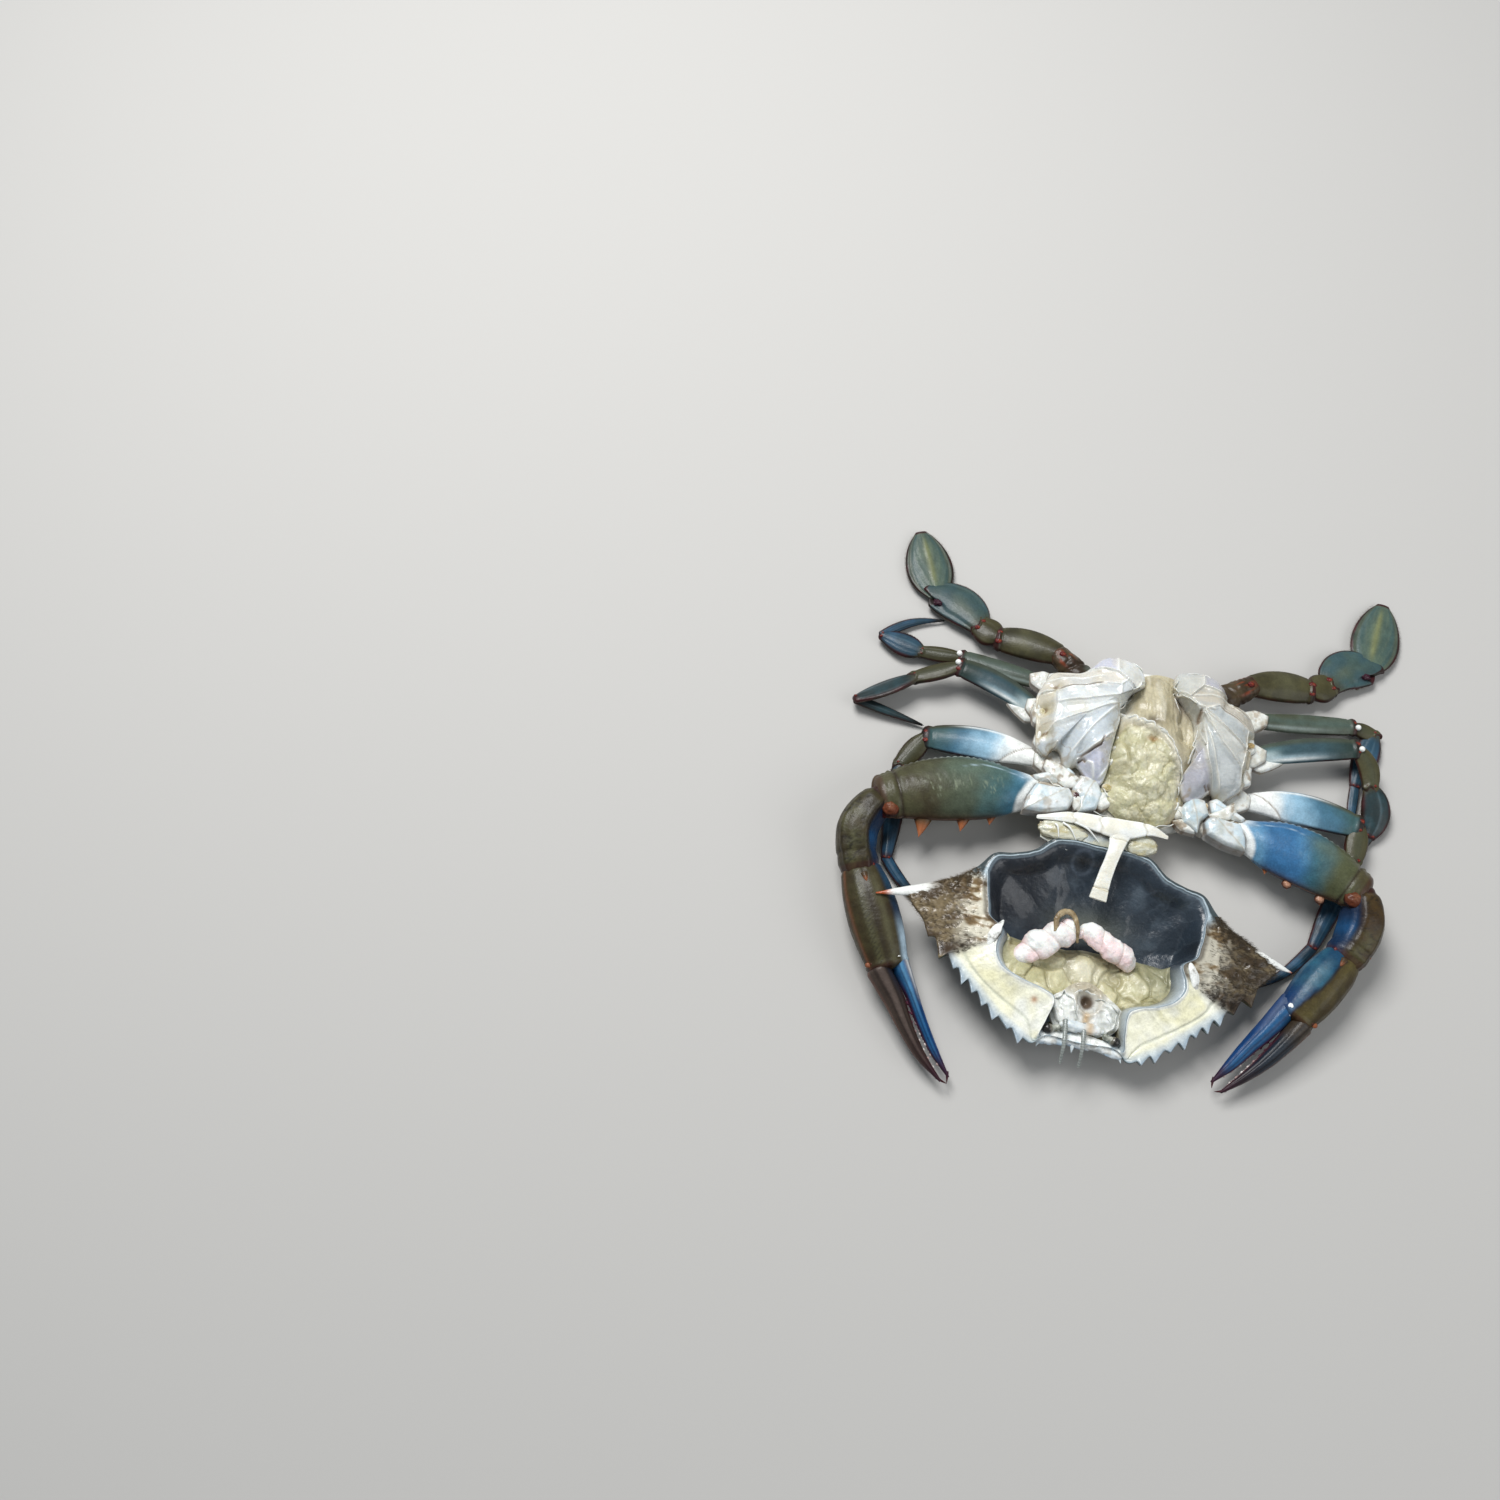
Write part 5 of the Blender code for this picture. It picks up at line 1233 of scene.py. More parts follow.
def leg_joint(shape, kind, part, end, onward, width, depth):
    """The dark red knobs at the far end of one leg piece, and the white pearls beside some."""
    across = np.cross(UP, onward)
    size = min(1.7, width * 0.15)
    for sign in (-1, 1):
        place = end + across * sign * width * 0.20 + UP * depth * 0.42
        condyle(shape, place, size * (1.0 if sign > 0 else 0.8))
    if part == "merus" and kind in ("leg3", "leg4"):
        pearl(shape, end + onward * 1.2 - across * 0.8 + UP * depth * 0.55, 1.25)


def root_plate(shape, start, end, width, rearward):
    """The sharp-edged white piece over a walking leg's root."""
    onward = unit((end - start) * np.array([1, 1, 0]))
    across = np.cross(UP, onward) * -rearward
    length = np.linalg.norm(end - start)
    half = width * 0.56
    corners = [(start + onward * a + across * b)[:2] for a, b in (
        (-1.5, -half * 0.8), (-2.0, half * 0.5), (length * 0.3, half), (length * 0.85, half * 0.9),
        (length + 3.0, half * 0.1), (length + 0.8, -half * 0.7), (length * 0.45, -half))]

    def tint(q, share):
        return painted(
            (226, 228, 222), ((196, 194, 182), step(fbm(q, 3.0, 87), -0.2, 0.6)),
            ((156, 132, 98), step(fbm(q, 3.0, 88), 0.1, 0.5) * 0.6),
            ((92, 68, 44), bell(share, 0.985, 0.03) * 0.8))
    plate(shape, corners, (start[2] + end[2]) / 2 + 2.4, 1.7, 3.0, tint, rough=0.5, seed=int(width * 3),
          square=0.9)


def socket_plate(shape, joint, onward, hand):
    """The white three-cornered plate on the front side of a third leg's root."""
    front = np.cross(UP, onward) * hand
    corners = [(joint + onward * a + front * b)[:2] for a, b in (
        (-5.0, 0.5), (0.5, 2.0), (9.5, 4.4), (4.5, 6.6), (-1.0, 8.0), (-4.5, 6.0))]

    def tint(q, share):
        return painted(
            (228, 230, 226), ((200, 200, 190), step(fbm(q, 3.0, 187), -0.2, 0.6)),
            ((104, 80, 54), bell(share, 0.985, 0.03) * 0.8))
    plate(shape, corners, joint[2] + 0.2, 1.3, 1.6, tint, rough=0.35, seed=21, square=0.9)


LEG_SLOTS = {"base": "white", "merus": "blue", "carpus": "olive", "propodus": "teal", "dactyl": "teal",
             "paddle": "teal"}


def dress_leg(limb, kind):
    places, bearings = joints_of(limb)
    left = limb.endswith("left")
    for i, (part, (widths, depths)) in enumerate(LEG_FORMS[kind].items()):
        name = f"{limb}_{part}"
        widths = LEAVES.get(f"{kind}_{part}", widths)
        path = bowed(places[i], places[i + 1], BOWS.get(name, 0.0))
        broad = part in ("propodus", "paddle") and kind == "swim"
        keen = {"base": 0.0, "merus": 0.35, "carpus": 0.25}.get(part, 0.5)
        blade = Limb(path, widths, depths, rows=120 if part in ("merus", "paddle") else 84,
                     columns=120 if broad else 80, power=2.0, roll=ROLLS.get(name, 0.0), keen=keen,
                     ends=(0.4, 0.4) if part == "base" else (0.8, 0.8))
        # the left of the way ahead is tailward on a limb that runs to +X
        rear = blade.s * (-1 if left else 1)
        blade.points = lobed(blade, kind, part, rear)
        shape = Shape()
        shape.grid(raised(blade.points, leg_relief(kind, part, blade, rear)),
                   leg_paint(kind, left, part, blade, rear))
        onward = unit(between(path, 1.0) - between(path, 0.9))
        if part == "dactyl":
            cone(shape, places[i + 1] - onward * 0.5, onward, 1.6, 0.9, BROWN_DARK, BLACK, sunk=1.0, rows=8)
        if part not in ("base", "merus") or kind == "swim" and part == "merus":
            length = {"paddle": 1.2, "propodus": 1.1, "dactyl": 0.8}.get(part, 0.6)
            for angle in (0.0, math.pi):
                fringe(shape, blade, angle, length, 0.86 if part == "dactyl" else 0.95, 7 + i)
        if part in ("merus", "carpus", "propodus") and not broad:
            leg_joint(shape, kind, part, places[i + 1], onward, widths[-1], depths[-1])
        if part == "base" and kind != "swim":
            root_plate(shape, places[0], places[1], widths[0], 1 if left else -1)
        if part == "base" and kind == "leg3":
            socket_plate(shape, places[1], heading(bearings[1]), 1 if left else -1)
        if part == "base" and kind == "swim":
            condyle(shape, places[i + 1] - onward * 2.5 + UP * 4.0, 1.5)
        if broad and part == "propodus":
            rearward = np.cross(UP, onward) * (3.6 if not left else -3.6)
            notch = places[i + 1] - rearward - onward * 1.6 + UP * 1.5
            ball(shape, notch, (1.7, 1.4, 0.8), PURPLE, rough=0.6, seed=3, rows=26, columns=36)
        shape.make(f"{name}_shell", PALE_SHELL if part == "base" and kind != "swim" else LEG_SHELL,
                   LEG_SLOTS[part], name)


def dress_legs():
    for kind in ("leg2", "leg3", "leg4", "swim"):
        for hand in ("left", "right"):
            dress_leg(f"{kind}_{hand}", kind)


# The body

DECK_TOP = 15.0
BODY_STATIONS = (       # place along the body, half width, bottom and top
    (35.0, 10.0, 6.0, 14.0), (31.0, 22.0, 2.5, 17.0), (20.0, 35.0, -1.0, 17.5), (6.0, 39.0, -1.5, 17.5),
    (-8.0, 37.0, -1.5, 17.5), (-20.0, 29.0, -1.0, 17.0), (-28.0, 22.0, 1.0, 16.0), (-33.0, 12.0, 5.0, 15.0),
)
BODY_AXIS = 1.5
CHAMBER_HEIGHT = 11.6
CHAMBERS = {
    -1: {
        "outline": (
            (-3, 27), (-4.5, 33.5), (-9, 37), (-16, 38), (-21.5, 36.5), (-26, 31.5), (-30, 28.5), (-36, 27.5),
            (-41.5, 26), (-45, 20), (-47, 14), (-46.5, 7), (-45.5, 0), (-44.5, -8), (-40.5, -11.5), (-37, -8),
            (-34.5, -9.5), (-33, -14), (-30.5, -16.5), (-27.5, -14), (-24, -17.5), (-20, -21), (-16.5, -20),
            (-14.5, -13), (-13.8, -5), (-12.8, 3), (-11.8, 9), (-12, 14), (-10, 18.5), (-8, 22.5)),
        "plates": (
            (((-3, 27), (-4.5, 33.5), (-9, 37.5), (-16, 39), (-16.5, 27.5), (-12, 24.5), (-8.5, 21.5)), 1.2,
             0),
            (((-16, 39), (-21, 37), (-26, 31.5), (-28, 28.8), (-16.5, 27.5)), 0.9, 2),
            (((-28, 28.8), (-16.5, 27.5), (-12, 24.5), (-14.5, 21.5), (-20, 20.8), (-30, 18.6), (-40, 16.6),
              (-48, 15), (-45, 21), (-41, 28), (-34, 29)), 0.1, 1),
            (((-14.5, 21.5), (-20, 20.8), (-30, 18.6), (-40, 16.6), (-39, 10), (-28, 12), (-14, 16.5)), 0.5,
             0),
            (((-14, 16.5), (-28, 12), (-39, 10), (-39.5, 1), (-27, 6), (-13, 15)), 0.1, 0),
            (((-13, 15), (-27, 6), (-39.5, 1), (-45, -9), (-40, -13), (-37, -7), (-34.5, -9), (-33, -15),
              (-30, -18), (-28, -12.5), (-24, -9.5), (-20, -5.5), (-16.5, -1), (-13.5, 3), (-12, 9)), 0.7, 3),
            (((-48, 15), (-40, 16.6), (-39, 10), (-39.5, 1), (-45, -9), (-47, -2), (-48, 7)), -0.9, 4),
            (((-13.5, 3), (-16.5, -1), (-20, -5.5), (-24, -9.5), (-28, -12.5), (-25, -18), (-20, -22),
              (-16, -21), (-14.5, -12), (-14, -4)), -0.6, 2)),
        "ridges": (((-12, 12), (-13, 3), (-17, -1), (-21, -6), (-27, -11.5)),
                   ((-13.5, 4), (-14.2, -4), (-15, -13), (-19, -20)),
                   ((-45, 21), (-33, 23.5), (-20, 24.5)), ((-26, -12), (-22, -14), (-20, -20)),
                   ((-14, 14), (-24, 1), (-32, -12))),
        "slits": (((-40, 16.8), (-32, 18.6), (-20, 21.0)), ((-18.5, -2), (-20, -6), (-24, -9.5), (-28, -12)),
                  ((-9, 19), (-11, 15), (-13, 12.5)), ((-27.5, -12.5), (-25.5, -12), (-24.2, -13.2))),
        "spots": ((-43, 8), (-38, -10), (-29, -16), (-40, 18), (-42, -3)),
        "torn": (((-3.6, 28), (-8.5, 22), (-12, 24)), ((-9, 20), (-11, 16.5), (-13, 13)),
                 ((-4, 33), (-9, 37), (-16, 38))),
    },
    1: {
        "outline": (
            (9.5, 35), (14, 36.8), (20, 37), (25.5, 35.8), (29, 32.5), (31.5, 28), (36, 25.5), (41, 21.5),
            (43.5, 15), (43, 9), (42.5, 2), (42, -6), (39.5, -12), (35.5, -16), (31, -18.5), (27.5, -15.5),
            (23.5, -19), (19, -21.5), (16, -19), (14, -13), (17, -7), (18.5, 0), (19, 8), (18, 15),
            (14.5, 20), (10.5, 25), (8.8, 30)),
        "plates": (
            (((9, 35.5), (14, 37.5), (20, 38), (19, 28), (14, 22), (10, 26), (8.8, 30)), 1.0, 0),
            (((20, 38), (25.5, 36.5), (29.5, 33), (31.5, 27.5), (26, 26.5), (19, 28)), 0.8, 2),
            (((31.5, 27.5), (36, 27), (42, 21.5), (44.5, 14), (39.5, 12.5), (32, 16.2), (25.5, 19.4),
              (20, 17), (16, 19.5), (14, 22), (19, 28), (26, 26.5)), 0.2, 1),
            (((20, 16.5), (25.5, 19.4), (32, 16.2), (39.5, 12.5), (39.5, 4), (30, 9)), 0.6, 3),
            (((20, 16), (30, 9), (39.5, 4), (38, -5), (28, 3)), 0.1, 0),
            (((19.5, 15), (28, 3), (38, -5), (39, -13), (35, -18), (31, -20), (27, -14), (22.5, -5),
              (19.5, 8)), 0.7, 3),
            (((19.5, 8), (22.5, -5), (27, -14), (23.5, -20.5), (19, -23), (16, -20.5), (14, -12), (18, -3)),
             -0.5, 2),
            (((44.5, 14), (39.5, 12.5), (39.5, 4), (38, -5), (39, -13), (42.5, -8), (43.5, 2)), -0.9, 4)),
        "ridges": (((19, 12), (19, 6), (18, -3), (14.5, -12)), ((20, 15), (22.5, -5), (27, -13)),
                   ((15, 19), (19, 17.5), (25, 17)), ((20, 13), (26, -4), (31, -17)),
                   ((14, 22), (22, 24), (31, 24), (40, 19))),
        "slits": (((25.5, 19.4), (32, 16.5), (39.5, 13)), ((18.5, 17), (19.5, 12)),
                  ((25, -13), (27, -15), (28.5, -17.5)), ((23.5, -14), (26, -15.5))),
        "spots": ((42.5, 9), (33, 27), (41, -5), (30, -18)),
        "torn": (((9.2, 33), (8.8, 28), (12, 23.5), (17, 19)), ((19.2, 10), (18.6, 2), (16.5, -6)),
                 ((12, 36.5), (20, 37), (27, 34.5))),
    },
}
ORGAN_LUMPS = (         # middle, half width, half length and top
    (0.0, 31.0, 9.0, 9.0, 23.5), (0.5, 19.0, 11.0, 10.0, 24.5), (-1.0, 6.0, 13.0, 11.0, 26.0),
    (5.0, -4.0, 13.0, 11.0, 26.5), (-6.0, -6.0, 11.0, 11.0, 26.0), (0.0, -16.0, 13.0, 10.0, 25.0),
    (-5.0, -25.0, 11.0, 8.0, 21.5), (6.0, -26.0, 11.0, 7.5, 21.0),
)


THORAX_COLUMNS = 160


def dress_thorax():
    """The white breast shell under the body, with a seam between each pair of legs."""
    stations = np.array(BODY_STATIONS)
    f = np.linspace(0, 1, 130)
    y, half, bottom, top = (between(stations[:, k], f) for k in range(4))
    top = np.minimum(top, DECK_TOP)
    bottom = np.maximum(bottom, 0.0)
    angle = np.arange(THORAX_COLUMNS) * 2 * math.pi / THORAX_COLUMNS
    across, up = squared(np.cos(angle), 2 / 2.6), squared(np.sin(angle), 2 / 2.6)
    x = BODY_AXIS * 0.5 + half[:, None] * across
    z = (top + bottom)[:, None] / 2 + (top - bottom)[:, None] / 2 * up
    points = np.stack([x, np.repeat(y[:, None], THORAX_COLUMNS, 1), z], axis=-1)
    beside, forward = np.abs(points[..., 0]), points[..., 1]
    seams = sum(bell(forward - beside * 0.16, place, 0.9) for place in (22.0, 11.0, 0.0, -11.0, -20.0))
    seams = seams + step(forward, 20, 27) * sum(
        bell(beside - forward * 0.1, place, 0.8) for place in (3.0, 9.5))
    low = step(up, 0.75, 0.4)[None] * np.ones_like(x)
    height = (-0.55 * seams * low + 0.25 * fbm(points, 8.0, 91) + 0.06 * fbm(points, 1.6, 93))
    height = np.where(points[..., 2] < 1.0, np.minimum(height, 0), height)
    skin = painted(
        IVORY, (WHITE, step(fbm(points, 7.0, 95), -0.3, 0.5)),
        ((140, 118, 86), np.clip(seams, 0, 1) * 0.7),
        (KHAKI, step(fbm(points, 4.0, 97), 0.2, 0.7) * 0.4),
        ((196, 188, 166), step(fbm(points, 9.0, 98), -0.1, 0.5) * 0.5))
    height = height + 0.5 * np.abs(fbm(points, 5.0, 99)) * low
    points = raised(points, height)
    points[..., 2] = np.maximum(points[..., 2], 0.0)
    shape = Shape()
    shape.grid(points, skin)
    margin_plates(shape)
    shape.make("breast_shell", PALE_SHELL, "white", "thorax")


def inside(q, outline):
    """Whether each plan point lies within a polygon."""
    x, y = q[..., 0], q[..., 1]
    odd = np.zeros(x.shape, bool)
    corners = np.asarray(outline, float)
    for (ax, ay), (bx, by) in zip(corners, np.roll(corners, -1, axis=0)):
        if ay != by:
            odd ^= ((ay > y) != (by > y)) & (x < (bx - ax) * (y - ay) / (by - ay) + ax)
    return odd


def dress_chamber(side):
    """One gill chamber: a fan of thin glassy plates with white ribs between, slits and torn edges."""
    form = CHAMBERS[side]
    hand = "right" if side > 0 else "left"
    columns = 384
    outline = closed_curve([(x, y, 0) for x, y in form["outline"]], columns)
    middle = outline.mean(0)
    foot = DECK_TOP + 0.3
    shares = np.concatenate([np.linspace(1, 0.94, 9), np.linspace(0.93, 0.01, 108)])
    q = middle + (outline - middle)[None] * shares[:, None, None]
    tints = (mix(MILK, WHITE, 0.35), tone(214, 210, 200), GREY_LILAC, tone(204, 212, 216),
             tone(206, 200, 182))
    relief = np.zeros(q.shape[:2])
    tint = np.broadcast_to(tints[0], q.shape).copy()
    rib = np.zeros(q.shape[:2])
    for corners, lift, shade in form["plates"]:
        within = inside(q, corners)
        border, _ = stroke(q, (*corners, corners[0]))
        bowl_of_plate = lift - 0.75 * step(border, 0.1, 2.6)
        relief = np.where(within, bowl_of_plate, relief)
        pale = mix(np.broadcast_to(tints[shade], q.shape), WHITE, step(border, 1.5, 0.2) * 0.55)
        tint = np.where(within[..., None], pale, tint)
        rib = np.maximum(rib, bell(border, 0, 0.32))
    for path in form["ridges"]:
        distance, along = stroke(q, path)
        rib = np.maximum(rib, bell(distance, 0, 0.5) * step(along, 0.0, 0.1) * step(along, 1.0, 0.85))
    slit = np.zeros(q.shape[:2])
    for path in form["slits"]:
        distance, along = stroke(q, path)
        slit = np.maximum(slit, bell(distance, 0, 0.45) * step(along, 0.0, 0.15) * step(along, 1.0, 0.85))
    inward = step(shares, 1.0, 0.93)[:, None]
    outward = step((outline[:, 0] - middle[0]) * side, -6, 8)
    swell = CHAMBER_HEIGHT * (1 - shares[:, None] ** (3.2 - 1.1 * outward)) ** (0.75 + 0.1 * outward)
    streaks = fbm(q @ np.array([[0.5, 0.2, 0], [-0.2, 1.6, 0], [0, 0, 1]]), 5.0, 109)
    z = (foot + 2.0 + swell + inward * (relief + rib * 0.7 - slit * 1.6 + 0.35 * fbm(q, 9.0, 101)
                                                + 0.12 * streaks) + 0.04 * fbm(q, 1.6, 103))
    spots = np.zeros(q.shape[:2])
    for x, y in form["spots"]:
        spots = np.maximum(spots, blot(q, x, y, width=2.7))
    z = z - spots * 2.4
    tint = painted(
        tint, ((186, 194, 200), step(streaks, 0.0, 0.7) * 0.45),
        ((204, 198, 180), step(fbm(q, 8.0, 108), 0.1, 0.6) * 0.45),
        (WHITE, rib * 0.85),
        (KHAKI, spots * step(fbm(q, 2.0, 110), -0.6, 0.1) * 0.7),
        ((112, 88, 58), step(spots, 0.72, 0.98) * 0.8))
    if side > 0:
        tint = tint * np.array([0.80, 0.78, 0.74])
    tint = mix(tint, tone(112, 84, 56), slit * 0.85)
    seam = bell(fbm(q, 6.0, 104), 0.35, 0.05) * step(shares, 0.55, 0.85)[:, None]
    tint = mix(tint, tone(150, 128, 92), seam * 0.5)
    skirt = step(shares, 0.972, 0.999)[:, None] * step(fbm(q, 5.0, 107), -0.4, 0.4)
    tint = mix(tint, tone(150, 134, 104), skirt * 0.55)
    points = np.stack([q[..., 0], q[..., 1], z], axis=-1)
    base = points[:1].copy()
    base[..., 2] = foot
    shape = Shape()
    shape.grid(np.concatenate([base, points]), np.concatenate([tint[:1], tint]))
    tree = shape.top()
    for k, line in enumerate(form["torn"]):
        steps = between(line, np.linspace(0, 1, 9))
        steps = middle[:2] + (steps - middle[:2]) * 0.965
        ground = heights(tree, steps[:, 0], steps[:, 1], foot + 6)
        frill(shape, np.column_stack([steps, ground]), 1.5, tone(216, 214, 200), lean=20 * side, seed=k + 5)
    shape.make(f"gill_chamber_{hand}_skin", CHITIN, "membrane", f"gill_chamber_{hand}")


ORGAN_OUTLINE = (
    (-6, 32), (0, 34.5), (7, 34), (11, 31.5), (12.5, 26), (15, 20.5), (18.5, 14), (19.5, 6), (18.8, -2),
    (17, -8),
    (15, -13), (16, -19), (14.5, -26), (10, -32), (4, -34.5), (-4, -34.5), (-10, -32.5), (-16.5, -27),
    (-18.5, -21), (-17.0, -14), (-16.2, -4), (-15.0, 6), (-14.3, 13), (-12.5, 19), (-11, 24), (-8.5, 29),
)
GRAINY_PART = (
    (-14, 0), (-9.5, 6.5), (-3.5, 5.5), (2.5, 3.5), (6.5, 0.5), (10, -5), (13, -11), (14, -18), (13, -27),
    (10, -33), (0, -40), (-10, -38), (-20, -28), (-17, -12),
)
TORN_FLAP = (
    (-13.5, 12), (-8.5, 9.8), (-3.5, 7.4), (2.6, 5.4), (6.6, 2.2), (10, -3.5), (13.2, -9.5), (14.5, -15),
)
ORGAN_FRILLS = (
    TORN_FLAP[:5], TORN_FLAP[3:], ((-11, 16), (-8.5, 20), (-6, 25), (-5, 29)),
    ((-12.5, 2), (-13.5, -6), (-14, -13)), ((11.5, 29), (9.5, 24), (13, 18)),
    ((14, -15), (15, -21), (13.5, -27)),
)


def dress_organs():
    """The soft organs: grainy yellow lobes towards the head and, past a torn flap, pale folded membrane."""
    outline = closed_curve([(x + BODY_AXIS, y, 0) for x, y in ORGAN_OUTLINE], 380)
    spine = on_plan(BODY_AXIS, outline[:, 1] * 0.80)
    shares = np.linspace(1, 0, 120)[:, None, None]
    q = spine + (outline - spine) * shares
    gx, gy = q[..., 0], q[..., 1]
    z = np.full(gx.shape, DECK_TOP)
    for lx, ly, half_w, half_l, top in ORGAN_LUMPS:
        r2 = ((gx - BODY_AXIS - lx) / half_w) ** 2 + ((gy - ly) / half_l) ** 2
        lump = (top - DECK_TOP) * np.sqrt(np.maximum(1 - r2 * 0.8, 0.0))
        z = np.logaddexp((z - DECK_TOP) * 1.2, lump * 1.2) / 1.2 + DECK_TOP
    z = DECK_TOP + (z - DECK_TOP) * (1 - shares[..., 0] ** 5) ** 0.5
    behind = step(gy, 8, 24)
    z = z - 2.6 * behind - 3.4 * step(gy, 24, 34)
    border, _ = stroke(q, (*GRAINY_PART, GRAINY_PART[0]))
    grainy = step(np.where(inside(q, GRAINY_PART), border, -border), -0.3, 1.2)
    warped = shifted(q, 6.0, 111, 2.0)
    big, big_far = cells(warped, 8.5, 113)
    small, small_far = cells(warped, 3.1, 114)
    tiny, _ = cells(q, 1.25, 120)
    crease = bell(big_far - big, 0, 0.10)
    lift = step(shares[..., 0], 1.0, 0.88)
    soft = np.abs(fbm(q, 6.5, 125, 2))
    mass = (1.1 * np.sqrt(np.maximum(1 - big ** 2, 0)) + 1.9 * soft
            + 0.85 * np.sqrt(np.maximum(1 - small ** 2, 0)) + 0.42 * (1 - tiny)
            - 0.5 * crease * step(fbm(q, 9.0, 126), -0.3, 0.3) - 1.9)
    drape = q @ np.array([[1.0, 0.15, 0], [0.05, 0.22, 0], [0, 0, 1]])
    folds = fbm(drape, 4.6, 115, 3)
    sheet = 1.1 * np.abs(folds) + 0.5 * fbm(q, 5.0, 116) - 0.3
    z = z + lift * (grainy * mass + (1 - grainy) * sheet + 0.05 * fbm(q, 1.0, 117))
    # a dip in the membrane, which is also painted with shadow below
    hollow = blot(q, 1.0, 10.0, 4.4, 2.4, 0.9)
    hollow_beside = blot(q, 13.5, 3.0, 3.0, 9.0, 0.8)
    spot = blot(q, 1.0, 1.0, 2.6, 1.4, 0.9)
    flap, _ = stroke(q, TORN_FLAP)
    ragged = flap + 0.7 * fbm(q, 2.4, 124)
    z = z + lift * (bell(ragged, 0, 1.7) * 1.6 - 2.2 * hollow - 1.6 * hollow_beside - 0.5 * spot)
    tint = painted(
        (208, 205, 168), ((226, 222, 192), step(fbm(q, 4.0, 118), -0.3, 0.5)),
        ((158, 152, 110), bell(soft, 0, 0.07) * 0.6),
        ((168, 160, 116), crease * step(fbm(q, 9.0, 126), -0.3, 0.3) * 0.6),
        ((186, 178, 136), bell(small_far - small, 0, 0.16) * 0.35),
        # painted highlight: paler tops on the small lumps
        ((236, 233, 210), step(1 - small, 0.5, 0.85) * 0.4))
    beige = painted(
        (204, 195, 164), ((178, 168, 138), step(fbm(q, 6.0, 119), -0.3, 0.6)),
        ((222, 217, 198), step(np.abs(folds), 0.25, 0.6) * 0.6),
        ((170, 160, 132), bell(folds, 0, 0.06) * 0.4))
    tint = painted(
        beige, (tint, grainy),
        # painted shadow in the hollow
        ((96, 84, 66), hollow * 0.75),
        # painted shade in the dip along the right gill chamber's edge
        ((160, 148, 118), hollow_beside * 0.4),
        ((164, 116, 62), spot * 0.75),
        ((228, 223, 204), bell(ragged, 0, 2.0) * 0.85))
    tint = painted(
        # painted shade: greyish brown in the recess by the right gill chamber, towards the rear
        tint * 0.86, ((128, 112, 108), step(gx, 8.0, 11.0) * bell(gy, 24, 7) * 0.7),
        ((224, 222, 212), step(gx, -6, -10) * step(gy, 6, 12) * 0.7))
    points = np.stack([gx, gy, np.maximum(z, DECK_TOP + 0.6)], axis=-1)
    foot = points[:1].copy()
    foot[..., 2] = DECK_TOP + 0.3
    shape = Shape()
    shape.grid(np.concatenate([foot, points]), np.concatenate([tint[:1], tint]), poles=(True, False))
    tree = shape.top()
    for k, line in enumerate(ORGAN_FRILLS):
        steps = between(line, np.linspace(0, 1, 9))
        ground = heights(tree, steps[:, 0], steps[:, 1], DECK_TOP + 5)
        frill(shape, np.column_stack([steps, ground]), 1.6, tone(218, 212, 190), lean=(k % 3 - 1) * 30,
              seed=k + 90, thick=0.5)
    shape.make("soft_organs_skin", SOFT, "tissue", "soft_organs")


def slab(top, bottom):
    """A closed grid from a field of heights and the plainer field under it."""
    return np.concatenate([top, bottom[:, ::-6]], axis=1)


MARGIN = (              # outlines and heights of the plates
    (((-40, -13), (-34, -14), (-29, -17), (-25, -19), (-26, -24), (-31, -24.5), (-38, -20.5), (-41, -17)),
     17.6),
    (((-28, -24), (-22, -22), (-17, -27), (-20, -31.5), (-26, -33.5), (-28.5, -29)), 17.2),
    (((-47, 13), (-43, 12), (-41, 6), (-43, 1), (-47, 3), (-48.5, 8)), 15.4),
    (((-45, 0), (-41, 1), (-40, -6), (-43, -10), (-46, -6)), 15.4),
    (((27, -25), (33, -20.5), (37.5, -17.5), (39, -22), (36, -25.5), (31, -27.5)), 17.4),
    (((13, -29.5), (20, -27.5), (24, -30), (23, -34), (17, -33.5)), 16.4),
    (((40, 14), (44, 13), (45, 7), (42, 4), (40, 8)), 15.4), (((39, 1), (44, 0), (44, -8), (40, -10)), 15.4),
    (((-43, 27), (-37, 28.5), (-33, 27.5), (-38, 24), (-44, 21)), 14.6),
    (((33, 27.5), (39, 25.5), (43, 20), (40, 18), (34, 23)), 14.6),
    (((-20, -24), (-13, -22), (-11, -28), (-15, -31), (-20, -29)), 16.4),
    (((12, -22), (20, -23), (23, -26.5), (15, -29), (11, -27)), 16.0),
)


MARGIN_SPOTS = (        # place, radius and colour
    (-26, -27, 19.3, 1.5, RED_DARK), (23, -28.2, 18.0, 1.5, RED_DARK),
    (24.6, -21.7, 18.2, 2.2, tone(196, 156, 84)),
    (42.5, 9, 17.6, 1.5, tone(186, 158, 104)), (-43, 8, 17.6, 1.8, tone(196, 186, 146)),
    (-14, -21, 18.6, 1.8, KHAKI), (13, -21, 18.4, 1.8, KHAKI), (19, -29.5, 18.2, 0.9, RED),
)
MARGIN_FRILLS = (
    (-20, -31, -10, -34), (-10, -34, 2, -35.5), (2, -35, 14, -31), (-40, -21, -29, -25), (30, -28, 38, -25),
    (-16, -20, -12, -26), (14, -20, 17, -27),
)


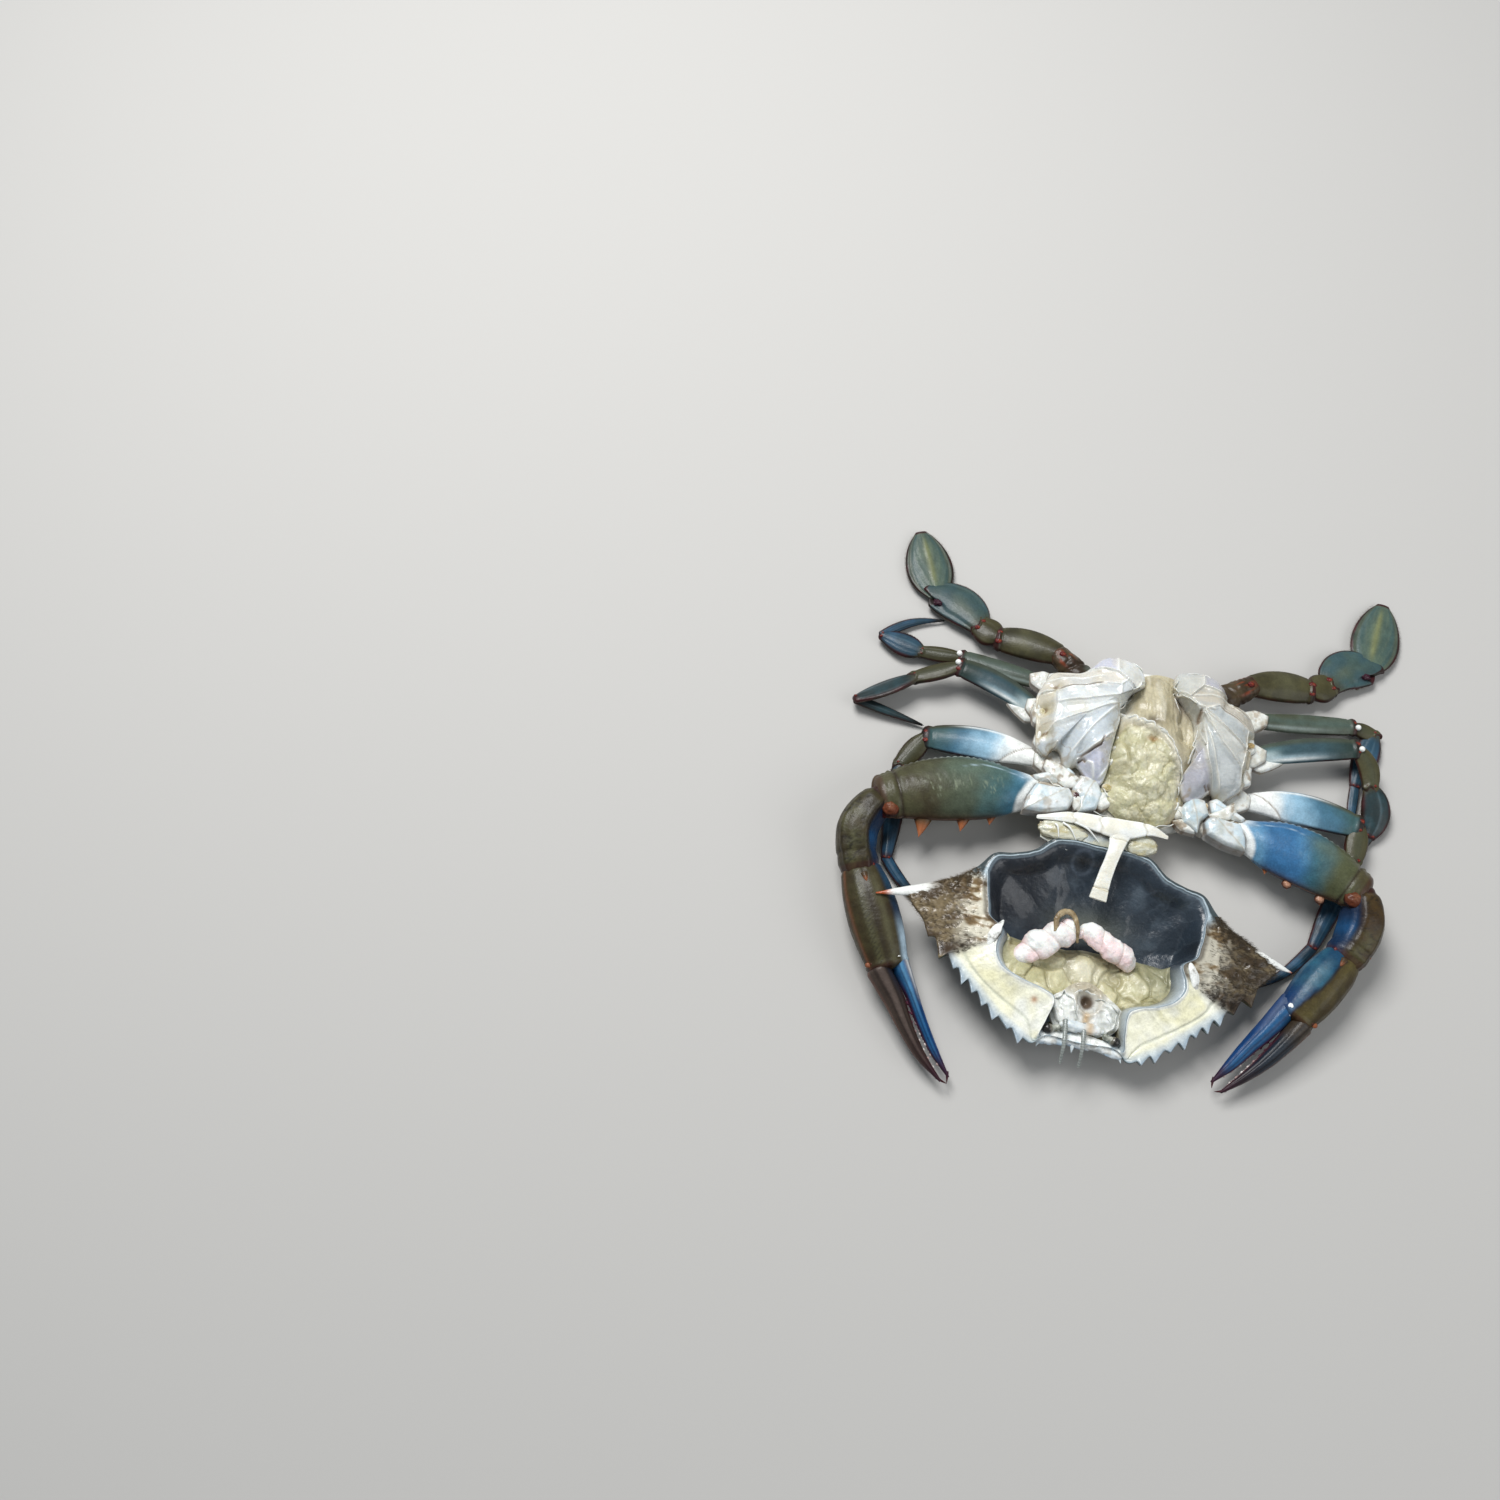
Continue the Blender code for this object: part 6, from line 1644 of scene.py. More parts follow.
def margin_plates(shape):
    """The white edges of the leg sockets around the body, with tan hollows and red spots."""
    for k, (outline, height) in enumerate(MARGIN):
        def tint(q, share):
            return painted(
                (226, 228, 222), ((202, 200, 188), step(fbm(q, 3.0, k), -0.2, 0.6)),
                ((140, 116, 82), step(fbm(q, 2.6, k + 40), 0.1, 0.5) * 0.7),
                ((96, 70, 46), bell(share, 0.985, 0.03) * 0.8))
        plate(shape, outline, height, 1.9, 3.0, tint, rough=0.55, seed=k, square=0.8)
    for x, y, z, r, hue in MARGIN_SPOTS:
        def ringed(q, hue=hue):
            out = np.hypot(q[..., 0], q[..., 1])
            return mix(mix(hue, BLACK, step(out, 0.5, 0.0) * 0.25), tone(214, 206, 186),
                       step(out, 0.72, 0.98) * 0.9)
        ball(shape, (x, y, z - 0.5), (r * 1.15, r * 0.95, r * 0.4), ringed, rough=0.35, seed=int(r * 10),
             rows=24, columns=32)
    for k, (x0, y0, x1, y1) in enumerate(MARGIN_FRILLS):
        bend = [(x0, y0, 16.6), ((x0 + x1) / 2, (y0 + y1) / 2 - 0.8, 17.2), (x1, y1, 16.6)]
        frill(shape, bend, 2.6, tone(222, 218, 200), lean=12, seed=k + 31)


# The upturned shell

SHELL_AT = (-13.0, -88.0)
SHELL_EDGE = 17.0
SHELL_LEAN = 0.065
SHELL_WALL = 1.8
SHELL_OUTLINE = (       # the outer edge, the hollow's edge and its rise, from the rear to the front
    (0, 42, 0, 41, 0.3), (12, 42.5, 11.5, 41.5, 0.3), (20, 40.8, 19.2, 39.8, 0.3),
    (27, 34.8, 26, 33.8, 0.5), (35, 31.8, 34.5, 30.6, 0.3), (42.5, 30, 41.5, 28.8, 0.3),
    (48, 23.5, 44.5, 23, 0.6), (54, 18, 44, 18, 1.2), (62, 14, 43.5, 13, 1.8), (73, 6.5, 42.5, 8.5, 2.2),
    (67, -2, 41.5, 3.5, 2.6), (60, -9.5, 36, -1, 3.2), (53.5, -16, 37.5, -7, 3.8),
    (48.4, -20.6, 37, -12, 4.2), (43.9, -24.6, 33, -17.0, 4.2), (38.9, -29.1, 26, -20.0, 4.2),
    (33.7, -33.6, 18.5, -22.0, 4), (27.4, -37.6, 14.6, -25.0, 3.7), (22, -41, 15.4, -33, 2.4),
    (18.3, -42, 16.4, -38.8, 0.2), (13, -38.0, 12, -36.6, -3), (0, -38.5, 0, -36.8, -3),
)
TOOTHED_EDGE = SHELL_OUTLINE[10:19]
SHELL_COUNT = 760
SHELL_TEETH = 9
SHELL_TOOTH = 3.6
SHELL_SPINES = {-1: 22.3, 1: 15.0}
SPINE_ROOT = (65.0, 10.2)
SPINE_SWEEP = math.radians(16.0)
SHELL_DROP = -0.35          # the shell is set down by this much, onto its small flat


def shell_place(u, v, z):
    """A place on the shell: u to +X from its middle line, v to the tail; the shell leans to +X."""
    u, v, z = np.broadcast_arrays(np.asarray(u, float), v, z)
    return np.stack([SHELL_AT[0] + u, SHELL_AT[1] + v, z - u * SHELL_LEAN + SHELL_DROP], axis=-1)


def shell_path(places):
    return shell_place(*np.array(places, float).T)


def shell_outlines():
    """The outer edge and the edge of the hollow, of which the left front corner lies further in."""
    rows = [list(row) for row in SHELL_OUTLINE]
    rows += [[-ou, ov, -iu, iv, rise] for ou, ov, iu, iv, rise in rows[-2:0:-1]]
    rows = np.array(rows, float)
    rows[:, 2] += 2.0 * bell(rows[:, 3], -26, 7) * (np.abs(rows[:, 2]) < 27)
    outer = closed_curve(np.column_stack([rows[:, 0:2], np.zeros(len(rows))]), SHELL_COUNT)
    inner = closed_curve(rows[:, 2:5], SHELL_COUNT)
    plan = inner * np.array([1, 1, 0])
    nick = noise(plan, 3.4, 127) * 0.35 + noise(plan, 1.3, 128) * 0.15
    inner[:, :2] *= (1 + nick * 0.012)[:, None]
    inner[:, 2] += nick * 0.7
    return outer, inner


def toothed(outer):
    """The outer edge with a row of flat, pointed teeth on each side, bent towards the front."""
    points = outer.copy()
    tangent = unit(np.roll(outer, -3, 0) - np.roll(outer, 3, 0))
    for side in (-1, 1):
        gap, along = stroke(outer, [(u * side, v) for u, v, _, _, _ in TOOTHED_EDGE])
        near = (step(gap, 1.6, 0.6) * (outer[:, 0] * side > 0) * step(along, 0.0, 0.04)
                * step(along, 1.0, 0.985))
        number = along * SHELL_TEETH
        phase = number % 1.0
        uneven = 0.85 + 0.3 * np.sin(np.floor(number) * 2.7 + side)
        high = np.where(phase > 0.70, (1 - phase) / 0.30, phase / 0.70) ** 1.35 * near * uneven
        forward = tangent * np.sign(-tangent[:, 1:2])
        away = unit(on_plan(forward[:, 1], -forward[:, 0]))
        away = away * np.sign((away * outer).sum(-1, keepdims=True))
        points += (away + forward * 0.45) * (high * SHELL_TOOTH * (1.1 - 0.3 * along))[:, None]
    return points


def bowl(share):
    return (SHELL_EDGE - SHELL_WALL) * share ** 2.4


def dress_shell():
    outer, inner = shell_outlines()
    out_u, out_v = outer[:, 0], outer[:, 1]
    in_u, in_v, rise = inner[:, 0], inner[:, 1], inner[:, 2]
    reach = np.hypot(in_u, in_v) / np.hypot(out_u, out_v)
    lateral = step(np.abs(out_u), 47, 51) * step(out_v, -17, -13)
    front = step(out_v, -8, -16) * step(np.abs(out_u), 14.5, 17)
    brow = step(out_v, -20, -30) * step(np.abs(out_u), 17, 14.5)
    rear = step(out_v, 16, 22)

    # the back, which now lies underneath
    teeth = toothed(outer) - outer
    back_shares = np.sin(np.linspace(0.01, 1, 48) * math.pi / 2)[:, None]
    reaching = step(back_shares, 0.93, 1.0)
    back = shell_place(
        out_u * back_shares + teeth[:, 0] * reaching, out_v * back_shares + teeth[:, 1] * reaching,
        bowl(back_shares) + 0.9 * step(np.hypot(teeth[:, 0], teeth[:, 1]), 0, 3) * reaching)
    # the brim: plates between the outer edge and the hollow's edge
    f = np.linspace(0, 1, 50)[:, None]
    reaching = step(f, 0.14, 0.0)
    bu = out_u + (in_u - out_u) * f + teeth[:, 0] * reaching
    bv = out_v + (in_v - out_v) * f + teeth[:, 1] * reaching
    pointed = step(np.hypot(teeth[:, 0], teeth[:, 1]), 0.3, 2.4) * reaching
    bq = on_plan(bu, bv)
    lift = SHELL_EDGE + rise * np.minimum(f * 1.1, 1.0) ** 0.9
    width = np.hypot(in_u - out_u, in_v - out_v)
    inner_gap = (1 - f) * width
    outer_gap = f * width
    lip = 0.5 * step(inner_gap, 1.3, 0.0) + 0.35 * step(outer_gap, 1.2, 0.0) * (1 - pointed) + 0.9 * pointed
    dish = -0.7 * front * np.sin(np.pi * f) + 0.35 * front * fbm(bq, 7.0, 121)
    crease = front * bell(f + 0.05 * noise(bq, 9.0, 122), 0.30, 0.035)
    tufts = lateral * (1.1 * np.abs(fbm(bq, 4.5, 123)) + 0.35 * fbm(bq, 1.3, 124)) * np.sin(np.pi * f) ** 0.5
    brim = shell_place(bu, bv, lift + dish + lip * (front + rear * 0.5 + brow * 0.6) + tufts - crease * 0.5)
    # the thin, curled rim and the wall of the hollow
    rim_f = np.linspace(0, 1, 6)[1:, None]
    ru = in_u * (1 - 0.012 * rim_f)
    rv = in_v * (1 - 0.012 * rim_f)
    rim = shell_place(ru, rv, SHELL_EDGE + rise + 0.5 - 0.9 * rim_f ** 2)
    hollow_shares = np.concatenate([np.linspace(0.984, 0.80, 26), np.linspace(0.79, 0.01, 54)])[:, None]
    hu, hv = in_u * hollow_shares, in_v * hollow_shares
    depth = bowl(np.minimum(reach * hollow_shares, 1.0)) + SHELL_WALL
    rim_height = SHELL_EDGE + rise - 0.5
    blend = step(hollow_shares, 0.82, 0.984)
    hz = depth * (1 - blend) + rim_height * blend
    hq = on_plan(hu, hv)
    humps = (0.7 * blot(hq, -6, 22, width=7) + 0.6 * blot(hq, 6, 22, width=7)
             - 0.7 * bell(np.hypot(np.abs(hu) - 24, hv - 10), 0, 9)
             + 0.5 * bell(np.abs(hu), 14, 2.0) * step(hv, 0, 12))
    facet, other = cells(shifted(hq, 10.0, 146, 2.5), 15.0, 126)
    hz = hz + (humps * 0.9 + 0.35 * fbm(hq, 9.0, 125) + 0.9 * np.abs(fbm(hq, 17.0, 145)) - 0.10 * bell(
        other - facet, 0, 0.08)) * (1 - step(hollow_shares, 0.85, 0.93))
    hollow = shell_place(hu, hv, hz)

    # colours
    bp = on_plan(out_u * back_shares, out_v * back_shares)
    back_tint = painted(
        OLIVE, (OLIVE_DARK, step(fbm(bp, 9.0, 131), -0.3, 0.5) * 0.7),
        (TEAL_GREY, step(back_shares, 0.88, 1.0) * front * 0.7))
    near, _ = cells(bp, 2.3, 133)
    back_tint = mix(back_tint, OLIVE_PALE, step(near, 0.35, 0.15) * 0.35)
    plates = painted(
        CREAM, (WHITE, step(fbm(bq, 8.0, 135), -0.3, 0.5) * 0.7),
        ((238, 232, 180), bell(fbm(bq, 10.0, 136), 0.45, 0.3) * step(outer_gap, 3, 6) * 0.5),
        ((196, 200, 182), crease * 0.6),
        ((190, 202, 210), step(outer_gap, 3.2, 1.2) * 0.7),
        ((118, 138, 152), step(outer_gap, 1.3, 0.2) * 0.75),
        (WHITE, step(inner_gap, 1.4, 0.5) * 0.8),
        ((150, 168, 182), pointed * 0.8),
        ((214, 222, 228), step(pointed, 0.8, 1.0) * step(f, 0.03, 0.0) * 0.5),
        ((170, 112, 70), blot(bq, -20, -26, width=1.3) * 0.8))
    grain = on_plan(bu * 0.4, bv * 1.5 + 1.6 * fbm(bq, 7.0, 151))
    streak = 0.6 * fbm(grain, 2.4, 137, 4) + 0.7 * fbm(bq, 5.5, 150, 4)
    outward = step(np.abs(bu), 47, 57)
    fur = mix(tone(132, 116, 86), tone(84, 68, 46), step(streak, -0.4, 0.4))
    fur = painted(
        mix(tone(232, 226, 206), tone(150, 124, 84), step(streak, -0.05, 0.45)), (fur, outward),
        ((60, 44, 28), step(bv, -3, -13) * step(streak, -0.5, 0.2) * 0.85),
        ((70, 54, 36), bell(streak, 0.55, 0.2) * 0.5),
        ((58, 46, 34), step(inner_gap, 2.6, 1.0) * 0.7))
    fur = fur * np.where(bu > 0, 0.62, 0.88)[..., None]
    bluish = mix(tone(190, 212, 226), WHITE, step(fbm(bq, 3.0, 138), -0.3, 0.4))
    rears = mix(tone(62, 72, 74), tone(172, 188, 196), step(f + 0.12 * fbm(bq, 5.0, 152), 0.62, 0.9))
    brim_tint = painted(
        mix(plates, fur, lateral), (bluish, brow),
        (rears, rear))
    rim_tint = mix(tone(206, 218, 224), tone(130, 146, 156), rim_f ** 0.6 + 0 * ru)
    swirl = np.abs(fbm(shifted(hq, 12.0, 5, 9), 9.0, 143))
    lining = painted(
        SLATE, (SLATE_PALE, step(fbm(hq, 9.0, 141, 4), 0.1, 0.8) * 0.5),
        ((96, 108, 118), bell(swirl, 0, 0.04) * 0.22),
        ((30, 36, 44), bell(other - facet, 0, 0.12) * 0.25),
        ((34, 36, 42), step(hu, 0, -25) * step(hv, -4, 12) * 0.75),
        ((118, 122, 108), blot(hq, 0, 12, 13, 6) * 0.55))
    spot = np.hypot(hu + 6.4, hv - 35.2)
    lining = painted(
        lining, ((80, 90, 102), bell(spot, 4.0, 0.7) * 0.7),
        (BLACK, bell(spot, 0, 2.4) * 0.7),
        (BLACK, blot(hq, 41, 8, width=4.0) * 0.6),
        (KHAKI, step(hv, -4, -20) * 0.5),
        ((120, 136, 146), step(hollow_shares, 0.965, 0.984) * 0.7),
        ((186, 198, 204), step(hollow_shares, 0.87, 0.95) * front * 0.8))

    shape = Shape()
    points = np.concatenate([back[:-1], brim, rim, hollow], axis=0)
    tints = np.concatenate([back_tint[:-1], brim_tint, rim_tint, lining], axis=0)
    shape.grid(points, tints)
    tree = shape.top()
    shell_hooks(shape)
    shell_spines(shape)
    shell_brow(shape)
    shape.make("carapace", CARAPACE, "carapace", "shell")
    shell_fur(outer, inner, lateral, tree)
    return tree


def shell_hooks(shape):
    """The curled lips where the hollow's edge turns up between the plates and the felt."""
    for side, path in ((-1, ((-41, -7.5, 19.0), (-39.2, -4.2, 20.4), (-37.4, -0.8, 21.0),
                             (-35.6, 2.6, 19.2))),
                             (1, ((42.2, -8.5, 18.6), (40.8, -5.0, 19.8), (39.4, -1.6, 20.2),
                                  (38.8, 2.0, 18.6)))):
        lip = Limb(shell_path(path), (4.2, 4.8, 3.4, 0.9), (1.6, 1.8, 1.6, 0.9), rows=90,
                   columns=40, roll=side * 28.0, ends=(0.5, 0.3))
        p = lip.points
        skin = painted(
            (176, 188, 194), (WHITE, step(lip.u + 0.4 * fbm(p, 2.0, 156), -0.6, 0.3)),
            ((96, 84, 64), bell(fbm(p, 2.4, 157), 0.35, 0.12) * 0.6))
        shape.grid(raised(p, 0.35 * fbm(p, 2.6, 158) + 0.08 * fbm(p, 0.9, 159)), skin)


BROW_LINE = ((-17.5, -38.8), (-12, -38.3), (-6, -37.6), (0, -37.4), (6, -37.4), (12, -38.4), (16.5, -39.4))


BROW_TEETH = (          # place, length and width
    (-15.5, -39.4, 3.4, 3.6), (-2.6, -38.6, 4.0, 3.4), (3.2, -38.4, 2.2, 2.6), (8.0, -38.6, 1.6, 2.4),
    (15.5, -39.6, 3.2, 3.4), (-9.0, -38.8, 1.6, 2.4),
)
# Each eye socket: middle, colour, and how far its white rim is held back. The right socket's dark grey and
# faint rim are painted shadow in its deep orbit.
SOCKETS = (((-13.0, -33.0), tone(150, 172, 190), 0.2), ((13.2, -32.0), tone(58, 60, 58), 0.8))


def shell_brow(shape):
    """The front margin over the face: a bluish white ledge with six blunt teeth, and the eye sockets."""
    path = shell_path([(u, v, 15.0) for u, v in BROW_LINE])
    ledge = Limb(path, (4.0, 5.4, 4.4, 6.0, 4.6, 5.4, 4.0), (1.6, 1.8, 1.6, 2.2, 1.6, 1.8, 1.6), rows=180,
                 columns=56, ends=(0.6, 0.6), keen=0.4)
    p = ledge.points
    skin = painted(
        (176, 204, 222), (WHITE, step(fbm(p, 3.0, 155) + 0.5 * ledge.u, -0.4, 0.5)),
        ((118, 140, 158), step(ledge.s, -0.3, -0.9) * 0.5),
        ((150, 140, 116), bell(fbm(p, 2.6, 156), 0.35, 0.12) * 0.4))
    shape.grid(raised(p, 0.8 * np.abs(fbm(p, 3.2, 153)) + 0.2 * fbm(p, 1.0, 154)), skin)
    for u, v, length, width in BROW_TEETH:
        root = shell_place(u, v, 15.2)
        cone(shape, root, np.array([0.02 * u, -1.0, -0.1]), length, width, WHITE, tone(198, 210, 214),
             flat=0.5, sunk=1.6, sides=16, rows=14, hollow=1.1)
    for (u, v), hue, deep in SOCKETS:
        outline = [(SHELL_AT[0] + u + 4.6 * math.cos(a), SHELL_AT[1] + v + 5.0 * math.sin(a))
                   for a in np.arange(10) * math.pi / 5]

        # the right socket is painted dark as shadow, with little white at its rim
        def tint(q, share, hue=hue, deep=deep):
            return painted(
                hue, (WHITE, step(share, 0.75, 1.0) * (1 - deep)),
                ((96, 118, 138), step(share, 0.6, 0.1) * 0.7))
        plate(shape, outline, 13.2 - u * SHELL_LEAN, -3.4, 4.0, tint, rough=0.5, seed=int(u + 40))


def shell_spines(shape):
    for side in (-1, 1):
        root = shell_place(SPINE_ROOT[0] * side, SPINE_ROOT[1], SHELL_EDGE - SHELL_WALL / 2)
        length = SHELL_SPINES[side]
        way = np.array([side * math.cos(SPINE_SWEEP), -math.sin(SPINE_SWEEP), 0.07 if side < 0 else -0.03])
        f = np.linspace(0, 1, 40)
        path = root - way * 6 + way * (length + 6) * f[:, None]
        horn = Limb(path, between((7, 5.6, 4.2, 2.6, 0.5), f), between((3.2, 3.0, 2.6, 1.8, 0.5), f), rows=60,
                    columns=32, ends=(0, 0))
        t = horn.t
        skin = painted(
            (226, 226, 220), (WHITE, step(t, 0.2, 0.5)),
            (FUR, step(t, 0.3, 0.12) * 0.7),
            ((176, 84, 40), step(t, 0.72, 0.9) if side < 0 else step(t, 0.9, 1.0)))
        shape.grid(raised(horn.points, 0.08 * fbm(horn.points, 2.5, 151)), skin)


FELT_HAIRS = 12500      # before some are left out
FELT_SPAN = 180.0       # the stretch of shell that the felt's UV square covers


def shell_fur(outer, inner, lateral, tree):
    """The brown felt on the shell's flanks: short matted hairs lying outwards and to the front."""
    draw = np.random.default_rng(11)
    chosen = np.flatnonzero(lateral > 0.4)
    column = draw.choice(chosen, FELT_HAIRS)
    f = draw.uniform(0.0, 0.92, FELT_HAIRS) ** 1.15
    u = outer[column, 0] + (inner[column, 0] - outer[column, 0]) * f
    v = outer[column, 1] + (inner[column, 1] - outer[column, 1]) * f
    edge_gap = np.abs(u) - 47
    keep = draw.uniform(0, 1, FELT_HAIRS) < np.clip(0.28 + edge_gap / 11 + (v < -6) * 0.5, 0.1, 1.0)
    u, v = u[keep], v[keep]
    q = shell_place(u, v, 0)
    ground = heights(tree, q[:, 0], q[:, 1], SHELL_EDGE)
    roots = np.column_stack([q[:, :2], ground - 0.15])
    side = np.sign(u)
    sway = noise(on_plan(u, v), 6.0, 139)
    ways = np.stack([side, -0.15 + 0.7 * sway + draw.normal(0, 0.18, len(u)),
                     draw.uniform(0.05, 0.35, len(u))], -1)
    warm = draw.uniform(0, 1, len(u))
    dark = np.clip(step(v, -4, -12) * 0.8 + 0.3 * draw.uniform(0, 1, len(u)), 0, 1)
    shade = np.where(u > 0, 0.42, 0.7)[:, None]
    base = mix(mix(tone(112, 92, 64), tone(82, 62, 40), warm), tone(50, 36, 22), dark) * shade
    tips = mix(mix(tone(150, 132, 98), tone(108, 90, 62), warm), tone(76, 58, 38), dark) * shade
    shape = Shape()
    hairs(shape, roots, ways, draw.uniform(1.2, 2.6, len(u)), 0.13, base, tips, droop=0.12, seed=12)
    piece = shape.make("carapace_felt", BRISTLE, "carapace")
    corners = np.tile(draw.uniform(0, 0.003, (HAIR_POINTS, 2)), (len(u), 1))
    places = 0.5 + np.repeat(np.column_stack([u, v]), HAIR_POINTS, axis=0) / FELT_SPAN + corners
    layer = piece.data.uv_layers.new(name="OFBake")
    index = np.zeros(len(piece.data.loops), np.int32)
    piece.data.loops.foreach_get("vertex_index", index)
    layer.data.foreach_set("uv", places[index].astype(np.float32).ravel())


def dress_shell_organs(tree):
    """What stayed in the shell: khaki-yellow lobes and the pink-white gonads on them."""
    columns, rows = 234, 117
    u = np.linspace(-39, 37, columns)
    v = np.linspace(4.5, -23.5, rows)
    gu, gv = np.meshgrid(u, v)
    plan = shell_place(gu, gv, 0)
    ground = heights(tree, plan[..., 0], plan[..., 1], 8.0)
    ground = np.minimum(ground, 12.0 - gu * SHELL_LEAN)
    q = on_plan(gu, gv)
    rim = 2.2 + 1.2 * noise(q, 8.0, 167)
    edge = (step(gv, rim + 1.5, rim - 4) * step(gu, -37.5, -33) * step(gu, 36.5, 31) * step(gv, -23, -20.5))
    slope = np.clip((rim + 1 - gv - np.abs(gu + 4) * 0.06) / 7, 0, 1)
    warped = shifted(q, 9.0, 161, 3.0)
    near, far = cells(warped, 10.5, 163)
    small, small_far = cells(warped, 4.2, 164)
    crease = bell(far - near, 0, 0.09)
    thick = (5.6 * slope ** 0.6 + 2.4 * np.sqrt(np.maximum(1 - near ** 2 * 0.9, 0)) * slope
             - 0.9 * crease * slope - 1.2 * slope + 0.5 * (1 - small) * slope
             + 0.12 * fbm(q, 2.0, 168) * slope + 0.05 * fbm(q, 0.9, 165))
    edge = edge * (1 - step(np.hypot((gu - 1.8) / 7.5, (gv + 22.0) / 7.0), 1.0, 0.7))
    z = np.minimum(ground + thick, 12.6 - gu * SHELL_LEAN + 0.9 * fbm(q, 5.0, 160)) * edge
    z = np.maximum(z + (ground - 1.0) * (1 - edge), ground - 1.0)
    tint = painted(
        (184, 180, 140), ((206, 201, 165), step(fbm(q, 4.0, 166), -0.3, 0.5)),
        ((130, 124, 84), crease * 0.7),
        ((166, 156, 112), bell(small_far - small, 0, 0.12) * 0.3),
        ((234, 230, 208), step(1 - near, 0.55, 0.85) * 0.45),
        ((226, 222, 204), blot(q, 0, -8, 9, 6) * 0.5),
        ((112, 116, 92), step(gu, 15, 30) * step(gv, -16, -6) * 0.55),
        (SLATE_PALE, step(slope, 0.2, 0.0) * 0.7))
    top = plan.copy()
    top[..., 2] = z
    bottom = plan.copy()
    bottom[..., 2] = ground - 1.4
    for row in (0, -1):
        top[row, :, 2] = bottom[row, :, 2] = ground[row] - 1.4
    shape = Shape()
    shape.grid(slab(top, bottom), np.concatenate([tint, tint[:, ::-6]], axis=1), poles=(False, False))
    # the gonads: two arms of soft, smooth lobes
    arms = (((-26.5, -7.5, 10.2), (-22, -3.5, 11.5), (-16.5, 0, 12.6), (-12, 3.5, 13.2), (-8.0, 7.0, 12.8)),
            (5, 8.8, 8.6, 8.4, 7.0), 171), (
            ((-3.2, 6.8, 12.4), (2, 5, 12.8), (7.5, 2.5, 12.6), (12.5, 0.2, 12.0), (16.0, -1.2, 10.8)),
            (5.0, 7.2, 7.6, 8.2, 6.0), 176)
    for path, widths, seed in arms:
        line = shell_path(path)
        cord = Limb(line, widths, np.array(widths) * 0.72, rows=130, columns=64, ends=(1.0, 1.0))
        p = cord.points
        bulge = np.abs(np.sin(cord.t * 8.6 + seed + 0.5 * cord.s)) ** 0.6
        height = (1.1 * bulge * step(cord.u, -0.8, 0.3) + 1.4 * fbm(p, 4.4, seed)
                  + 0.06 * fbm(p, 1.6, seed + 2))
        # the lobes are whiter on top, partly their own white and partly a painted highlight, and pinker
        # underneath
        skin = painted(
            PINK, (WHITE, step(fbm(p, 5.0, seed + 3) + 0.5 * cord.u, -0.1, 0.8)),
            ((232, 190, 192), step(cord.u, 0.35, -0.4) * 0.6),
            ((206, 176, 160), step(bulge, 0.35, 0.1) * 0.4))
        shape.grid(raised(p, height), skin)
    thread = shell_path(((-14.5, 3.5, 16.8), (-14.6, 9, 17.6), (-11, 12.3, 16.6), (-7.6, 10.6, 16.6),
                         (-5.8, 5.5, 16.4), (-5.2, 1.5, 14.0)))
    cord = Limb(thread, (1.8, 2.2, 2.4, 2.0, 1.6, 1.0), (1.0, 1.2, 1.4, 1.2, 1.0, 0.8), rows=90, columns=20)
    shape.grid(raised(cord.points, 0.3 * fbm(cord.points, 1.6, 177)),
               mix(tone(128, 108, 76), tone(170, 152, 118), step(fbm(cord.points, 2.0, 178), -0.2, 0.5)))
    shape.make("shell_organs_skin", SOFT, "tissue", "shell_organs")


FACE_BEAM = ((-8, -32.5, 16.0), (-4, -32.5, 17.0), (4, -32.5, 17.0), (8, -32.5, 16.0))
FEELER_PLACES = (-6.6, 0.6)
FEELER_SIDE = ((-31, 17.0), (-36, 18.4), (-41.5, 18.4), (-47, 14.5))
EYE_ROOT = (9.0, -34.0)
EYE_TIP = (13.4, -35.4)
EYE_Z = 16.6
FACE_OUTLINE = (
    (-12.5, -22), (-8.5, -18.5), (-4.5, -14.5), (1, -12.5), (6.5, -14.5), (10, -18), (15.5, -22.5),
    (15, -28), (11.5, -32.5), (6, -35.5), (0, -36.4), (-6, -36.4), (-10.5, -33), (-12.8, -27.5),
)


FACE_FRILLS = (
    ((-12, -22.5), (-12.2, -28), (-9, -33.5), (-5.5, -36)), ((-12, -22), (-8, -19.5), (-5, -22), (-2.5, -27)),
    ((-2.5, -22), (-1.2, -26), (-0.5, -31)), ((4.2, -22), (4.0, -27), (3.8, -32)),
    ((5.5, -19), (10, -19.5), (14.5, -23)), ((14.6, -23.5), (13.5, -29), (9, -33.5)),
    ((-4, -18.5), (1, -16), (6, -18)), ((6, -24), (9.5, -26), (12, -30)),
    ((-9.5, -25), (-7, -29), (-7.5, -34)),
)


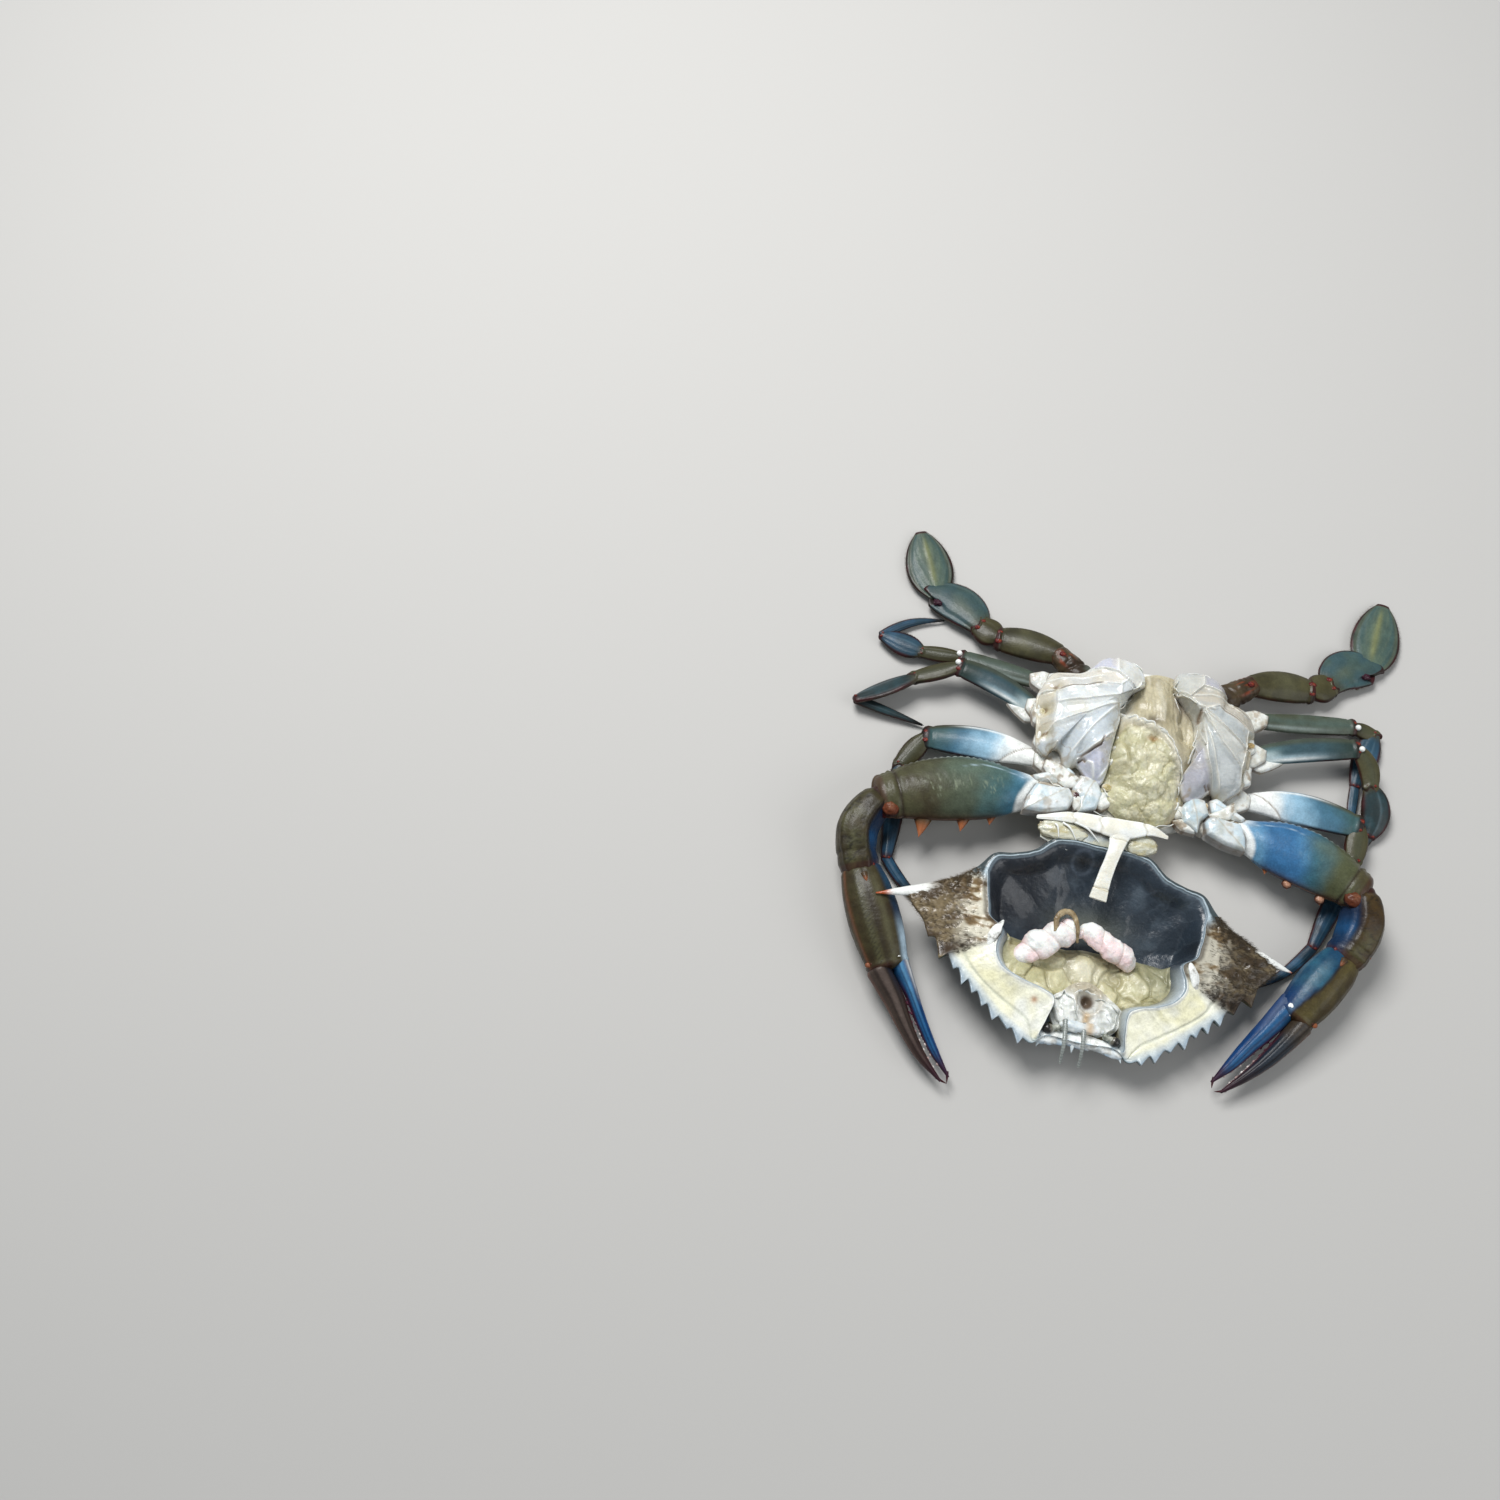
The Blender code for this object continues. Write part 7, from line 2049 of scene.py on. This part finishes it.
def dress_face():
    """The torn-off face: folded, clear flaps beside the brown gap of the mouth, and the bar before it."""
    shape = Shape()
    outline = closed_curve([(u, v, 0) for u, v in FACE_OUTLINE], 300)
    middle = np.array([1.2, -25.5, 0.0])
    shares = np.concatenate([[1.0], np.linspace(1, 0.01, 110)])[:, None, None]
    q = middle + (outline - middle) * shares
    u, v = q[..., 0], q[..., 1]
    gap = np.hypot((u - 1.8) / 3.3, (v + 20.5) / 3.6)
    angle = np.arctan2(v + 22, u - 1.5)
    around = np.hypot(u - 1.5, v + 22)
    folds = np.sin(angle * 9 + fbm(q, 6.0, 181) * 5)
    trough, _ = stroke(q, ((1.6, -20), (1.8, -28.0), (1.5, -35)))
    left_flap, right_flap = blot(q, -6.5, -28, 5.0, 7.0), blot(q, 9.5, -26, 5.2, 6.0)
    z = (12.5 + 3.2 * left_flap + 2.8 * right_flap
         + 0.6 * folds * step(around, 4, 8) * step(shares[..., 0], 1, 0.9) + 1.2 * bell(gap, 1.55, 0.35)
         - 4.6 * bell(gap, 0, 0.9) - 1.2 * bell(trough, 0, 1.8) + 0.6 * fbm(q, 4.5, 183)
         + 0.08 * fbm(q, 1.1, 185) - 2.4 * step(v, -20, -13))
    skin = painted(
        (222, 224, 218), (WHITE, step(fbm(q, 3.0, 187) + 0.4 * folds, -0.4, 0.4)),
        ((184, 188, 182), step(folds, -0.4, -0.95) * step(around, 4, 7) * 0.5),
        ((176, 166, 140), step(v, -21, -15) * 0.85),
        ((178, 168, 146), bell(gap, 1.5, 0.4) * 0.5),
        ((88, 68, 48), step(gap, 1.15, 0.5) * 0.95),
        ((206, 178, 138), bell(trough, 0, 1.5) * step(v, -23, -27) * 0.9))
    crown = shell_place(u, v, z)
    crown[0, :, 2] = 6.0
    shape.grid(crown, skin)
    tree = shape.top()
    for k, line in enumerate(FACE_FRILLS):
        steps = between(line, np.linspace(0, 1, 9))
        steps = middle[:2] + (steps - middle[:2]) * 0.95
        place = shell_place(steps[:, 0], steps[:, 1], 0)
        ground = heights(tree, place[:, 0], place[:, 1], 11.0)
        frill(shape, np.column_stack([place[:, :2], ground]), 1.9 if k < 2 or k in (4, 5) else 1.2,
              tone(206, 208, 200), lean=(k % 3 - 1) * 24, seed=60 + k, thick=0.5)
    # the bar before the mouth, over the shell's front rim
    bar = Limb(shell_path(FACE_BEAM), (2.4, 4.0, 4.4, 2.4), (2.0, 3.2, 3.2, 2.0), rows=80,
               columns=48)
    p = bar.points
    tint = painted(
        (208, 218, 222), (WHITE, step(fbm(p, 2.4, 191), -0.2, 0.5)),
        ((206, 178, 138), bell(bar.t, 0.60, 0.08) * 0.8))
    shape.grid(raised(p, 0.6 * fbm(p, 2.6, 193) + 0.15 * fbm(p, 0.9, 194)), tint)
    for u in FEELER_PLACES:
        line = shell_place(u, *np.array(FEELER_SIDE, float).T)
        whip = Limb(line, (2.4, 1.8, 1.5, 1.1), (2.2, 1.7, 1.4, 1.0), rows=90, columns=18, ends=(0.5, 0.9))
        rings = np.sin(whip.t * 110)
        shape.grid(raised(whip.points, 0.05 * rings),
                   mix(tone(150, 156, 152), tone(112, 118, 114), step(rings, 0, 1)))
    shape.make("face_frame", PALE_SHELL, "white", "face")


def dress_eyes():
    for side, name in ((-1, "eye_left"), (1, "eye_right")):
        root = shell_place(side * EYE_ROOT[0], EYE_ROOT[1], EYE_Z)
        tip = shell_place(side * EYE_TIP[0], EYE_TIP[1], EYE_Z)
        way = unit(tip - root)
        shape = Shape()
        stalk = Limb(bowed(root, root + (tip - root) * 0.75, 0.0), (2.6, 2.2, 2.6, 3.2), (2.6, 2.2, 2.6, 3.0),
                     rows=36, columns=32)
        skin = mix(tone(120, 124, 112), tone(196, 198, 186), step(fbm(stalk.points, 1.6, 195), -0.2, 0.5))
        shape.grid(raised(stalk.points, 0.1 * fbm(stalk.points, 1.2, 197)), skin)

        def tint(q):
            facing = q @ way
            near, _ = cells(q, 0.11, 199)
            return painted(
                (108, 104, 92), ((30, 27, 24), step(facing, -0.45, -0.1)),
                ((58, 54, 46), step(near, 0.5, 0.15) * step(facing, -0.2, 0.1) * 0.6))
        ball(shape, tip - way * 0.4, (2.1, 2.0, 1.9), tint, rows=60, columns=80)
        shape.make(f"{name}_globe", GLOBE, "eye", name)


# The tail flap and the torn membrane

APRON_BAR = ((-40, -38.5, 17.0), (-26, -37.0, 19.0), (-8, -38.5, 19.8), (4, -36.5, 19.0), (12, -37.5, 17.0))
APRON_STEM = ((-7, -39, 19.6), (-8.5, -48, 19.4), (-11, -59, 17.2), (-12.4, -68, 15.4))


def dress_apron():
    shape = Shape()
    bar = Limb(APRON_BAR, (1.6, 5, 8.5, 5, 1.5), (1.2, 2.2, 2.6, 2.2, 1.2), rows=140, columns=48, keen=0.3)
    stem = Limb(APRON_STEM, (10, 5.6, 5.8, 7.2), (2.4, 2.2, 2.0, 2.0), rows=120, columns=48, power=2.6,
                ends=(0.5, 0.2), keen=0.2)
    for piece, seams in ((bar, (0.25, 0.40, 0.72)), (stem, (0.16, 0.83))):
        cut = sum(bell(piece.t + 0.012 * np.sin(piece.s * 3), place, 0.008) for place in seams)
        rim = np.maximum(bell(piece.s, 0.86, 0.12), bell(piece.s, -0.86, 0.12))
        height = (-0.35 * cut + 0.22 * rim * step(piece.u, 0, 0.4) + 0.15 * fbm(piece.points, 5.0, 201)
                  + 0.04 * fbm(piece.points, 1.2, 203))
        skin = painted(
            IVORY, (WHITE, step(fbm(piece.points, 5.0, 205), -0.3, 0.5)),
            (WHITE, rim * 0.7),
            ((176, 166, 138), cut * 0.6),
            ((150, 140, 112), step(piece.u, 0.0, -0.6) * 0.6))
        if piece is stem:
            skin = painted(
                skin, ((222, 220, 208), step(piece.t, 0.83, 0.86) * 0.7),
                ((196, 184, 150), bell(piece.t, 0.845, 0.012) * 0.7))
        shape.grid(raised(piece.points, height), skin)
    for centre, half, seed in (((-29, -42.5, 16.3), (10.5, 4.6, 2.6), 3),
                               ((2, -42.5, 15.8), (7, 4.6, 2.6), 5)):
        def tint(q):
            return painted(
                (206, 206, 188), ((176, 166, 120), step(fbm(q, 0.5, seed), -0.2, 0.6)),
                ((112, 98, 58), step(np.hypot(q[..., 0], q[..., 1]), 0.86, 0.98) * 0.5))
        ball(shape, centre, half, tint, rows=50, columns=90, rough=0.14, seed=seed)
    # thin bristles, like legs, lying on the left lobe
    for x0, y0, x1, y1 in ((-25, -39, -15, -45), (-30, -40, -24, -46), (-33, -41, -31, -46)):
        path = np.array([(x0, y0, 19.4), ((x0 + x1) / 2, (y0 + y1) / 2 + 1, 19.8), (x1, y1, 18.4)])
        thin = Limb(path, (0.9, 0.8, 0.3), (0.9, 0.8, 0.3), rows=40, columns=12)
        shape.grid(thin.points, WHITE)
    membrane_sheet(shape)
    shape.make("tail_flap", PALE_SHELL, "white", "apron")


def membrane_sheet(shape):
    """The torn skin that hangs from the flap's arms over the shell's rear rim."""
    columns, rows = 110, 28
    f = np.linspace(0, 1, columns)
    top = between(((-39, -40.0, 16.8), (-28, -40.0, 18.0), (-16, -41.5, 18.2), (-4, -41.0, 18.0),
                   (8, -40.0, 16.8)), f)
    low = between(((-38, -45.5, 15.4), (-27, -49.0, 16.2), (-17, -48.5, 16.0), (-3, -47.5, 15.8),
                   (6, -45.0, 15.2)), f)
    g = np.linspace(0, 1, rows)[:, None]
    tatter = 1 + 0.20 * fbm(on_plan(f * 40, 0), 5.0, 211)
    upper = top[None] + (low - top)[None] * (g * tatter)[..., None]
    q = upper.copy()
    upper[..., 2] += 0.5 * fbm(q, 4.0, 213) + 0.25 * np.sin(f * 60)[None] * g
    lower = upper[::-1].copy()
    lower[..., 2] -= 0.35
    points = np.concatenate([upper, lower], axis=0)
    tint = painted(
        (206, 206, 186), ((150, 168, 184), step(fbm(q, 6.0, 215), -0.1, 0.5) * 0.8),
        ((134, 112, 66), step(g, 0.35, 0.0) * 0.6 + bell(fbm(q, 5.0, 217), 0.5, 0.2) * 0.4),
        (WHITE, step(g, 0.9, 1.0) * 0.7))
    shape.grid(points.transpose(1, 0, 2), np.concatenate([tint, tint[::-1]], axis=0).transpose(1, 0, 2))


# Camera, light and floor

def plain_material(name, colour, roughness):
    material = bpy.data.materials.new(name)
    material.use_nodes = True
    shader = material.node_tree.nodes["Principled BSDF"]
    shader.inputs["Base Color"].default_value = (*colour, 1.0)
    shader.inputs["Roughness"].default_value = roughness
    return material


FLOOR_REACH = 3.0
FLOOR_COLOUR = (0.50, 0.49, 0.47)
LENS = 36
CAMERA_PLACE = (-0.1158, -0.2593, 0.5898)
CAMERA_TURN = (22, 0, 11)
SKY_COLOUR = (0.86, 0.93, 1.0, 1.0)
SKY_STRENGTH = 0.27
LAMPS = (("key", (-0.45, 0.45, 1.0), 0.55, 15.5), ("fill", (0.9, -0.3, 0.8), 0.8,
                                                   4.2))    # name, place, size, power


def set_stage():
    scene = bpy.context.scene
    scene.view_settings.view_transform = "Standard"
    mesh = bpy.data.meshes.new("floor")
    corners = [(x * FLOOR_REACH, y * FLOOR_REACH, 0) for x, y in ((-1, -1), (1, -1), (1, 1), (-1, 1))]
    mesh.from_pydata(corners, [], [(0, 1, 2, 3)])
    floor = bpy.data.objects.new("floor", mesh)
    mesh.materials.append(plain_material("floor", FLOOR_COLOUR, 0.9))
    scene.collection.objects.link(floor)

    eye = bpy.data.cameras.new("camera")
    eye.lens = eye.sensor_width = LENS
    camera = bpy.data.objects.new("camera", eye)
    camera.location = CAMERA_PLACE
    camera.rotation_euler = [math.radians(angle) for angle in CAMERA_TURN]
    scene.collection.objects.link(camera)
    scene.camera = camera

    world = bpy.data.worlds.new("world")
    world.use_nodes = True
    sky = world.node_tree.nodes["Background"]
    sky.inputs["Color"].default_value = SKY_COLOUR
    sky.inputs["Strength"].default_value = SKY_STRENGTH
    scene.world = world
    for name, place, size, power in LAMPS:
        lamp = bpy.data.lights.new(name, "AREA")
        lamp.size = size
        lamp.energy = power
        light = bpy.data.objects.new(name, lamp)
        light.location = place
        light.rotation_euler = (-Vector(place)).to_track_quat("-Z", "Y").to_euler()
        scene.collection.objects.link(light)


set_stage()
dress_claws()
dress_legs()
dress_thorax()
dress_chamber(-1)
dress_chamber(1)
dress_organs()
dress_shell_organs(dress_shell())
dress_face()
dress_eyes()
dress_apron()
